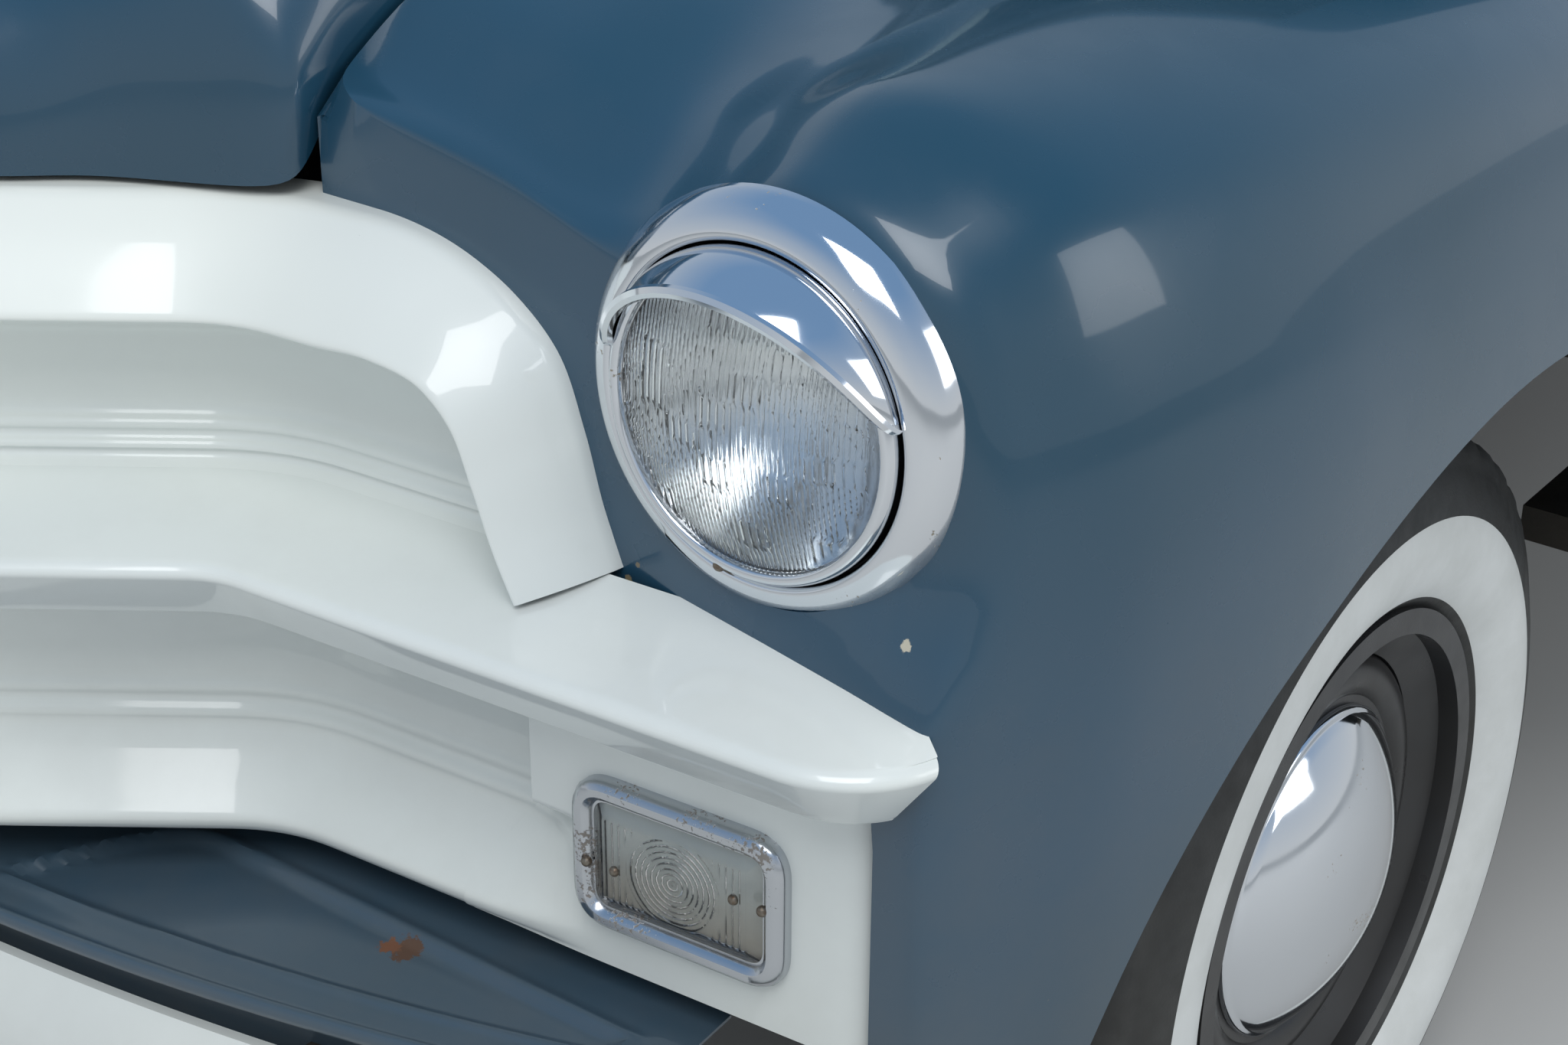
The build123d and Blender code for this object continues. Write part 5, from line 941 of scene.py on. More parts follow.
def build_grille():
    """Arch, bars, baffles and lamp panels, each a section carried along the nose line."""
    inner, outer = arch_edges()
    across = outer - inner
    push = np.cross(np.gradient(inner, axis=0), across)
    push /= np.linalg.norm(push, axis=1, keepdims=True)
    push *= -np.sign(push[:, 1:2] + 1e-9)
    width = 0.08
    shape = [(0, 0.046, 0), (0, 0, 0), (width / 2, 0, 0.0045), (width, 0, 0), (width, 0.034, 0)]
    shape = soft(shape, [0.010, 0.03, 0.007], 9)
    share, set_back, swell = shape[:, 0] / width, shape[:, 1], shape[:, 2]
    arch = inner[:, None] + share[None, :, None] * across[:, None] + swell[None, :, None] * push[:, None]
    arch[..., 1] += set_back[None]
    piece("grille_arch_band", *skin(mirror_rows(arch), (0, AXLE_Y, 0.80)), *WHITE, ["grille_arch"])
    piece("grille_bar", *skin(mirror_rows(bar_grid()), (0, AXLE_Y, 0.77)), *WHITE, ["grille_bars"])
    share = np.linspace(0, 1, 110)[:, None]
    high = soft(UPPER_BAFFLE, BAFFLE_ROUND, 5)
    leg = np.array(ARCH_LEG)[::-1]
    reach = nose_reach(np.interp(high[:, 1], leg[:, 1], leg[:, 0]) + 0.010)
    part = skin(mirror_rows(along_nose(high, share * reach)), (0, AXLE_Y, 0.84))
    piece("upper_baffle", *part, *WHITE, ["grille_baffles"])
    low = soft(LOWER_BAFFLE, BAFFLE_ROUND, 5)
    reach = nose_reach(foot_edge(low[:, 1]) + 0.006)
    part = skin(mirror_rows(along_nose(low, share * reach)), (0, AXLE_Y, 0.65))
    piece("lower_baffle", *part, *WHITE)
    build_lamp_panels()


def bar_grid():
    """The middle bar's left half: its front turns the nose line's corner and its back runs straight on.

    Each point lies between a front line and the back line, by its share of the way back, and the tongue
    at the end is where the front lines meet the slanted plane of the fender."""
    bar = soft(BAR_SECTION, [0.004, 0.003, 0.004, 0.006, 0.02], 6)
    off, z = bar.T
    lead = np.where(z > BAR_LIP_Z, BAR_LIP_OUT, np.maximum(off, BAR_LOW_OUT))
    share = np.clip((lead - off) / (lead + BAR_BACK), 0, 1)[None, :, None]
    ends = np.array(BAR_END) + np.array([0.0, AXLE_Y, 0.0])
    normal = np.cross(ends[1] - ends[0], ends[2] - ends[0])
    normal /= np.linalg.norm(normal)
    split = BAR_STRAIGHT
    far = np.linspace(split, NOSE[3][-1], 600)
    edge = np.stack([lead, np.minimum(z, BAR_LIP_Z)], 1)
    end = far[np.argmax((along_nose(edge, far) - ends[0]) @ normal > 0, axis=0)]
    t = np.concatenate([np.linspace(0, split, 150), split + np.linspace(0, 1, 46)[1:]])
    past = np.maximum(t - split, 0)[:, None]
    front = along_nose(edge, np.minimum(t, split)[:, None] + past * 1.05 * (end - split))
    x, y, heading = nose_at(np.minimum(t, split))
    run = past[:, 0] * (BAR_END_X - float(nose_at(split)[0]))
    back_x = x - BAR_BACK * np.sin(heading) + run * np.cos(heading)
    back_y = y + BAR_BACK * np.cos(heading) + run * np.sin(heading)
    back = np.stack([back_x, back_y, np.zeros_like(x)], -1)[:, None]
    grid = front * (1 - share) + back * share
    grid[..., 2] = z[None]
    gap = (grid - ends[0]) @ normal + 20.0 * np.maximum(grid[..., 1] - ends[0, 1], 0) ** 2
    last = np.where((gap > 0).any(0), np.argmax(gap > 0, axis=0), len(grid) - 1)
    row = np.arange(len(z))
    before, after = gap[last - 1, row], gap[last, row]
    stop = last - 1 + np.clip(before / (before - after), 0, 1)
    place = np.linspace(0, 1, len(grid))[:, None] * stop
    low = np.minimum(place.astype(int), len(grid) - 2)
    part = (place - low)[..., None]
    grid = grid[low, row] * (1 - part) + grid[low + 1, row] * part
    return np.concatenate([grid, np.broadcast_to(grid[-1].mean(0), (1, *grid.shape[1:]))])


def foot_edge(z):
    """The lamp panel's left edge: upright, then flaring inwards as a power of the distance below the lamp."""
    drop = np.clip((FLARE_TOP - z) / FLARE_HIGH, 0, 1)
    return PANEL_X - FLARE_WIDE * (1 - (1 - drop) ** 2.1)


def build_lamp_panels():
    """The flat panels under the bar's ends: a sharp left edge that flares into a foot over the lower bar.

    Below the flare the face runs from the lower bar's own offset at its edge to the panel's plane."""
    z = np.concatenate([np.linspace(0.5585, 0.66, 60), np.linspace(0.662, 0.742, 20)])[:, None]
    left = foot_edge(z)
    low = soft(LOWER_BAFFLE, BAFFLE_ROUND, 5)[::-1]
    flush = np.interp(z, low[1:, 1], low[1:, 0]) + 0.001
    blend = smooth_step((0.655 - z) / 0.022)
    depth = 0.002 + 0.032 * (1 - blend)
    fold = soft([(0.0, 1.0), (0.0, 0.0), (0.08, 0.0)], 0.002, 6)
    share = np.concatenate([fold[:-1, 0], np.linspace(0.08, 1.0, 40), [1.0]])[None]
    back = np.concatenate([fold[:-1, 1], np.zeros(40), [0.6]])[None]
    x = left + share * (PANEL_END - left)
    ease = 1 - smooth_step((x - left) / (0.585 - left))
    offset = PANEL_OUT + (flush - PANEL_OUT) * blend * ease
    y = nose_y(x, offset) + back * depth
    grid = np.stack([x, y, np.broadcast_to(z, x.shape)], -1)
    part = both_sides(skin(grid, (0.65, AXLE_Y, 0.65)))
    piece("lamp_panels", *part, *WHITE)


def round_lamp(profile, count=128, inside=0.06):
    """A profile in radius and rise, turned about both headlamps' axes."""
    grid = turned(profile, LAMP, "ahead", count)
    return both_sides(skin(grid, (LAMP[0], LAMP[1] + inside, LAMP[2])))


def build_headlamps(lamps):
    """Bezel, retaining ring, reflector, fluted lens and visor of both headlamps, with a black ring painted as
    the shade at the bottom of the groove between bezel and ring.
    """
    outer, inner, rise, glass = lamps.bezel_radius, lamps.inner_radius, lamps.bezel_rise, lamps.glass_radius
    bezel = [(outer + 0.001, -0.004), (outer, 0.002), (outer - 0.004, 0.010), (outer - 0.011, 0.0165)]
    bezel += [(inner + 0.003, rise + 0.0005), (inner - 0.001, rise - 0.002), (inner - 0.002, 0.004)]
    piece("headlamp_rims", *round_lamp(soft(bezel, 0.004, 6)), *CHROME, ["headlamp_bezels"])
    ring = [(glass + 0.0035, 0.004), (glass + 0.003, rise + 0.002), (glass, rise + 0.0065)]
    ring += [(glass - 0.0045, rise + 0.006), (glass - 0.0055, rise + 0.002)]
    piece("retaining_rings", *round_lamp(soft(ring, 0.002, 5)), *CHROME)
    # Painted shade: a flat black ring at the bottom of the groove between bezel and retaining ring, which
    # keeps the groove dark under any light.
    groove_shade_ring = round_lamp([(inner, 0.006), (glass + 0.002, 0.006)], 64)
    piece("painted_groove_shade", *groove_shade_ring, *BLACK)
    bowl = [(0.001, -0.052), (0.020, -0.046), (0.045, -0.030), (0.068, -0.008), (glass - 0.005, rise - 0.006)]
    points, faces = round_lamp(through(bowl, 6), 64, inside=-1.0)
    faces = [group[:, ::-1] for group in faces]
    piece("reflectors", points, faces, "silvered_reflector", "chassis", "chrome")
    build_lens(lamps)
    build_visors(lamps)
    screw = through([(0.0001, 0.0025), (0.0022, 0.0021), (0.0034, 0.0006), (0.0035, -0.004)], 4)
    place = (LAMP[0] - 0.018, LAMP[1] - rise - 0.004, LAMP[2] - glass + 0.0005)
    part = both_sides(skin(turned(screw, place, "ahead", 24), (place[0], AXLE_Y, place[2])))
    piece("ring_screws", *part, "pitted_screw_steel", "chassis", "chrome")


def build_lens(lamps):
    """The sealed-beam lens: a dome whose face is fluted, with stepped blocks of other pitches.

    rise = dome height + flute depth times the cosine of x over the pitch, faded at the rim."""
    g = lamps.glass_radius - 0.005
    top, low = lamps.bezel_rise + lamps.lens_bulge, lamps.bezel_rise + 0.003
    radius = (g**2 + (top - low) ** 2) / (2 * (top - low))
    a, b = np.meshgrid(np.linspace(-1, 1, 193), np.linspace(-1, 1, 77), indexing="ij")
    x = g * a * np.sqrt(1 - b**2 / 2)
    z = g * b * np.sqrt(1 - a**2 / 2)
    dome = top - radius + np.sqrt(np.maximum(radius**2 - x**2 - z**2, 0))
    edge = smooth_step((g - np.hypot(x, z)) / 0.006)
    flute_depth, coarse, fine, block_lift = 0.00042, 0.0052, 0.0029, 0.0007
    across, up = (x / g + 1) * 4.0, (z / g + 1) * 5.0
    block = np.mod(np.sin(np.floor(up) * 12.9898 + np.floor(across) * 78.233) * 43758.5453, 1.0)
    flute = flute_depth * np.cos(2 * math.pi * x / np.where(block > 0.72, coarse, fine))
    beside = np.minimum(np.mod(across, 1.0), 1 - np.mod(across, 1.0))
    lift = np.where(block > 0.55, block_lift, 0.0) * smooth_step(beside / 0.05)
    height = dome + (flute + lift) * edge
    grid = np.stack([LAMP[0] + x, LAMP[1] - height, LAMP[2] + z], -1)
    part = both_sides(skin(grid, (LAMP[0], LAMP[1] + 0.3, LAMP[2]), wall=0.003))
    piece("headlamp_glass", *part, "fluted_lamp_glass", "chassis", "lamp_glass", ["headlamp_lenses"], 80)


def build_visors(lamps):
    """Chrome visors: a peaked shade over the lens that grows to its middle, with a rolled lip.

    Its reach is a power of the cosine over the turn, and it bends towards the axis as it comes forward."""
    half_turn, least = 78, 0.004
    turn = np.linspace(-1, 1, 121)
    angle = np.radians(90 - half_turn * turn)[:, None]
    hump = np.cos(turn * math.pi / 2)[:, None] ** 0.7
    share = np.linspace(0, 1, 16)[None, :]
    reach = least + (lamps.visor_reach - least) * hump
    radius = lamps.inner_radius - 0.0015 - (0.002 + 0.014 * hump) * share**2.2
    out = lamps.bezel_rise - 0.003 + reach * share
    lip = np.array([(0.0008, 0.0020), (0.0028, 0.0030), (0.0048, 0.0020), (0.0052, -0.0004)])
    radius = np.concatenate([radius, radius[:, -1:] + lip[None, :, 0]], axis=1)
    out = np.concatenate([out, out[:, -1:] + lip[None, :, 1]], axis=1)
    place = (LAMP[0] + radius * np.cos(angle), LAMP[1] - out, LAMP[2] + radius * np.sin(angle))
    part = both_sides(skin(np.stack(place, -1), (LAMP[0], LAMP[1] - 0.02, LAMP[2]), wall=0.0012))
    piece("headlamp_shades", *part, *CHROME, ["headlamp_visors"])


def build_parking_lamps():
    """Parking lamps: a cast frame with a rounded rim, and a clear lens with rings and ribs."""
    x0, x1 = PARK_X - PARK_WIDE / 2, PARK_X + PARK_WIDE / 2
    z0, z1 = PARK_Z - PARK_HIGH / 2, PARK_Z + PARK_HIGH / 2
    steps = [(0.0, 0.0), (0.0, 0.005), (0.0015, 0.008), (0.005, 0.0105), (0.0095, 0.0105), (0.0125, 0.008)]
    steps += [(0.0135, 0.0055), (0.0150, 0.0055), (0.0160, 0.0015)]
    loops = []
    for inset, out in steps:
        left, right, low, high = x0 + inset, x1 - inset, z0 + inset, z1 - inset
        line = loop_soft([(left, low), (right, low), (right, high), (left, high)], 0.026 - inset, 10)
        loops.append(np.stack([line[:, 0], nose_y(line[:, 0], PANEL_OUT + out), line[:, 1]], -1))
    centre = (PARK_X, AXLE_Y - 0.5, PARK_Z)
    part = both_sides(skin(np.array(loops), centre))
    piece("parking_lamp_frames", *part, "pitted_cast_chrome", "chassis", "chrome", ["parking_lamp_bezels"])
    wide, high = PARK_WIDE / 2 - 0.0150, PARK_HIGH / 2 - 0.0150
    across, up = np.meshgrid(np.linspace(-wide, wide, 116), np.linspace(-high, high, 88), indexing="ij")
    border = np.minimum(wide - np.abs(across), high - np.abs(up))
    far, rings_end = np.hypot(across, up), 0.034
    rings = 0.0005 * np.cos(2 * math.pi * far / 0.0036) * smooth_step((rings_end - far) / 0.004)
    ribs = 0.0004 * np.cos(2 * math.pi * across / 0.0046) * smooth_step((far - rings_end) / 0.004)
    crown = 0.004 + 0.006 * smooth_step(border / 0.010)
    crown = crown + (rings + ribs) * smooth_step((border - 0.004) / 0.006)
    grid = np.stack([PARK_X + across, nose_y(PARK_X + across, PANEL_OUT) - crown, PARK_Z + up], -1)
    part = both_sides(skin(grid, centre, wall=0.0015))
    finish = ("clear_lamp_plastic", "chassis", "lamp_lens")
    piece("parking_lamp_glass", *part, *finish, ["parking_lamp_lenses"], 80)
    head = through([(0.0001, 0.0022), (0.002, 0.0019), (0.0031, 0.0006), (0.0032, -0.002)], 4)
    screws = []
    for along in (-0.0605, 0.0605, -0.041, 0.041):
        x = PARK_X + along
        out = 0.0105 if abs(along) > 0.05 else 0.0098
        place = (x, float(nose_y(x, PANEL_OUT + out)), PARK_Z + 0.006 * np.sign(along))
        screws.append(skin(turned(head, place, "ahead", 20), (x, AXLE_Y, PARK_Z)))
    piece("parking_lamp_screws", *both_sides(joined(*screws)), "pitted_screw_steel", "chassis", "chrome")


def build_apron():
    """The splash apron ahead of the grille: a sunk lens-shaped panel inside a raised bead, with a rolled
    front edge and a flange down behind the bumper.

    The bead is a bell curve of the distance from the panel's border, and the panel eases down inside it."""
    half, back = 0.655, -0.598
    bead, bead_width, sunk, ease = 0.0022, 0.005, 0.0040, 0.010
    x = np.linspace(-half, half, 181)[:, None]
    front = -0.780 + x**2 / 4.1
    share = np.linspace(0, 1, 62)[None]
    y = back + (front - back) * share
    behind = -0.645 - 0.100 * np.clip((0.280 - np.abs(x)) / 0.100, 0, 1.2) ** 2
    inside = np.minimum(np.minimum(behind - y, y - front - 0.022), half - 0.038 - np.abs(x))
    height = bead * np.exp(-((inside / bead_width) ** 2)) - sunk * smooth_step(inside / ease)
    slope = 0.540 - 0.017 * (back - y) / 0.170 + height
    grid = np.stack([x + 0 * y, AXLE_Y + y, slope], -1)
    edge = [(0.0, 0.0), (-0.004, 0.0015), (-0.0075, -0.0005), (-0.009, -0.005), (-0.0065, -0.010)]
    edge += [(-0.001, -0.013), (0.006, -0.017), (0.010, -0.030), (0.012, -0.055)]
    rows = [grid[:, -1] + np.array([0.0, dy, dz]) for dy, dz in soft(edge, 0.003, 4)[1:]]
    grid = np.concatenate([grid, np.stack(rows, 1)], axis=1)
    part = skin(grid, (0, AXLE_Y - 0.60, 0.2), wall=0.002)
    piece("splash_apron", *part, *BLUE, ["front_apron"])


def build_bumpers():
    """Channel bumpers: a crowned blade with rolled lips, swept along its curve in plan."""
    low, top, bulge = 0.353, 0.499, 0.034
    z = np.linspace(low + 0.004, top - 0.004, 26)
    crown = bulge * (1 - ((z - (low + top) / 2) / ((top - low) / 2)) ** 2)
    lip_under = [(-0.010, low + 0.002), (-0.001, low)]
    lip_over = [(-0.001, top), (-0.010, top - 0.002)]
    face = np.array([*lip_under, *zip(crown, z), *lip_over])
    for name, node_name, place, radius, half, toward in (
        ("front_bumper_blade", "front_bumper", AXLE_Y - 0.828 + bulge, 2.1, 0.860, -1),
        ("rear_bumper_blade", "rear_bumper", CAD_BOX[1][1] - bulge, 6.0, 0.840, 1),
    ):
        x = np.linspace(-half, half, 121)[:, None]
        y = place - toward * x**2 / (2 * radius) + toward * face[None, :, 0]
        grid = np.stack([x + 0 * y, y, np.broadcast_to(face[None, :, 1], y.shape)], -1)
        part = skin(grid, (0, place - toward * 0.6, (low + top) / 2), wall=SHEET)
        piece(name, *part, *WHITE, [node_name])


# Cab sections: height, front y, half width at the front corner, bulge of the front, shoulder y, half width,
# rear y and rear corner radius, with y behind the front axle
CAB_ROWS = [
    (0.625, 0.566, 0.540, 0.014, 0.790, 0.828, 1.895, 0.150),
    (1.000, 0.566, 0.545, 0.018, 0.792, 0.838, 1.905, 0.160),
    (1.210, 0.570, 0.545, 0.026, 0.792, 0.836, 1.908, 0.170),
    (1.292, 0.604, 0.560, 0.044, 0.790, 0.828, 1.906, 0.175),
    (1.322, 0.654, 0.590, 0.060, 0.790, 0.818, 1.900, 0.180),
    (1.560, 0.775, 0.575, 0.080, 0.905, 0.772, 1.872, 0.190),
    (1.700, 0.868, 0.530, 0.084, 1.030, 0.718, 1.830, 0.200),
    (1.766, 0.960, 0.464, 0.076, 1.110, 0.640, 1.742, 0.190),
    (1.790, 1.062, 0.370, 0.054, 1.180, 0.520, 1.665, 0.170),
    (1.8035, 1.190, 0.230, 0.024, 1.262, 0.320, 1.535, 0.120),
]
CAB_WALL, DOOR_WALL = 0.042, 0.038

# Where the cab's middle is, and the x beyond which its surface is a side
CAB_MIDDLE, CAB_SIDE_X = 1.23, 0.60

# Door hinges: place and radius of the pins, and the heights of their middles
HINGE_X, HINGE_Y, HINGE_R = 0.843, AXLE_Y + 0.798, 0.011
HINGE_HEIGHTS = (0.90, 1.20)

# Openings of the cab: corners and (mid point, end point) of arcs
WINDSCREEN = [
    (-0.600, 1.352),
    ((0, 1.344), (0.600, 1.352)),
    ((0.634, 1.362), (0.628, 1.396)),
    (0.560, 1.634),
    ((0.546, 1.664), (0.510, 1.674)),
    ((0, 1.688), (-0.510, 1.674)),
    ((-0.546, 1.664), (-0.560, 1.634)),
    (-0.628, 1.396),
    ((-0.634, 1.362), (-0.600, 1.352)),
]
REAR_WINDOW = [
    (-0.420, 1.400),
    ((-0.408, 1.372), (-0.380, 1.362)),
    (0.380, 1.362),
    ((0.408, 1.372), (0.420, 1.400)),
    (0.404, 1.600),
    ((0.392, 1.628), (0.364, 1.638)),
    (-0.364, 1.638),
    ((-0.392, 1.628), (-0.404, 1.600)),
    (-0.420, 1.400),
]
DOOR_FRONT, DOOR_BACK, DOOR_BOTTOM, DOOR_TOP, SILL_Z = 0.800, 1.650, 0.662, 1.712, 1.330

# Rear fender sections: distance behind the rear axle, outer x, top z, side z, lower z
REAR_FENDER_ROWS = [
    (-0.560, 0.700, 0.640, 0.560, 0.470),
    (-0.500, 0.800, 0.780, 0.600, 0.450),
    (-0.330, 0.912, 0.945, 0.690, 0.440),
    (-0.060, 0.958, 1.006, 0.730, 0.440),
    (0.220, 0.950, 0.978, 0.700, 0.440),
    (0.450, 0.886, 0.850, 0.640, 0.450),
    (0.580, 0.780, 0.690, 0.580, 0.470),
    (0.620, 0.700, 0.600, 0.545, 0.480),
]
REAR_ROOT, REAR_ARCH_R = 0.6445, 0.452

# Heights of the bed's planks and the running boards, and x and z of the left tail lamp
BED_TOP, BOARD_TOP = 0.708, 0.4705
TAIL_LAMP = (0.742, 0.742)


def arc(a, b, c, count):
    """Points of the circle from a over b to c, for each row of three flat points."""
    a, b, c = (np.asarray(p, float).reshape(-1, 2) for p in (a, b, c))
    a2, b2, c2 = ((p**2).sum(1) for p in (a, b, c))
    d = 2 * (a[:, 0] * (b[:, 1] - c[:, 1]) + b[:, 0] * (c[:, 1] - a[:, 1]) + c[:, 0] * (a[:, 1] - b[:, 1]))
    x = (a2 * (b[:, 1] - c[:, 1]) + b2 * (c[:, 1] - a[:, 1]) + c2 * (a[:, 1] - b[:, 1])) / d
    y = (a2 * (c[:, 0] - b[:, 0]) + b2 * (a[:, 0] - c[:, 0]) + c2 * (b[:, 0] - a[:, 0])) / d
    centre = np.stack([x, y], 1)
    t0, t1, t2 = (np.arctan2(*(p - centre).T[::-1]) for p in (a, b, c))
    sweep = np.mod(t1 - t0 + math.pi, 2 * math.pi) - math.pi
    sweep = sweep + np.mod(t2 - t1 + math.pi, 2 * math.pi) - math.pi
    t = t0[:, None] + sweep[:, None] * np.linspace(0, 1, count)
    radius = np.linalg.norm(a - centre, axis=1)[:, None]
    return centre[:, None] + radius[..., None] * np.stack([np.cos(t), np.sin(t)], -1)


def drawn(items, shift=(0.0, 0.0)):
    """A closed outline of corners and arcs as points."""
    points = [np.array([items[0]], float)]
    for item in items[1:]:
        if isinstance(item[0], tuple):
            points.append(arc(points[-1][-1], item[0], item[1], 14)[0][1:])
        else:
            points.append(np.array([item], float))
    line = np.vstack(points) + np.asarray(shift)
    return np.vstack([line, line[:1]])


def door_line(grow):
    """The door in y and z, grown outwards, with the front edge following the windscreen pillar."""
    f, b, low, top = DOOR_FRONT - grow, DOOR_BACK + grow, DOOR_BOTTOM - grow, DOOR_TOP + grow
    items = [
        (f, low + 0.060),
        ((f + 0.017, low + 0.017), (f + 0.060, low)),
        (b - 0.060, low),
        ((b - 0.017, low + 0.017), (b, low + 0.060)),
        (b, top - 0.090),
        ((b - 0.026, top - 0.026), (b - 0.090, top)),
        (f + 0.290, top),
        ((f + 0.222, top - 0.018), (f + 0.188, top - 0.070)),
        (f + 0.014, SILL_Z - 0.010),
        ((f + 0.003, SILL_Z - 0.034), (f, SILL_Z - 0.060)),
    ]
    return drawn(items, (AXLE_Y, 0.0))


def window_line():
    """The door's window opening in y and z."""
    f, b, top, sill = DOOR_FRONT + 0.052, DOOR_BACK - 0.046, DOOR_TOP - 0.046, SILL_Z
    items = [
        (f + 0.014, sill),
        (b - 0.040, sill),
        ((b - 0.012, sill + 0.012), (b, sill + 0.040)),
        (b - 0.006, top - 0.070),
        ((b - 0.028, top - 0.020), (b - 0.080, top)),
        (f + 0.212, top),
        ((f + 0.176, top - 0.012), (f + 0.154, top - 0.046)),
        (f + 0.006, sill + 0.034),
    ]
    return drawn(items, (AXLE_Y, 0.0))


def cab_rings(values):
    """Half sections of the cab for rows of table values: bowed front, corner, side, rear corner and back."""
    _, front, front_half, bulge, shoulder, half, rear, corner = values.T
    run_x, run_y = half - front_half, shoulder - front - bulge
    via = np.stack([(front_half + half) / 2 + 0.12 * run_y, (front + bulge + shoulder) / 2 - 0.12 * run_x], 1)
    zero, edge = np.zeros_like(front), front + bulge
    left, middle, right = (np.stack(p, 1) for p in ((-front_half, edge), (zero, front), (front_half, edge)))
    nose = arc(left, middle, right, 61)
    turn = arc(right, via, np.stack([half, shoulder], 1), 22)
    k = corner * (1 - math.sqrt(0.5))
    start, end = np.stack([half, rear - corner], 1), np.stack([half - corner, rear], 1)
    back = arc(start, np.stack([half - k, rear - k], 1), end, 14)
    share = np.linspace(0, 1, 44)[1:-1, None]
    side = turn[:, -1:] + share * (start - turn[:, -1])[:, None]
    share = np.linspace(0, 1, 26)[1:, None]
    tail = end[:, None] + share * (np.stack([zero, rear], 1) - end)[:, None]
    return np.concatenate([nose[:, 30:], turn[:, 1:], side, back, tail], axis=1)


def cab_grid():
    """The cab's outer surface, ring by ring from the sill up, closed by a shallow dome on the roof."""
    rows = np.array(CAB_ROWS)
    step = np.hypot(np.diff(rows[:, 0]), np.maximum(np.abs(np.diff(rows[:, 5])), np.abs(np.diff(rows[:, 1]))))
    along = np.concatenate([[0], np.cumsum(step)])
    values = hermite(along, rows, np.linspace(0, along[-1], 82))
    flat = cab_rings(values)
    z = np.broadcast_to(values[:, :1], flat.shape[:2])
    share = np.linspace(0, 1, 12)[1:, None]
    last = flat[-1:]
    middle = np.array([0.0, last[0, :, 1].min() / 2 + last[0, :, 1].max() / 2])
    dome = middle + (last - middle) * (1 - share[..., None])
    dome_z = values[-1, 0] + 0.0024 * (1 - (1 - share) ** 2) + 0 * dome[..., 0]
    flat, z = np.concatenate([flat, dome]), np.concatenate([z, dome_z])
    half = fair(np.stack([flat[..., 0], AXLE_Y + flat[..., 1], z], -1), 3)
    return np.concatenate([half, half[:, -2::-1] * MIRROR], axis=1)


def pierced(grid, line, plane, where):
    """How far inside an outline the grid's points are, where they are on its side of the cab."""
    flat = grid[..., list(plane)]
    return np.where(where, -inside_outline(flat, line), -1.0)


def surface_line(grid, line, plane, depth, where):
    """An outline laid on a grid: each point takes the missing coordinate of the nearest grid point."""
    flat = grid[where]
    first, second = plane
    gap = (flat[None, :, first] - line[:, None, 0]) ** 2 + (flat[None, :, second] - line[:, None, 1]) ** 2
    near = np.argsort(gap, axis=1)[:, :4]
    weight = 1 / (np.take_along_axis(gap, near, 1) + 1e-7)
    third = ({0, 1, 2} - {first, second}).pop()
    value = (flat[near][..., third] * weight).sum(1) / weight.sum(1)
    path = np.zeros((len(line), 3))
    path[:, first], path[:, second], path[:, third] = line[:, 0], line[:, 1], value + depth
    return path[:-1]


def hinge_tube(low, high):
    """A length of the left door's hinge pin between two heights."""
    return tube(np.array([[HINGE_X, HINGE_Y, low], [HINGE_X, HINGE_Y, high]]), HINGE_R, 20)


def build_cab():
    """Cab body with its openings cut through a full wall, its floor, window seals and hinge lugs."""
    grid = cab_grid()
    x, y = grid[..., 0], grid[..., 1]
    ahead, behind, beside = y < AXLE_Y + 1.06, y > AXLE_Y + 1.55, np.abs(x) > CAB_SIDE_X
    screen, back = drawn(WINDSCREEN), drawn(REAR_WINDOW)
    cut = np.maximum(pierced(grid, screen, (0, 2), ahead), pierced(grid, back, (0, 2), behind))
    cut = np.maximum(cut, pierced(grid, door_line(0.006), (1, 2), beside))
    part = skin(grid, (0, AXLE_Y + 1.2, 1.2), wall=CAB_WALL, cut=cut)
    piece("cab_body", *part, *BLUE, ["cab_shell"])
    ring = grid[0] * np.array([0.955, 1.0, 1.0])
    ring[:, 1] = AXLE_Y + CAB_MIDDLE + (ring[:, 1] - AXLE_Y - CAB_MIDDLE) * 0.94
    centre = np.array([0.0, AXLE_Y + CAB_MIDDLE, 0.0])
    top, low = (np.broadcast_to(centre + [0, 0, z], ring.shape) for z in (0.656, 0.626))
    floor = np.array([top, ring + [0, 0, 0.031], ring + [0, 0, 0.001], low])
    piece("cab_floor", *skin(floor, (0, AXLE_Y + CAB_MIDDLE, 0.64)), *BLACK)
    seals = []
    for line, side, depth in ((screen, ahead, -0.001), (back, behind, 0.001)):
        path = surface_line(grid, line[:-1], (0, 2), depth, side)
        seals.append(tube(path, 0.0085, 10, closed=True))
    piece("window_seals", *joined(*seals), "black_rubber_seal", "chassis", "trim_dark")
    lugs = [hinge_tube(low, low + 0.015) for z in HINGE_HEIGHTS for low in (z - 0.046, z + 0.031)]
    piece("door_hinge_lugs", *both_sides(joined(*lugs)), *BLUE)
    return grid


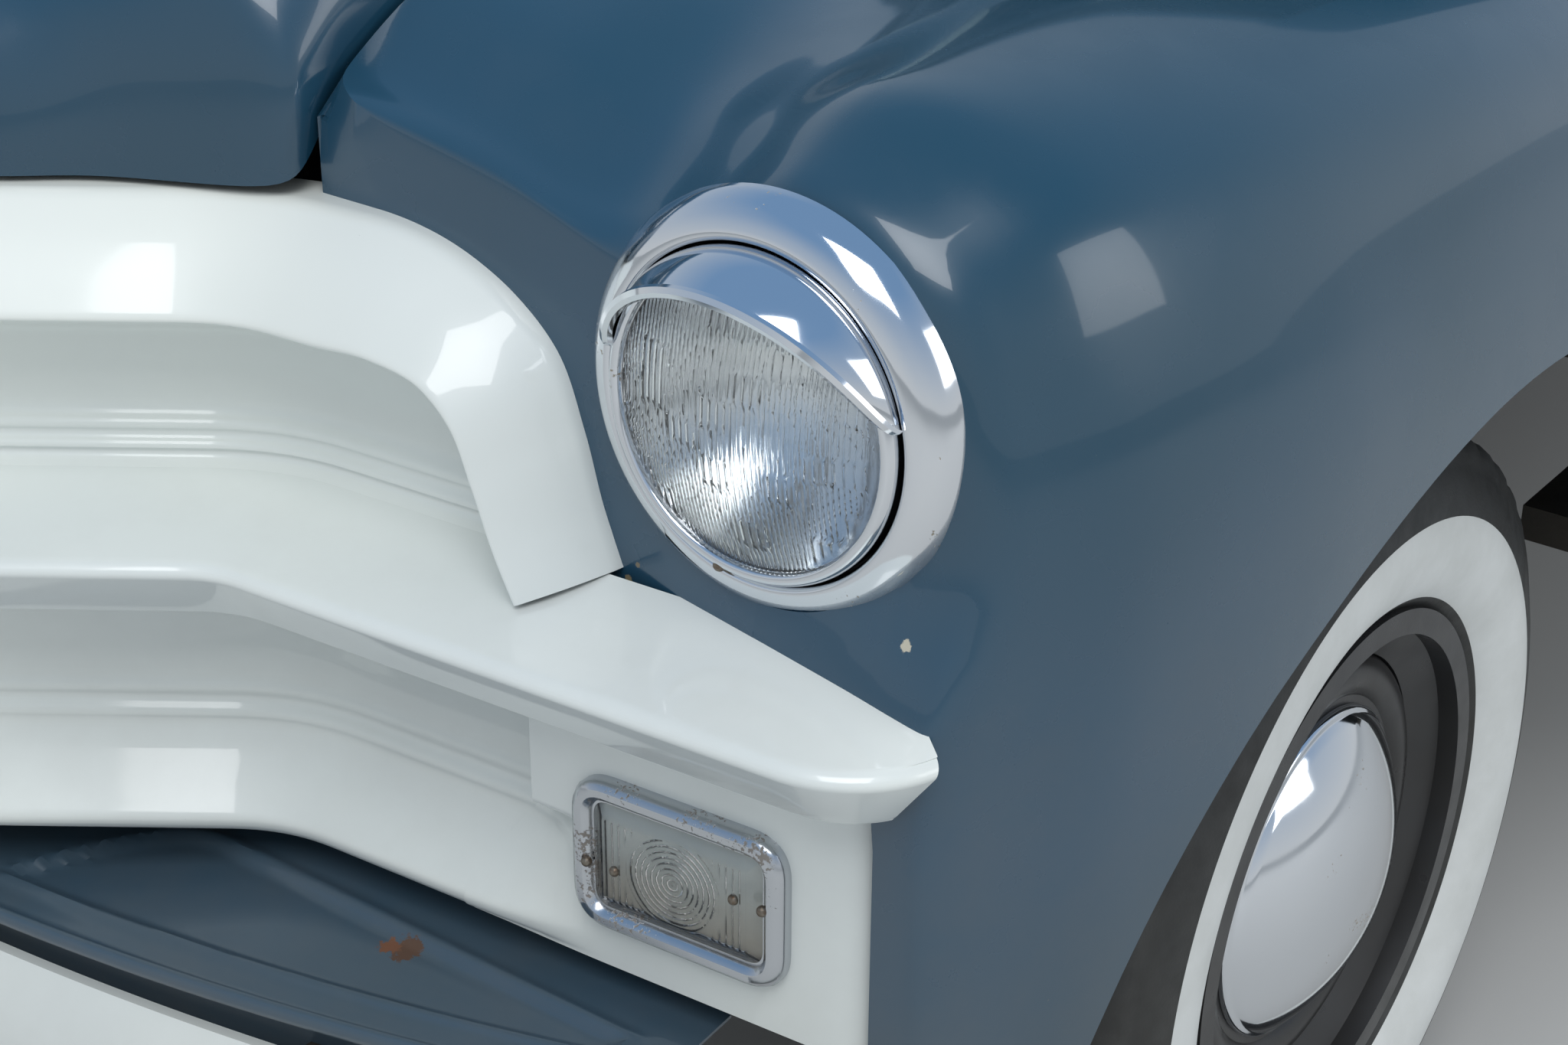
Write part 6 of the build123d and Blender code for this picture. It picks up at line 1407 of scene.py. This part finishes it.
def build_doors(grid):
    """Both doors from the cab's own surface, with window seals, handles and hinge knuckles."""
    beside = grid[..., 0] > CAB_SIDE_X
    rim = window_line()
    cut = np.where(beside, inside_outline(grid[..., 1:], door_line(0.0)), 1.0)
    cut = np.maximum(cut, pierced(grid, rim, (1, 2), beside))
    part = skin(grid, (0, AXLE_Y + 1.2, 1.0), wall=DOOR_WALL, cut=cut)
    seal = tube(surface_line(grid, rim[:-1], (1, 2), 0.0005, beside), 0.006, 10, closed=True)
    y, z, out = AXLE_Y + DOOR_BACK - 0.070, 1.236, 0.836
    stem = np.array([[out - 0.004, y, z], [out + 0.030, y, z], [out + 0.038, y, z]])
    s = np.linspace(0, 1, 40)
    bar = np.stack([out + 0.040 + 0.004 * np.sin(s * math.pi), y + 0.010 - 0.128 * s, z + 0 * s], 1)
    grip = tube(bar, 0.006 + 0.0035 * np.sin(np.clip(s * 1.04, 0, 1) * math.pi) ** 0.5, 20)
    handle = joined(tube(stem, [0.016, 0.010, 0.012], 24), grip)
    hinge = [hinge_tube(z - 0.030, z + 0.030) for z in HINGE_HEIGHTS]
    for side, turn in (("left", lambda item: item), ("right", flipped)):
        body = "door_" + side
        panel = turn(joined(part, *hinge))
        piece(body + "_panel", *panel, "slate_blue_enamel", body, "body_paint", [body])
        piece(body + "_seal", *turn(seal), "black_rubber_seal", body, "trim_dark")
        piece(body + "_handle", *turn(handle), "polished_chrome", body, "chrome")


def build_rear_fenders():
    """Barrel-shaped rear fenders with wheel arches cut out, closed at both ends against the bed."""
    y = np.linspace(REAR_FENDER_ROWS[0][0], REAR_FENDER_ROWS[-1][0], 82)
    side, top, side_z, low = between(REAR_FENDER_ROWS, y).T
    root = np.full_like(side, REAR_ROOT)
    via = np.stack([root + 0.72 * (side - root), side_z + 0.72 * (top - side_z)], 1)
    turn = arc(np.stack([root, top], 1), via, np.stack([side, side_z], 1), 40)
    share = np.linspace(0, 1, 16)[1:, None]
    drop = turn[:, -1:] + share * (np.stack([side - 0.008, low], 1) - turn[:, -1])[:, None]
    grid = fair(stood(np.concatenate([turn, drop], axis=1), REAR_AXLE_Y + y), 6)
    ends = [np.array([REAR_ROOT, REAR_AXLE_Y + y[i], 0.50]) + 0 * grid[i] for i in (0, -1)]
    grid = np.concatenate([ends[0][None], grid, ends[1][None]])
    cut = REAR_ARCH_R - np.hypot(grid[..., 1] - REAR_AXLE_Y, grid[..., 2] - AXLE_Z)
    cut = np.where(grid[..., 0] > 0.672, cut, np.minimum(cut, -0.001))
    part = both_sides(skin(grid, (REAR_ROOT, REAR_AXLE_Y, 0.6), wall=SHEET, cut=cut))
    piece("rear_fender_panels", *part, *BLUE, ["rear_fenders"])


def tyre_profile():
    """Section of a tyre in radius and distance outwards, with the tread sampled finely."""
    bead, wall_top, shoulder = (0.217, 0.0605), (0.329, 0.066), (0.349, 0.045)
    wall = arc(bead, (0.275, 0.083), wall_top, 22)[0][1:]
    corner = arc(wall_top, (0.345, 0.057), shoulder, 6)[0][1:]
    half = arc(shoulder, (0.355, 0.0), (0.349, -0.045), 61)[0][1:31]
    line = np.vstack([(0.203, 0.0605), bead, wall, corner, half])
    return np.vstack([line, (line * [1, -1])[-2::-1]])


def build_tyres(tyres):
    """Tyres: zigzag grooves and shoulder notches cut the tread, and a raised white band rings the outer wall.

    Groove depth is a smoothed band round each groove's centre line, which swings with a triangle wave."""
    profile = tyre_profile()
    count, zigzags, notches, swing = 156, 26, 52, 0.004
    band_in, band_out, band_x = 0.225, 0.292, 0.05
    angle = np.linspace(0, 2 * math.pi, count + 1)[:, None]
    radius, across = profile[None, :, 0], profile[None, :, 1]
    wave = np.abs(np.mod(angle * zigzags / math.pi, 2) - 1) - 0.5
    depth = np.zeros((count + 1, len(profile)))
    for place in np.linspace(-0.030, 0.030, tyres.grooves):
        groove = smooth_step((tyres.groove_width / 2 - np.abs(across - place - swing * wave)) / 0.0012)
        depth = np.maximum(depth, groove)
    shoulder = smooth_step((np.abs(across) - 0.046) / 0.004) * smooth_step((0.064 - np.abs(across)) / 0.004)
    notch = smooth_step((np.sin(angle * notches) - 0.2) / 0.5) * shoulder * (radius > 0.32)
    ring = smooth_step((radius - 0.2245) / 0.001) - smooth_step((radius - 0.2915) / 0.001)
    ring = ring * (across > band_x)
    far = radius - tyres.groove_depth * depth - 0.004 * notch
    out = across + 0.0007 * ring - 0.0015 * notch * np.sign(across)
    for name, side in (("front_left", 1), ("front_right", -1), ("rear_left", 1), ("rear_right", -1)):
        low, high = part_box("tyre_" + name)
        centre = [(a + b) / 2 for a, b in zip(low, high)]
        grid = np.stack([side * out, far * np.cos(angle), far * np.sin(angle)], -1) + centre
        points, faces = skin(np.concatenate([grid, grid[:, :1]], axis=1), centre)
        spots = []
        for group in faces:
            middle = points[group].mean(1) - centre
            away = np.hypot(middle[:, 1], middle[:, 2])
            white = (away > band_in) & (away < band_out) & (side * middle[:, 0] > band_x)
            spots.append(white.astype(int))
        body = "wheel_" + name
        finish = ["tyre_rubber", "whitewall_rubber"]
        stands_for = ["tyre_" + name]
        piece("tyre_" + name + "_tread", points, faces, finish, body, "tyre", stands_for, spots=spots)
        cap = [(0.1325, 0.0345), (0.1330, 0.0375), (0.1312, 0.0400), (0.1275, 0.0415), (0.1245, 0.0450)]
        crown = arc((0.1245, 0.0450), (0.0700, 0.0752), (0.0002, 0.0858), 30)[0]
        cap = np.vstack([soft(cap, 0.001, 4), crown[1:]])
        behind = (centre[0] - side * 0.05, centre[1], centre[2])
        part = skin(turned(cap * [1, side], centre, "left"), behind)
        piece("hub_cap_" + name + "_dome", *part, "polished_chrome", body, "chrome", ["hub_cap_" + name])


def cushion_form(outline, half, pleats, crown):
    """A bench cushion as a closed grid: rounded section in y and z, pleated across and crowned.

    Fullness between two pleats is a power of the sine over the pleat's width, and falls off at the ends."""
    x = np.linspace(-1, 1, 12 * pleats + 1)
    line = loop_soft(outline, 0.035, 7)
    middle = line[:-1].mean(0)
    away = line - middle
    away /= np.linalg.norm(away, axis=1, keepdims=True)
    full = np.abs(np.sin(x * pleats * math.pi / 2)) ** 0.55
    taper = np.sqrt(np.clip(1 - np.abs(x) ** 24, 0, 1))
    swell = (crown * (0.35 + 0.65 * full) - crown)[:, None] * taper[:, None]
    shrink = 0.90 + 0.10 * taper[:, None, None]
    place = middle + (line - middle)[None] * shrink + away[None] * swell[..., None]
    grid = np.stack([np.broadcast_to((x * half)[:, None], place.shape[:2]), place[..., 0], place[..., 1]], -1)
    ends = [np.broadcast_to(grid[i].mean(0), (1, *grid.shape[1:])) for i in (0, -1)]
    return np.concatenate([ends[0], grid, ends[1]])


def build_seats(seats):
    """The bench's two cushions: pleated vinyl over springs, puffed up as cloth."""
    low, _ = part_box("seat_cushions")
    y0, z0, y1 = low[1], low[2] - 0.168, low[1] + 0.510
    base = [(y0 + 0.030, z0 + 0.190), (y1 - 0.036, z0 + 0.170), (y1 - 0.036, z0 + 0.300)]
    base += [(y0 + 0.060, z0 + 0.336), (y0 + 0.012, z0 + 0.318), (y0 + 0.004, z0 + 0.250)]
    back = [(y1 - 0.112, z0 + 0.335), (y1 - 0.016, z0 + 0.280), (y1 + 0.040, z0 + 0.700)]
    back += [(y1 + 0.014, z0 + 0.728), (y1 - 0.024, z0 + 0.712)]
    for name, outline in (("seat_base_pad", base), ("seat_back_pad", back)):
        grid = cushion_form(outline, 0.642, seats.pleats, seats.crown)
        part = skin(grid, grid.reshape(-1, 3).mean(0))
        obj = piece(name, *part, "pleated_vinyl", "chassis", "seat", ["seat_cushions"], 80)
        inflate(obj)


def inflate(obj):
    """Puffs a cushion up with cloth pressure, moves no point by more than a limit, and smooths it."""
    mesh = obj.data
    rest = np.array([v.co for v in mesh.vertices])
    cloth = obj.modifiers.new("cloth", "CLOTH")
    cloth.settings.use_pressure = True
    cloth.settings.uniform_pressure_force = 4.0
    cloth.settings.effector_weights.gravity = 0.0
    cloth.settings.tension_stiffness = 25.0
    cloth.settings.shrink_min = -0.01
    scene, frames, limit = bpy.context.scene, 20, 0.004
    for number in range(1, frames + 1):
        scene.frame_set(number)
    shape = obj.evaluated_get(bpy.context.evaluated_depsgraph_get()).to_mesh()
    moved = np.array([v.co for v in shape.vertices])
    obj.modifiers.remove(cloth)
    scene.frame_set(1)
    change = moved - rest
    size = np.linalg.norm(change, axis=1, keepdims=True)
    change *= np.minimum(1, limit / np.maximum(size, 1e-9))
    mesh.vertices.foreach_set("co", (rest + change).ravel())
    mesh.update()
    smooth = obj.modifiers.new("smooth", "SUBSURF")
    smooth.levels = 1
    smooth.render_levels = 1


def build_bed_details():
    """Carriage bolts in the bed floor, tail lamp rims, and ribs on the running boards."""
    bolt = through([(0.0001, 0.0026), (0.004, 0.0022), (0.0068, 0.0006), (0.0070, -0.001)], 3)
    bolts = []
    low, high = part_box("bed_floor")
    for column in range(1, 8):
        x = -0.640 + column * 0.160
        for y in np.linspace(low[1] + 0.06, high[1] - 0.06, 6):
            bolts.append(skin(turned(bolt, (x, y, BED_TOP), "up", 12), (x, y, 0.70)))
    piece("bed_bolts", *joined(*bolts), "worn_bolt_steel", "chassis", "steel")
    low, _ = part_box("tail_lamps")
    x, z = TAIL_LAMP
    rim = [(0.0505, 0.014), (0.0515, 0.040), (0.0510, 0.050), (0.0470, 0.053), (0.0445, 0.050)]
    grid = turned(soft(rim, 0.003, 5), (x, low[1], z), "back", 64)
    piece("tail_lamp_rims", *both_sides(skin(grid, (x, low[1] + 0.03, z))), *CHROME)
    low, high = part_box("running_boards")
    ribs = []
    for x in np.linspace(0.735, 0.875, 8):
        path = np.array([[x, low[1] + 0.10, BOARD_TOP], [x, high[1] - 0.12, BOARD_TOP]])
        ribs.append(tube(path, 0.0035, 8))
    piece("board_ribs", *both_sides(joined(*ribs)), "black_rubber_mat", "chassis", "frame_paint")


def build_dash():
    """Round gauges and knobs on the dashboard."""
    rims, dials, knobs = [], [], []
    _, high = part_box("dashboard")
    y = high[1] - 0.011
    for x, z, r in ((0.345, 1.225, 0.062), (0.220, 1.205, 0.030), (0.470, 1.205, 0.030)):
        ring = [(r + 0.006, -0.010), (r + 0.006, 0.004), (r + 0.001, 0.008)]
        ring += [(r - 0.003, 0.004), (r - 0.004, -0.004)]
        rims.append(skin(turned(soft(ring, 0.002, 4), (x, y, z), "back", 48), (x, y - 0.05, z)))
        dial = [(0.0001, -0.002), (r - 0.003, -0.002)]
        dials.append(skin(turned(dial, (x, y, z), "back", 48), (x, y - 0.5, z)))
    for x in (0.10, 0.04, -0.02, -0.08):
        path = np.array([[x, y - 0.01, 1.150], [x, y + 0.014, 1.150], [x, y + 0.022, 1.150]])
        knobs.append(tube(path, [0.004, 0.006, 0.012], 20))
    piece("gauge_rims", *joined(*rims), *CHROME)
    piece("gauge_dials", *joined(*dials), "cream_dial", "chassis", "trim_dark")
    piece("dash_knobs", *joined(*knobs), "black_bakelite", "chassis", "trim_dark")


def aim(thing, place, direction, roll=0.0):
    """Turns a camera or lamp at a place to look along a direction."""
    look = Vector(direction).normalized()
    side = look.cross(Vector((0, 0, 1))).normalized()
    up = side.cross(look)
    turn = math.radians(roll)
    right = side * math.cos(turn) + up * math.sin(turn)
    up = up * math.cos(turn) - side * math.sin(turn)
    rows = [(right[i], up[i], -look[i], place[i]) for i in range(3)]
    thing.matrix_world = Matrix((*rows, (0, 0, 0, 1)))


def build_floor(size):
    """Pale matt floor."""
    tree, place = new_finish("pale_floor")
    cloud = node(tree, "ShaderNodeTexNoise", {"Scale": 0.8, "Detail": 4.0}, {"Vector": place}).outputs["Fac"]
    colours = {6: linear("#c6c8c9"), 7: linear("#cdcecd")}
    base = node(tree, "ShaderNodeMix", colours, {0: cloud}, data_type="RGBA").outputs[2]
    shader = node(tree, "ShaderNodeBsdfPrincipled", {"Roughness": 0.85}, {"Base Color": base})
    node(tree, "ShaderNodeOutputMaterial", links={"Surface": shader.outputs["BSDF"]})
    mesh = bpy.data.meshes.new("floor")
    half = size / 2
    corners = [(-half, -half, 0), (half, -half, 0), (half, half, 0), (-half, half, 0)]
    mesh.from_pydata(corners, [], [(0, 1, 2, 3)])
    mesh.materials.append(MATERIALS["pale_floor"])
    floor = bpy.data.objects.new("floor", mesh)
    bpy.context.scene.collection.objects.link(floor)


def build_world(strength, sky_strength):
    """A world with one strength for paint and one for camera, glass and mirrors. Mirrors see blue above."""
    world = bpy.data.worlds.new("studio")
    bpy.context.scene.world = world
    world.use_nodes = True
    tree = world.node_tree
    tree.nodes.clear()
    rays = node(tree, "ShaderNodeLightPath").outputs
    links = {0: rays["Is Camera Ray"], 1: rays["Is Transmission Ray"]}
    seen = node(tree, "ShaderNodeMath", links=links, operation="MAXIMUM").outputs[0]
    links = {0: seen, 1: rays["Is Glossy Ray"]}
    seen = node(tree, "ShaderNodeMath", links=links, operation="MAXIMUM").outputs[0]
    power = node(tree, "ShaderNodeMapRange", {3: strength, 4: sky_strength}, {0: seen}).outputs[0]
    way = node(tree, "ShaderNodeTexCoord").outputs["Generated"]
    up = node(tree, "ShaderNodeSeparateXYZ", links={0: way}).outputs["Z"]
    links = {0: up, 4: rays["Is Glossy Ray"]}
    up = node(tree, "ShaderNodeMapRange", {1: 0.0, 2: 0.8}, links).outputs[0]
    colours = {6: linear("#e3e8ec"), 7: linear("#86acd6")}
    tint = node(tree, "ShaderNodeMix", colours, {0: up}, data_type="RGBA").outputs[2]
    sky = node(tree, "ShaderNodeBackground", links={"Color": tint, "Strength": power}).outputs[0]
    node(tree, "ShaderNodeOutputWorld", links={"Surface": sky})


def build_lights(stage):
    """Three soft lamps: ahead, above and on the left."""
    for name, spot, toward, size_x, size_y, power in (
        ("key", (2.4, -5.0, 6.0), (0.2, -1.8, 0.6), 3.5, 3.5, stage.key_power),
        ("top", (0.0, 0.0, 6.0), (0.0, 0.0, 0.0), 6.0, 8.0, stage.top_power),
        ("side", (7.0, 0.0, 3.5), (0.0, 0.0, 0.6), 4.0, 3.0, stage.side_power),
    ):
        data = bpy.data.lights.new(name, "AREA")
        data.shape = "RECTANGLE"
        data.size, data.size_y, data.energy = size_x, size_y, power
        lamp = bpy.data.objects.new(name, data)
        bpy.context.scene.collection.objects.link(lamp)
        aim(lamp, spot, [b - a for a, b in zip(spot, toward)])


def build_camera():
    """The photograph's camera."""
    camera = bpy.data.objects.new("camera", bpy.data.cameras.new("camera"))
    bpy.context.scene.collection.objects.link(camera)
    camera.data.sensor_fit = "HORIZONTAL"
    camera.data.sensor_width = SENSOR
    camera.data.lens = FOCAL_PIXELS * SENSOR / PHOTO_WIDTH
    camera.data.clip_start = 0.05
    a, e = math.radians(CAMERA_TURN), math.radians(CAMERA_DOWN)
    look = (-math.sin(a) * math.cos(e), math.cos(a) * math.cos(e), -math.sin(e))
    x, y, z = CAMERA_PLACE
    aim(camera, (x, AXLE_Y + y, z), look, CAMERA_ROLL)
    bpy.context.scene.camera = camera


def length(label, words, value):
    """A length property in metres."""
    return FloatProperty(
        name=label, description=words, default=value, min=0.0, unit="LENGTH", subtype="DISTANCE"
    )


def level(label, words, value):
    """A plain number property."""
    return FloatProperty(name=label, description=words, default=value, min=0.0)


def colour(label, words, value):
    """A colour property in sRGB."""
    return FloatVectorProperty(
        name=label, description=words, default=value, min=0.0, max=1.0, subtype="COLOR_GAMMA"
    )


class PickupLamps(bpy.types.PropertyGroup):
    """Sizes of the headlamps."""

    bezel_radius: length("Bezel radius", "Outer radius of the chrome bezel", 0.1185)
    inner_radius: length("Inner radius", "Inner radius of the bezel", 0.0957)
    bezel_rise: length("Bezel rise", "How far the bezel stands ahead of the fender", 0.020)
    glass_radius: length("Glass radius", "Radius of the retaining ring round the lens", 0.090)
    lens_bulge: length("Lens bulge", "How far the lens domes out", 0.022)
    visor_reach: length("Visor reach", "How far the shade stands out at its middle", 0.044)


class PickupTyres(bpy.types.PropertyGroup):
    """Tread of the tyres."""

    grooves: IntProperty(name="Grooves", description="Number of zigzag grooves", default=4, min=1)
    groove_width: length("Groove width", "Width of a groove", 0.007)
    groove_depth: length("Groove depth", "Depth of a groove", 0.006)


class PickupSeats(bpy.types.PropertyGroup):
    """Bench cushions."""

    pleats: IntProperty(name="Pleats", description="Number of pleats across the bench", default=12, min=2)
    crown: length("Crown", "How far the cushion swells between two seams", 0.014)


class PickupPaint(bpy.types.PropertyGroup):
    """Colours of the paint."""

    body_colour: colour("Body colour", "Blue of cab, hood, fenders and bed", (0.078, 0.243, 0.325))
    grille_colour: colour("Grille colour", "White of grille and bumpers", (0.905, 0.925, 0.905))


class PickupStage(bpy.types.PropertyGroup):
    """Light and floor."""

    floor_size: length("Floor size", "Side of the square floor", 60.0)
    key_power: level("Key power", "Power of the lamp ahead of the truck, in watts", 190.0)
    top_power: level("Top power", "Power of the lamp over the truck, in watts", 280.0)
    side_power: level("Side power", "Power of the lamp on the truck's left, in watts", 80.0)
    world_strength: level("World strength", "Light of the surroundings on the truck", 0.78)
    sky_strength: level("Sky strength", "Brightness of the background and of reflections", 0.80)


class PICKUP_OT_finishes(bpy.types.Operator):
    """Make every finish and give each carried-over node its own"""

    bl_idname = "pickup.finishes"
    bl_label = "Finishes"

    def execute(self, context):
        make_finishes(context.scene.pickup_paint)
        finish_nodes()
        return {"FINISHED"}


class PICKUP_OT_hood(bpy.types.Operator):
    """Build the hood's smooth panel"""

    bl_idname = "pickup.hood"
    bl_label = "Hood"

    def execute(self, context):
        build_hood()
        return {"FINISHED"}


class PICKUP_OT_front_fenders(bpy.types.Operator):
    """Build both front fenders"""

    bl_idname = "pickup.front_fenders"
    bl_label = "Front fenders"

    def execute(self, context):
        build_front_fenders()
        return {"FINISHED"}


class PICKUP_OT_grille(bpy.types.Operator):
    """Build the grille's arch, bars, baffles and lamp panels"""

    bl_idname = "pickup.grille"
    bl_label = "Grille"

    def execute(self, context):
        build_grille()
        return {"FINISHED"}


class PICKUP_OT_lamps(bpy.types.Operator):
    """Build the headlamps with their visors, and the parking lamps"""

    bl_idname = "pickup.lamps"
    bl_label = "Front lamps"

    def execute(self, context):
        build_headlamps(context.scene.pickup_lamps)
        build_parking_lamps()
        return {"FINISHED"}


class PICKUP_OT_bumpers(bpy.types.Operator):
    """Build the splash apron and both bumpers"""

    bl_idname = "pickup.bumpers"
    bl_label = "Apron and bumpers"

    def execute(self, context):
        build_apron()
        build_bumpers()
        return {"FINISHED"}


class PICKUP_OT_cab(bpy.types.Operator):
    """Build the cab body and both doors from one surface"""

    bl_idname = "pickup.cab"
    bl_label = "Cab and doors"

    def execute(self, context):
        build_doors(build_cab())
        return {"FINISHED"}


class PICKUP_OT_wheels(bpy.types.Operator):
    """Build the tyres with tread and whitewall, and the hub caps"""

    bl_idname = "pickup.wheels"
    bl_label = "Tyres and hub caps"

    def execute(self, context):
        build_tyres(context.scene.pickup_tyres)
        return {"FINISHED"}


class PICKUP_OT_bed(bpy.types.Operator):
    """Build the rear fenders, bed hardware, tail lamp rims and running board ribs"""

    bl_idname = "pickup.bed"
    bl_label = "Bed and rear fenders"

    def execute(self, context):
        build_rear_fenders()
        build_bed_details()
        return {"FINISHED"}


class PICKUP_OT_cabin(bpy.types.Operator):
    """Build the bench cushions and the dashboard's gauges and knobs"""

    bl_idname = "pickup.cabin"
    bl_label = "Cabin"

    def execute(self, context):
        build_seats(context.scene.pickup_seats)
        build_dash()
        return {"FINISHED"}


class PICKUP_OT_stage(bpy.types.Operator):
    """Set the floor, the world, the lamps and the camera"""

    bl_idname = "pickup.stage"
    bl_label = "Stage"

    def execute(self, context):
        stage = context.scene.pickup_stage
        build_floor(stage.floor_size)
        build_world(stage.world_strength, stage.sky_strength)
        build_lights(stage)
        build_camera()
        context.scene.view_settings.view_transform = "Standard"
        return {"FINISHED"}


STEPS = (
    PICKUP_OT_finishes,
    PICKUP_OT_hood,
    PICKUP_OT_front_fenders,
    PICKUP_OT_grille,
    PICKUP_OT_lamps,
    PICKUP_OT_bumpers,
    PICKUP_OT_cab,
    PICKUP_OT_wheels,
    PICKUP_OT_bed,
    PICKUP_OT_cabin,
    PICKUP_OT_stage,
)
GROUPS = {
    "pickup_lamps": PickupLamps,
    "pickup_tyres": PickupTyres,
    "pickup_seats": PickupSeats,
    "pickup_paint": PickupPaint,
    "pickup_stage": PickupStage,
}


class PICKUP_PT_panel(bpy.types.Panel):
    """Lists the truck's sizes and its building steps"""

    bl_idname = "PICKUP_PT_panel"
    bl_label = "Pickup Truck"
    bl_space_type = "VIEW_3D"
    bl_region_type = "UI"
    bl_category = "Pickup"

    def draw(self, context):
        for name, group in GROUPS.items():
            settings = getattr(context.scene, name)
            column = self.layout.column(align=True)
            for key in group.__annotations__:
                column.prop(settings, key)
        for step in STEPS:
            self.layout.operator(step.bl_idname)


def register():
    """Registers the classes and their settings."""
    for item in (*GROUPS.values(), *STEPS, PICKUP_PT_panel):
        bpy.utils.register_class(item)
    for name, group in GROUPS.items():
        setattr(bpy.types.Scene, name, PointerProperty(type=group))


def unregister():
    """Takes the classes and their settings away again."""
    for name in GROUPS:
        delattr(bpy.types.Scene, name)
    for item in reversed((*GROUPS.values(), *STEPS, PICKUP_PT_panel)):
        bpy.utils.unregister_class(item)


def main():
    """Dresses the truck step by step."""
    register()
    bpy.ops.pickup.finishes()
    bpy.ops.pickup.hood()
    bpy.ops.pickup.front_fenders()
    bpy.ops.pickup.grille()
    bpy.ops.pickup.lamps()
    bpy.ops.pickup.bumpers()
    bpy.ops.pickup.cab()
    bpy.ops.pickup.wheels()
    bpy.ops.pickup.bed()
    bpy.ops.pickup.cabin()
    bpy.ops.pickup.stage()


if __name__ == "__main__":
    main()
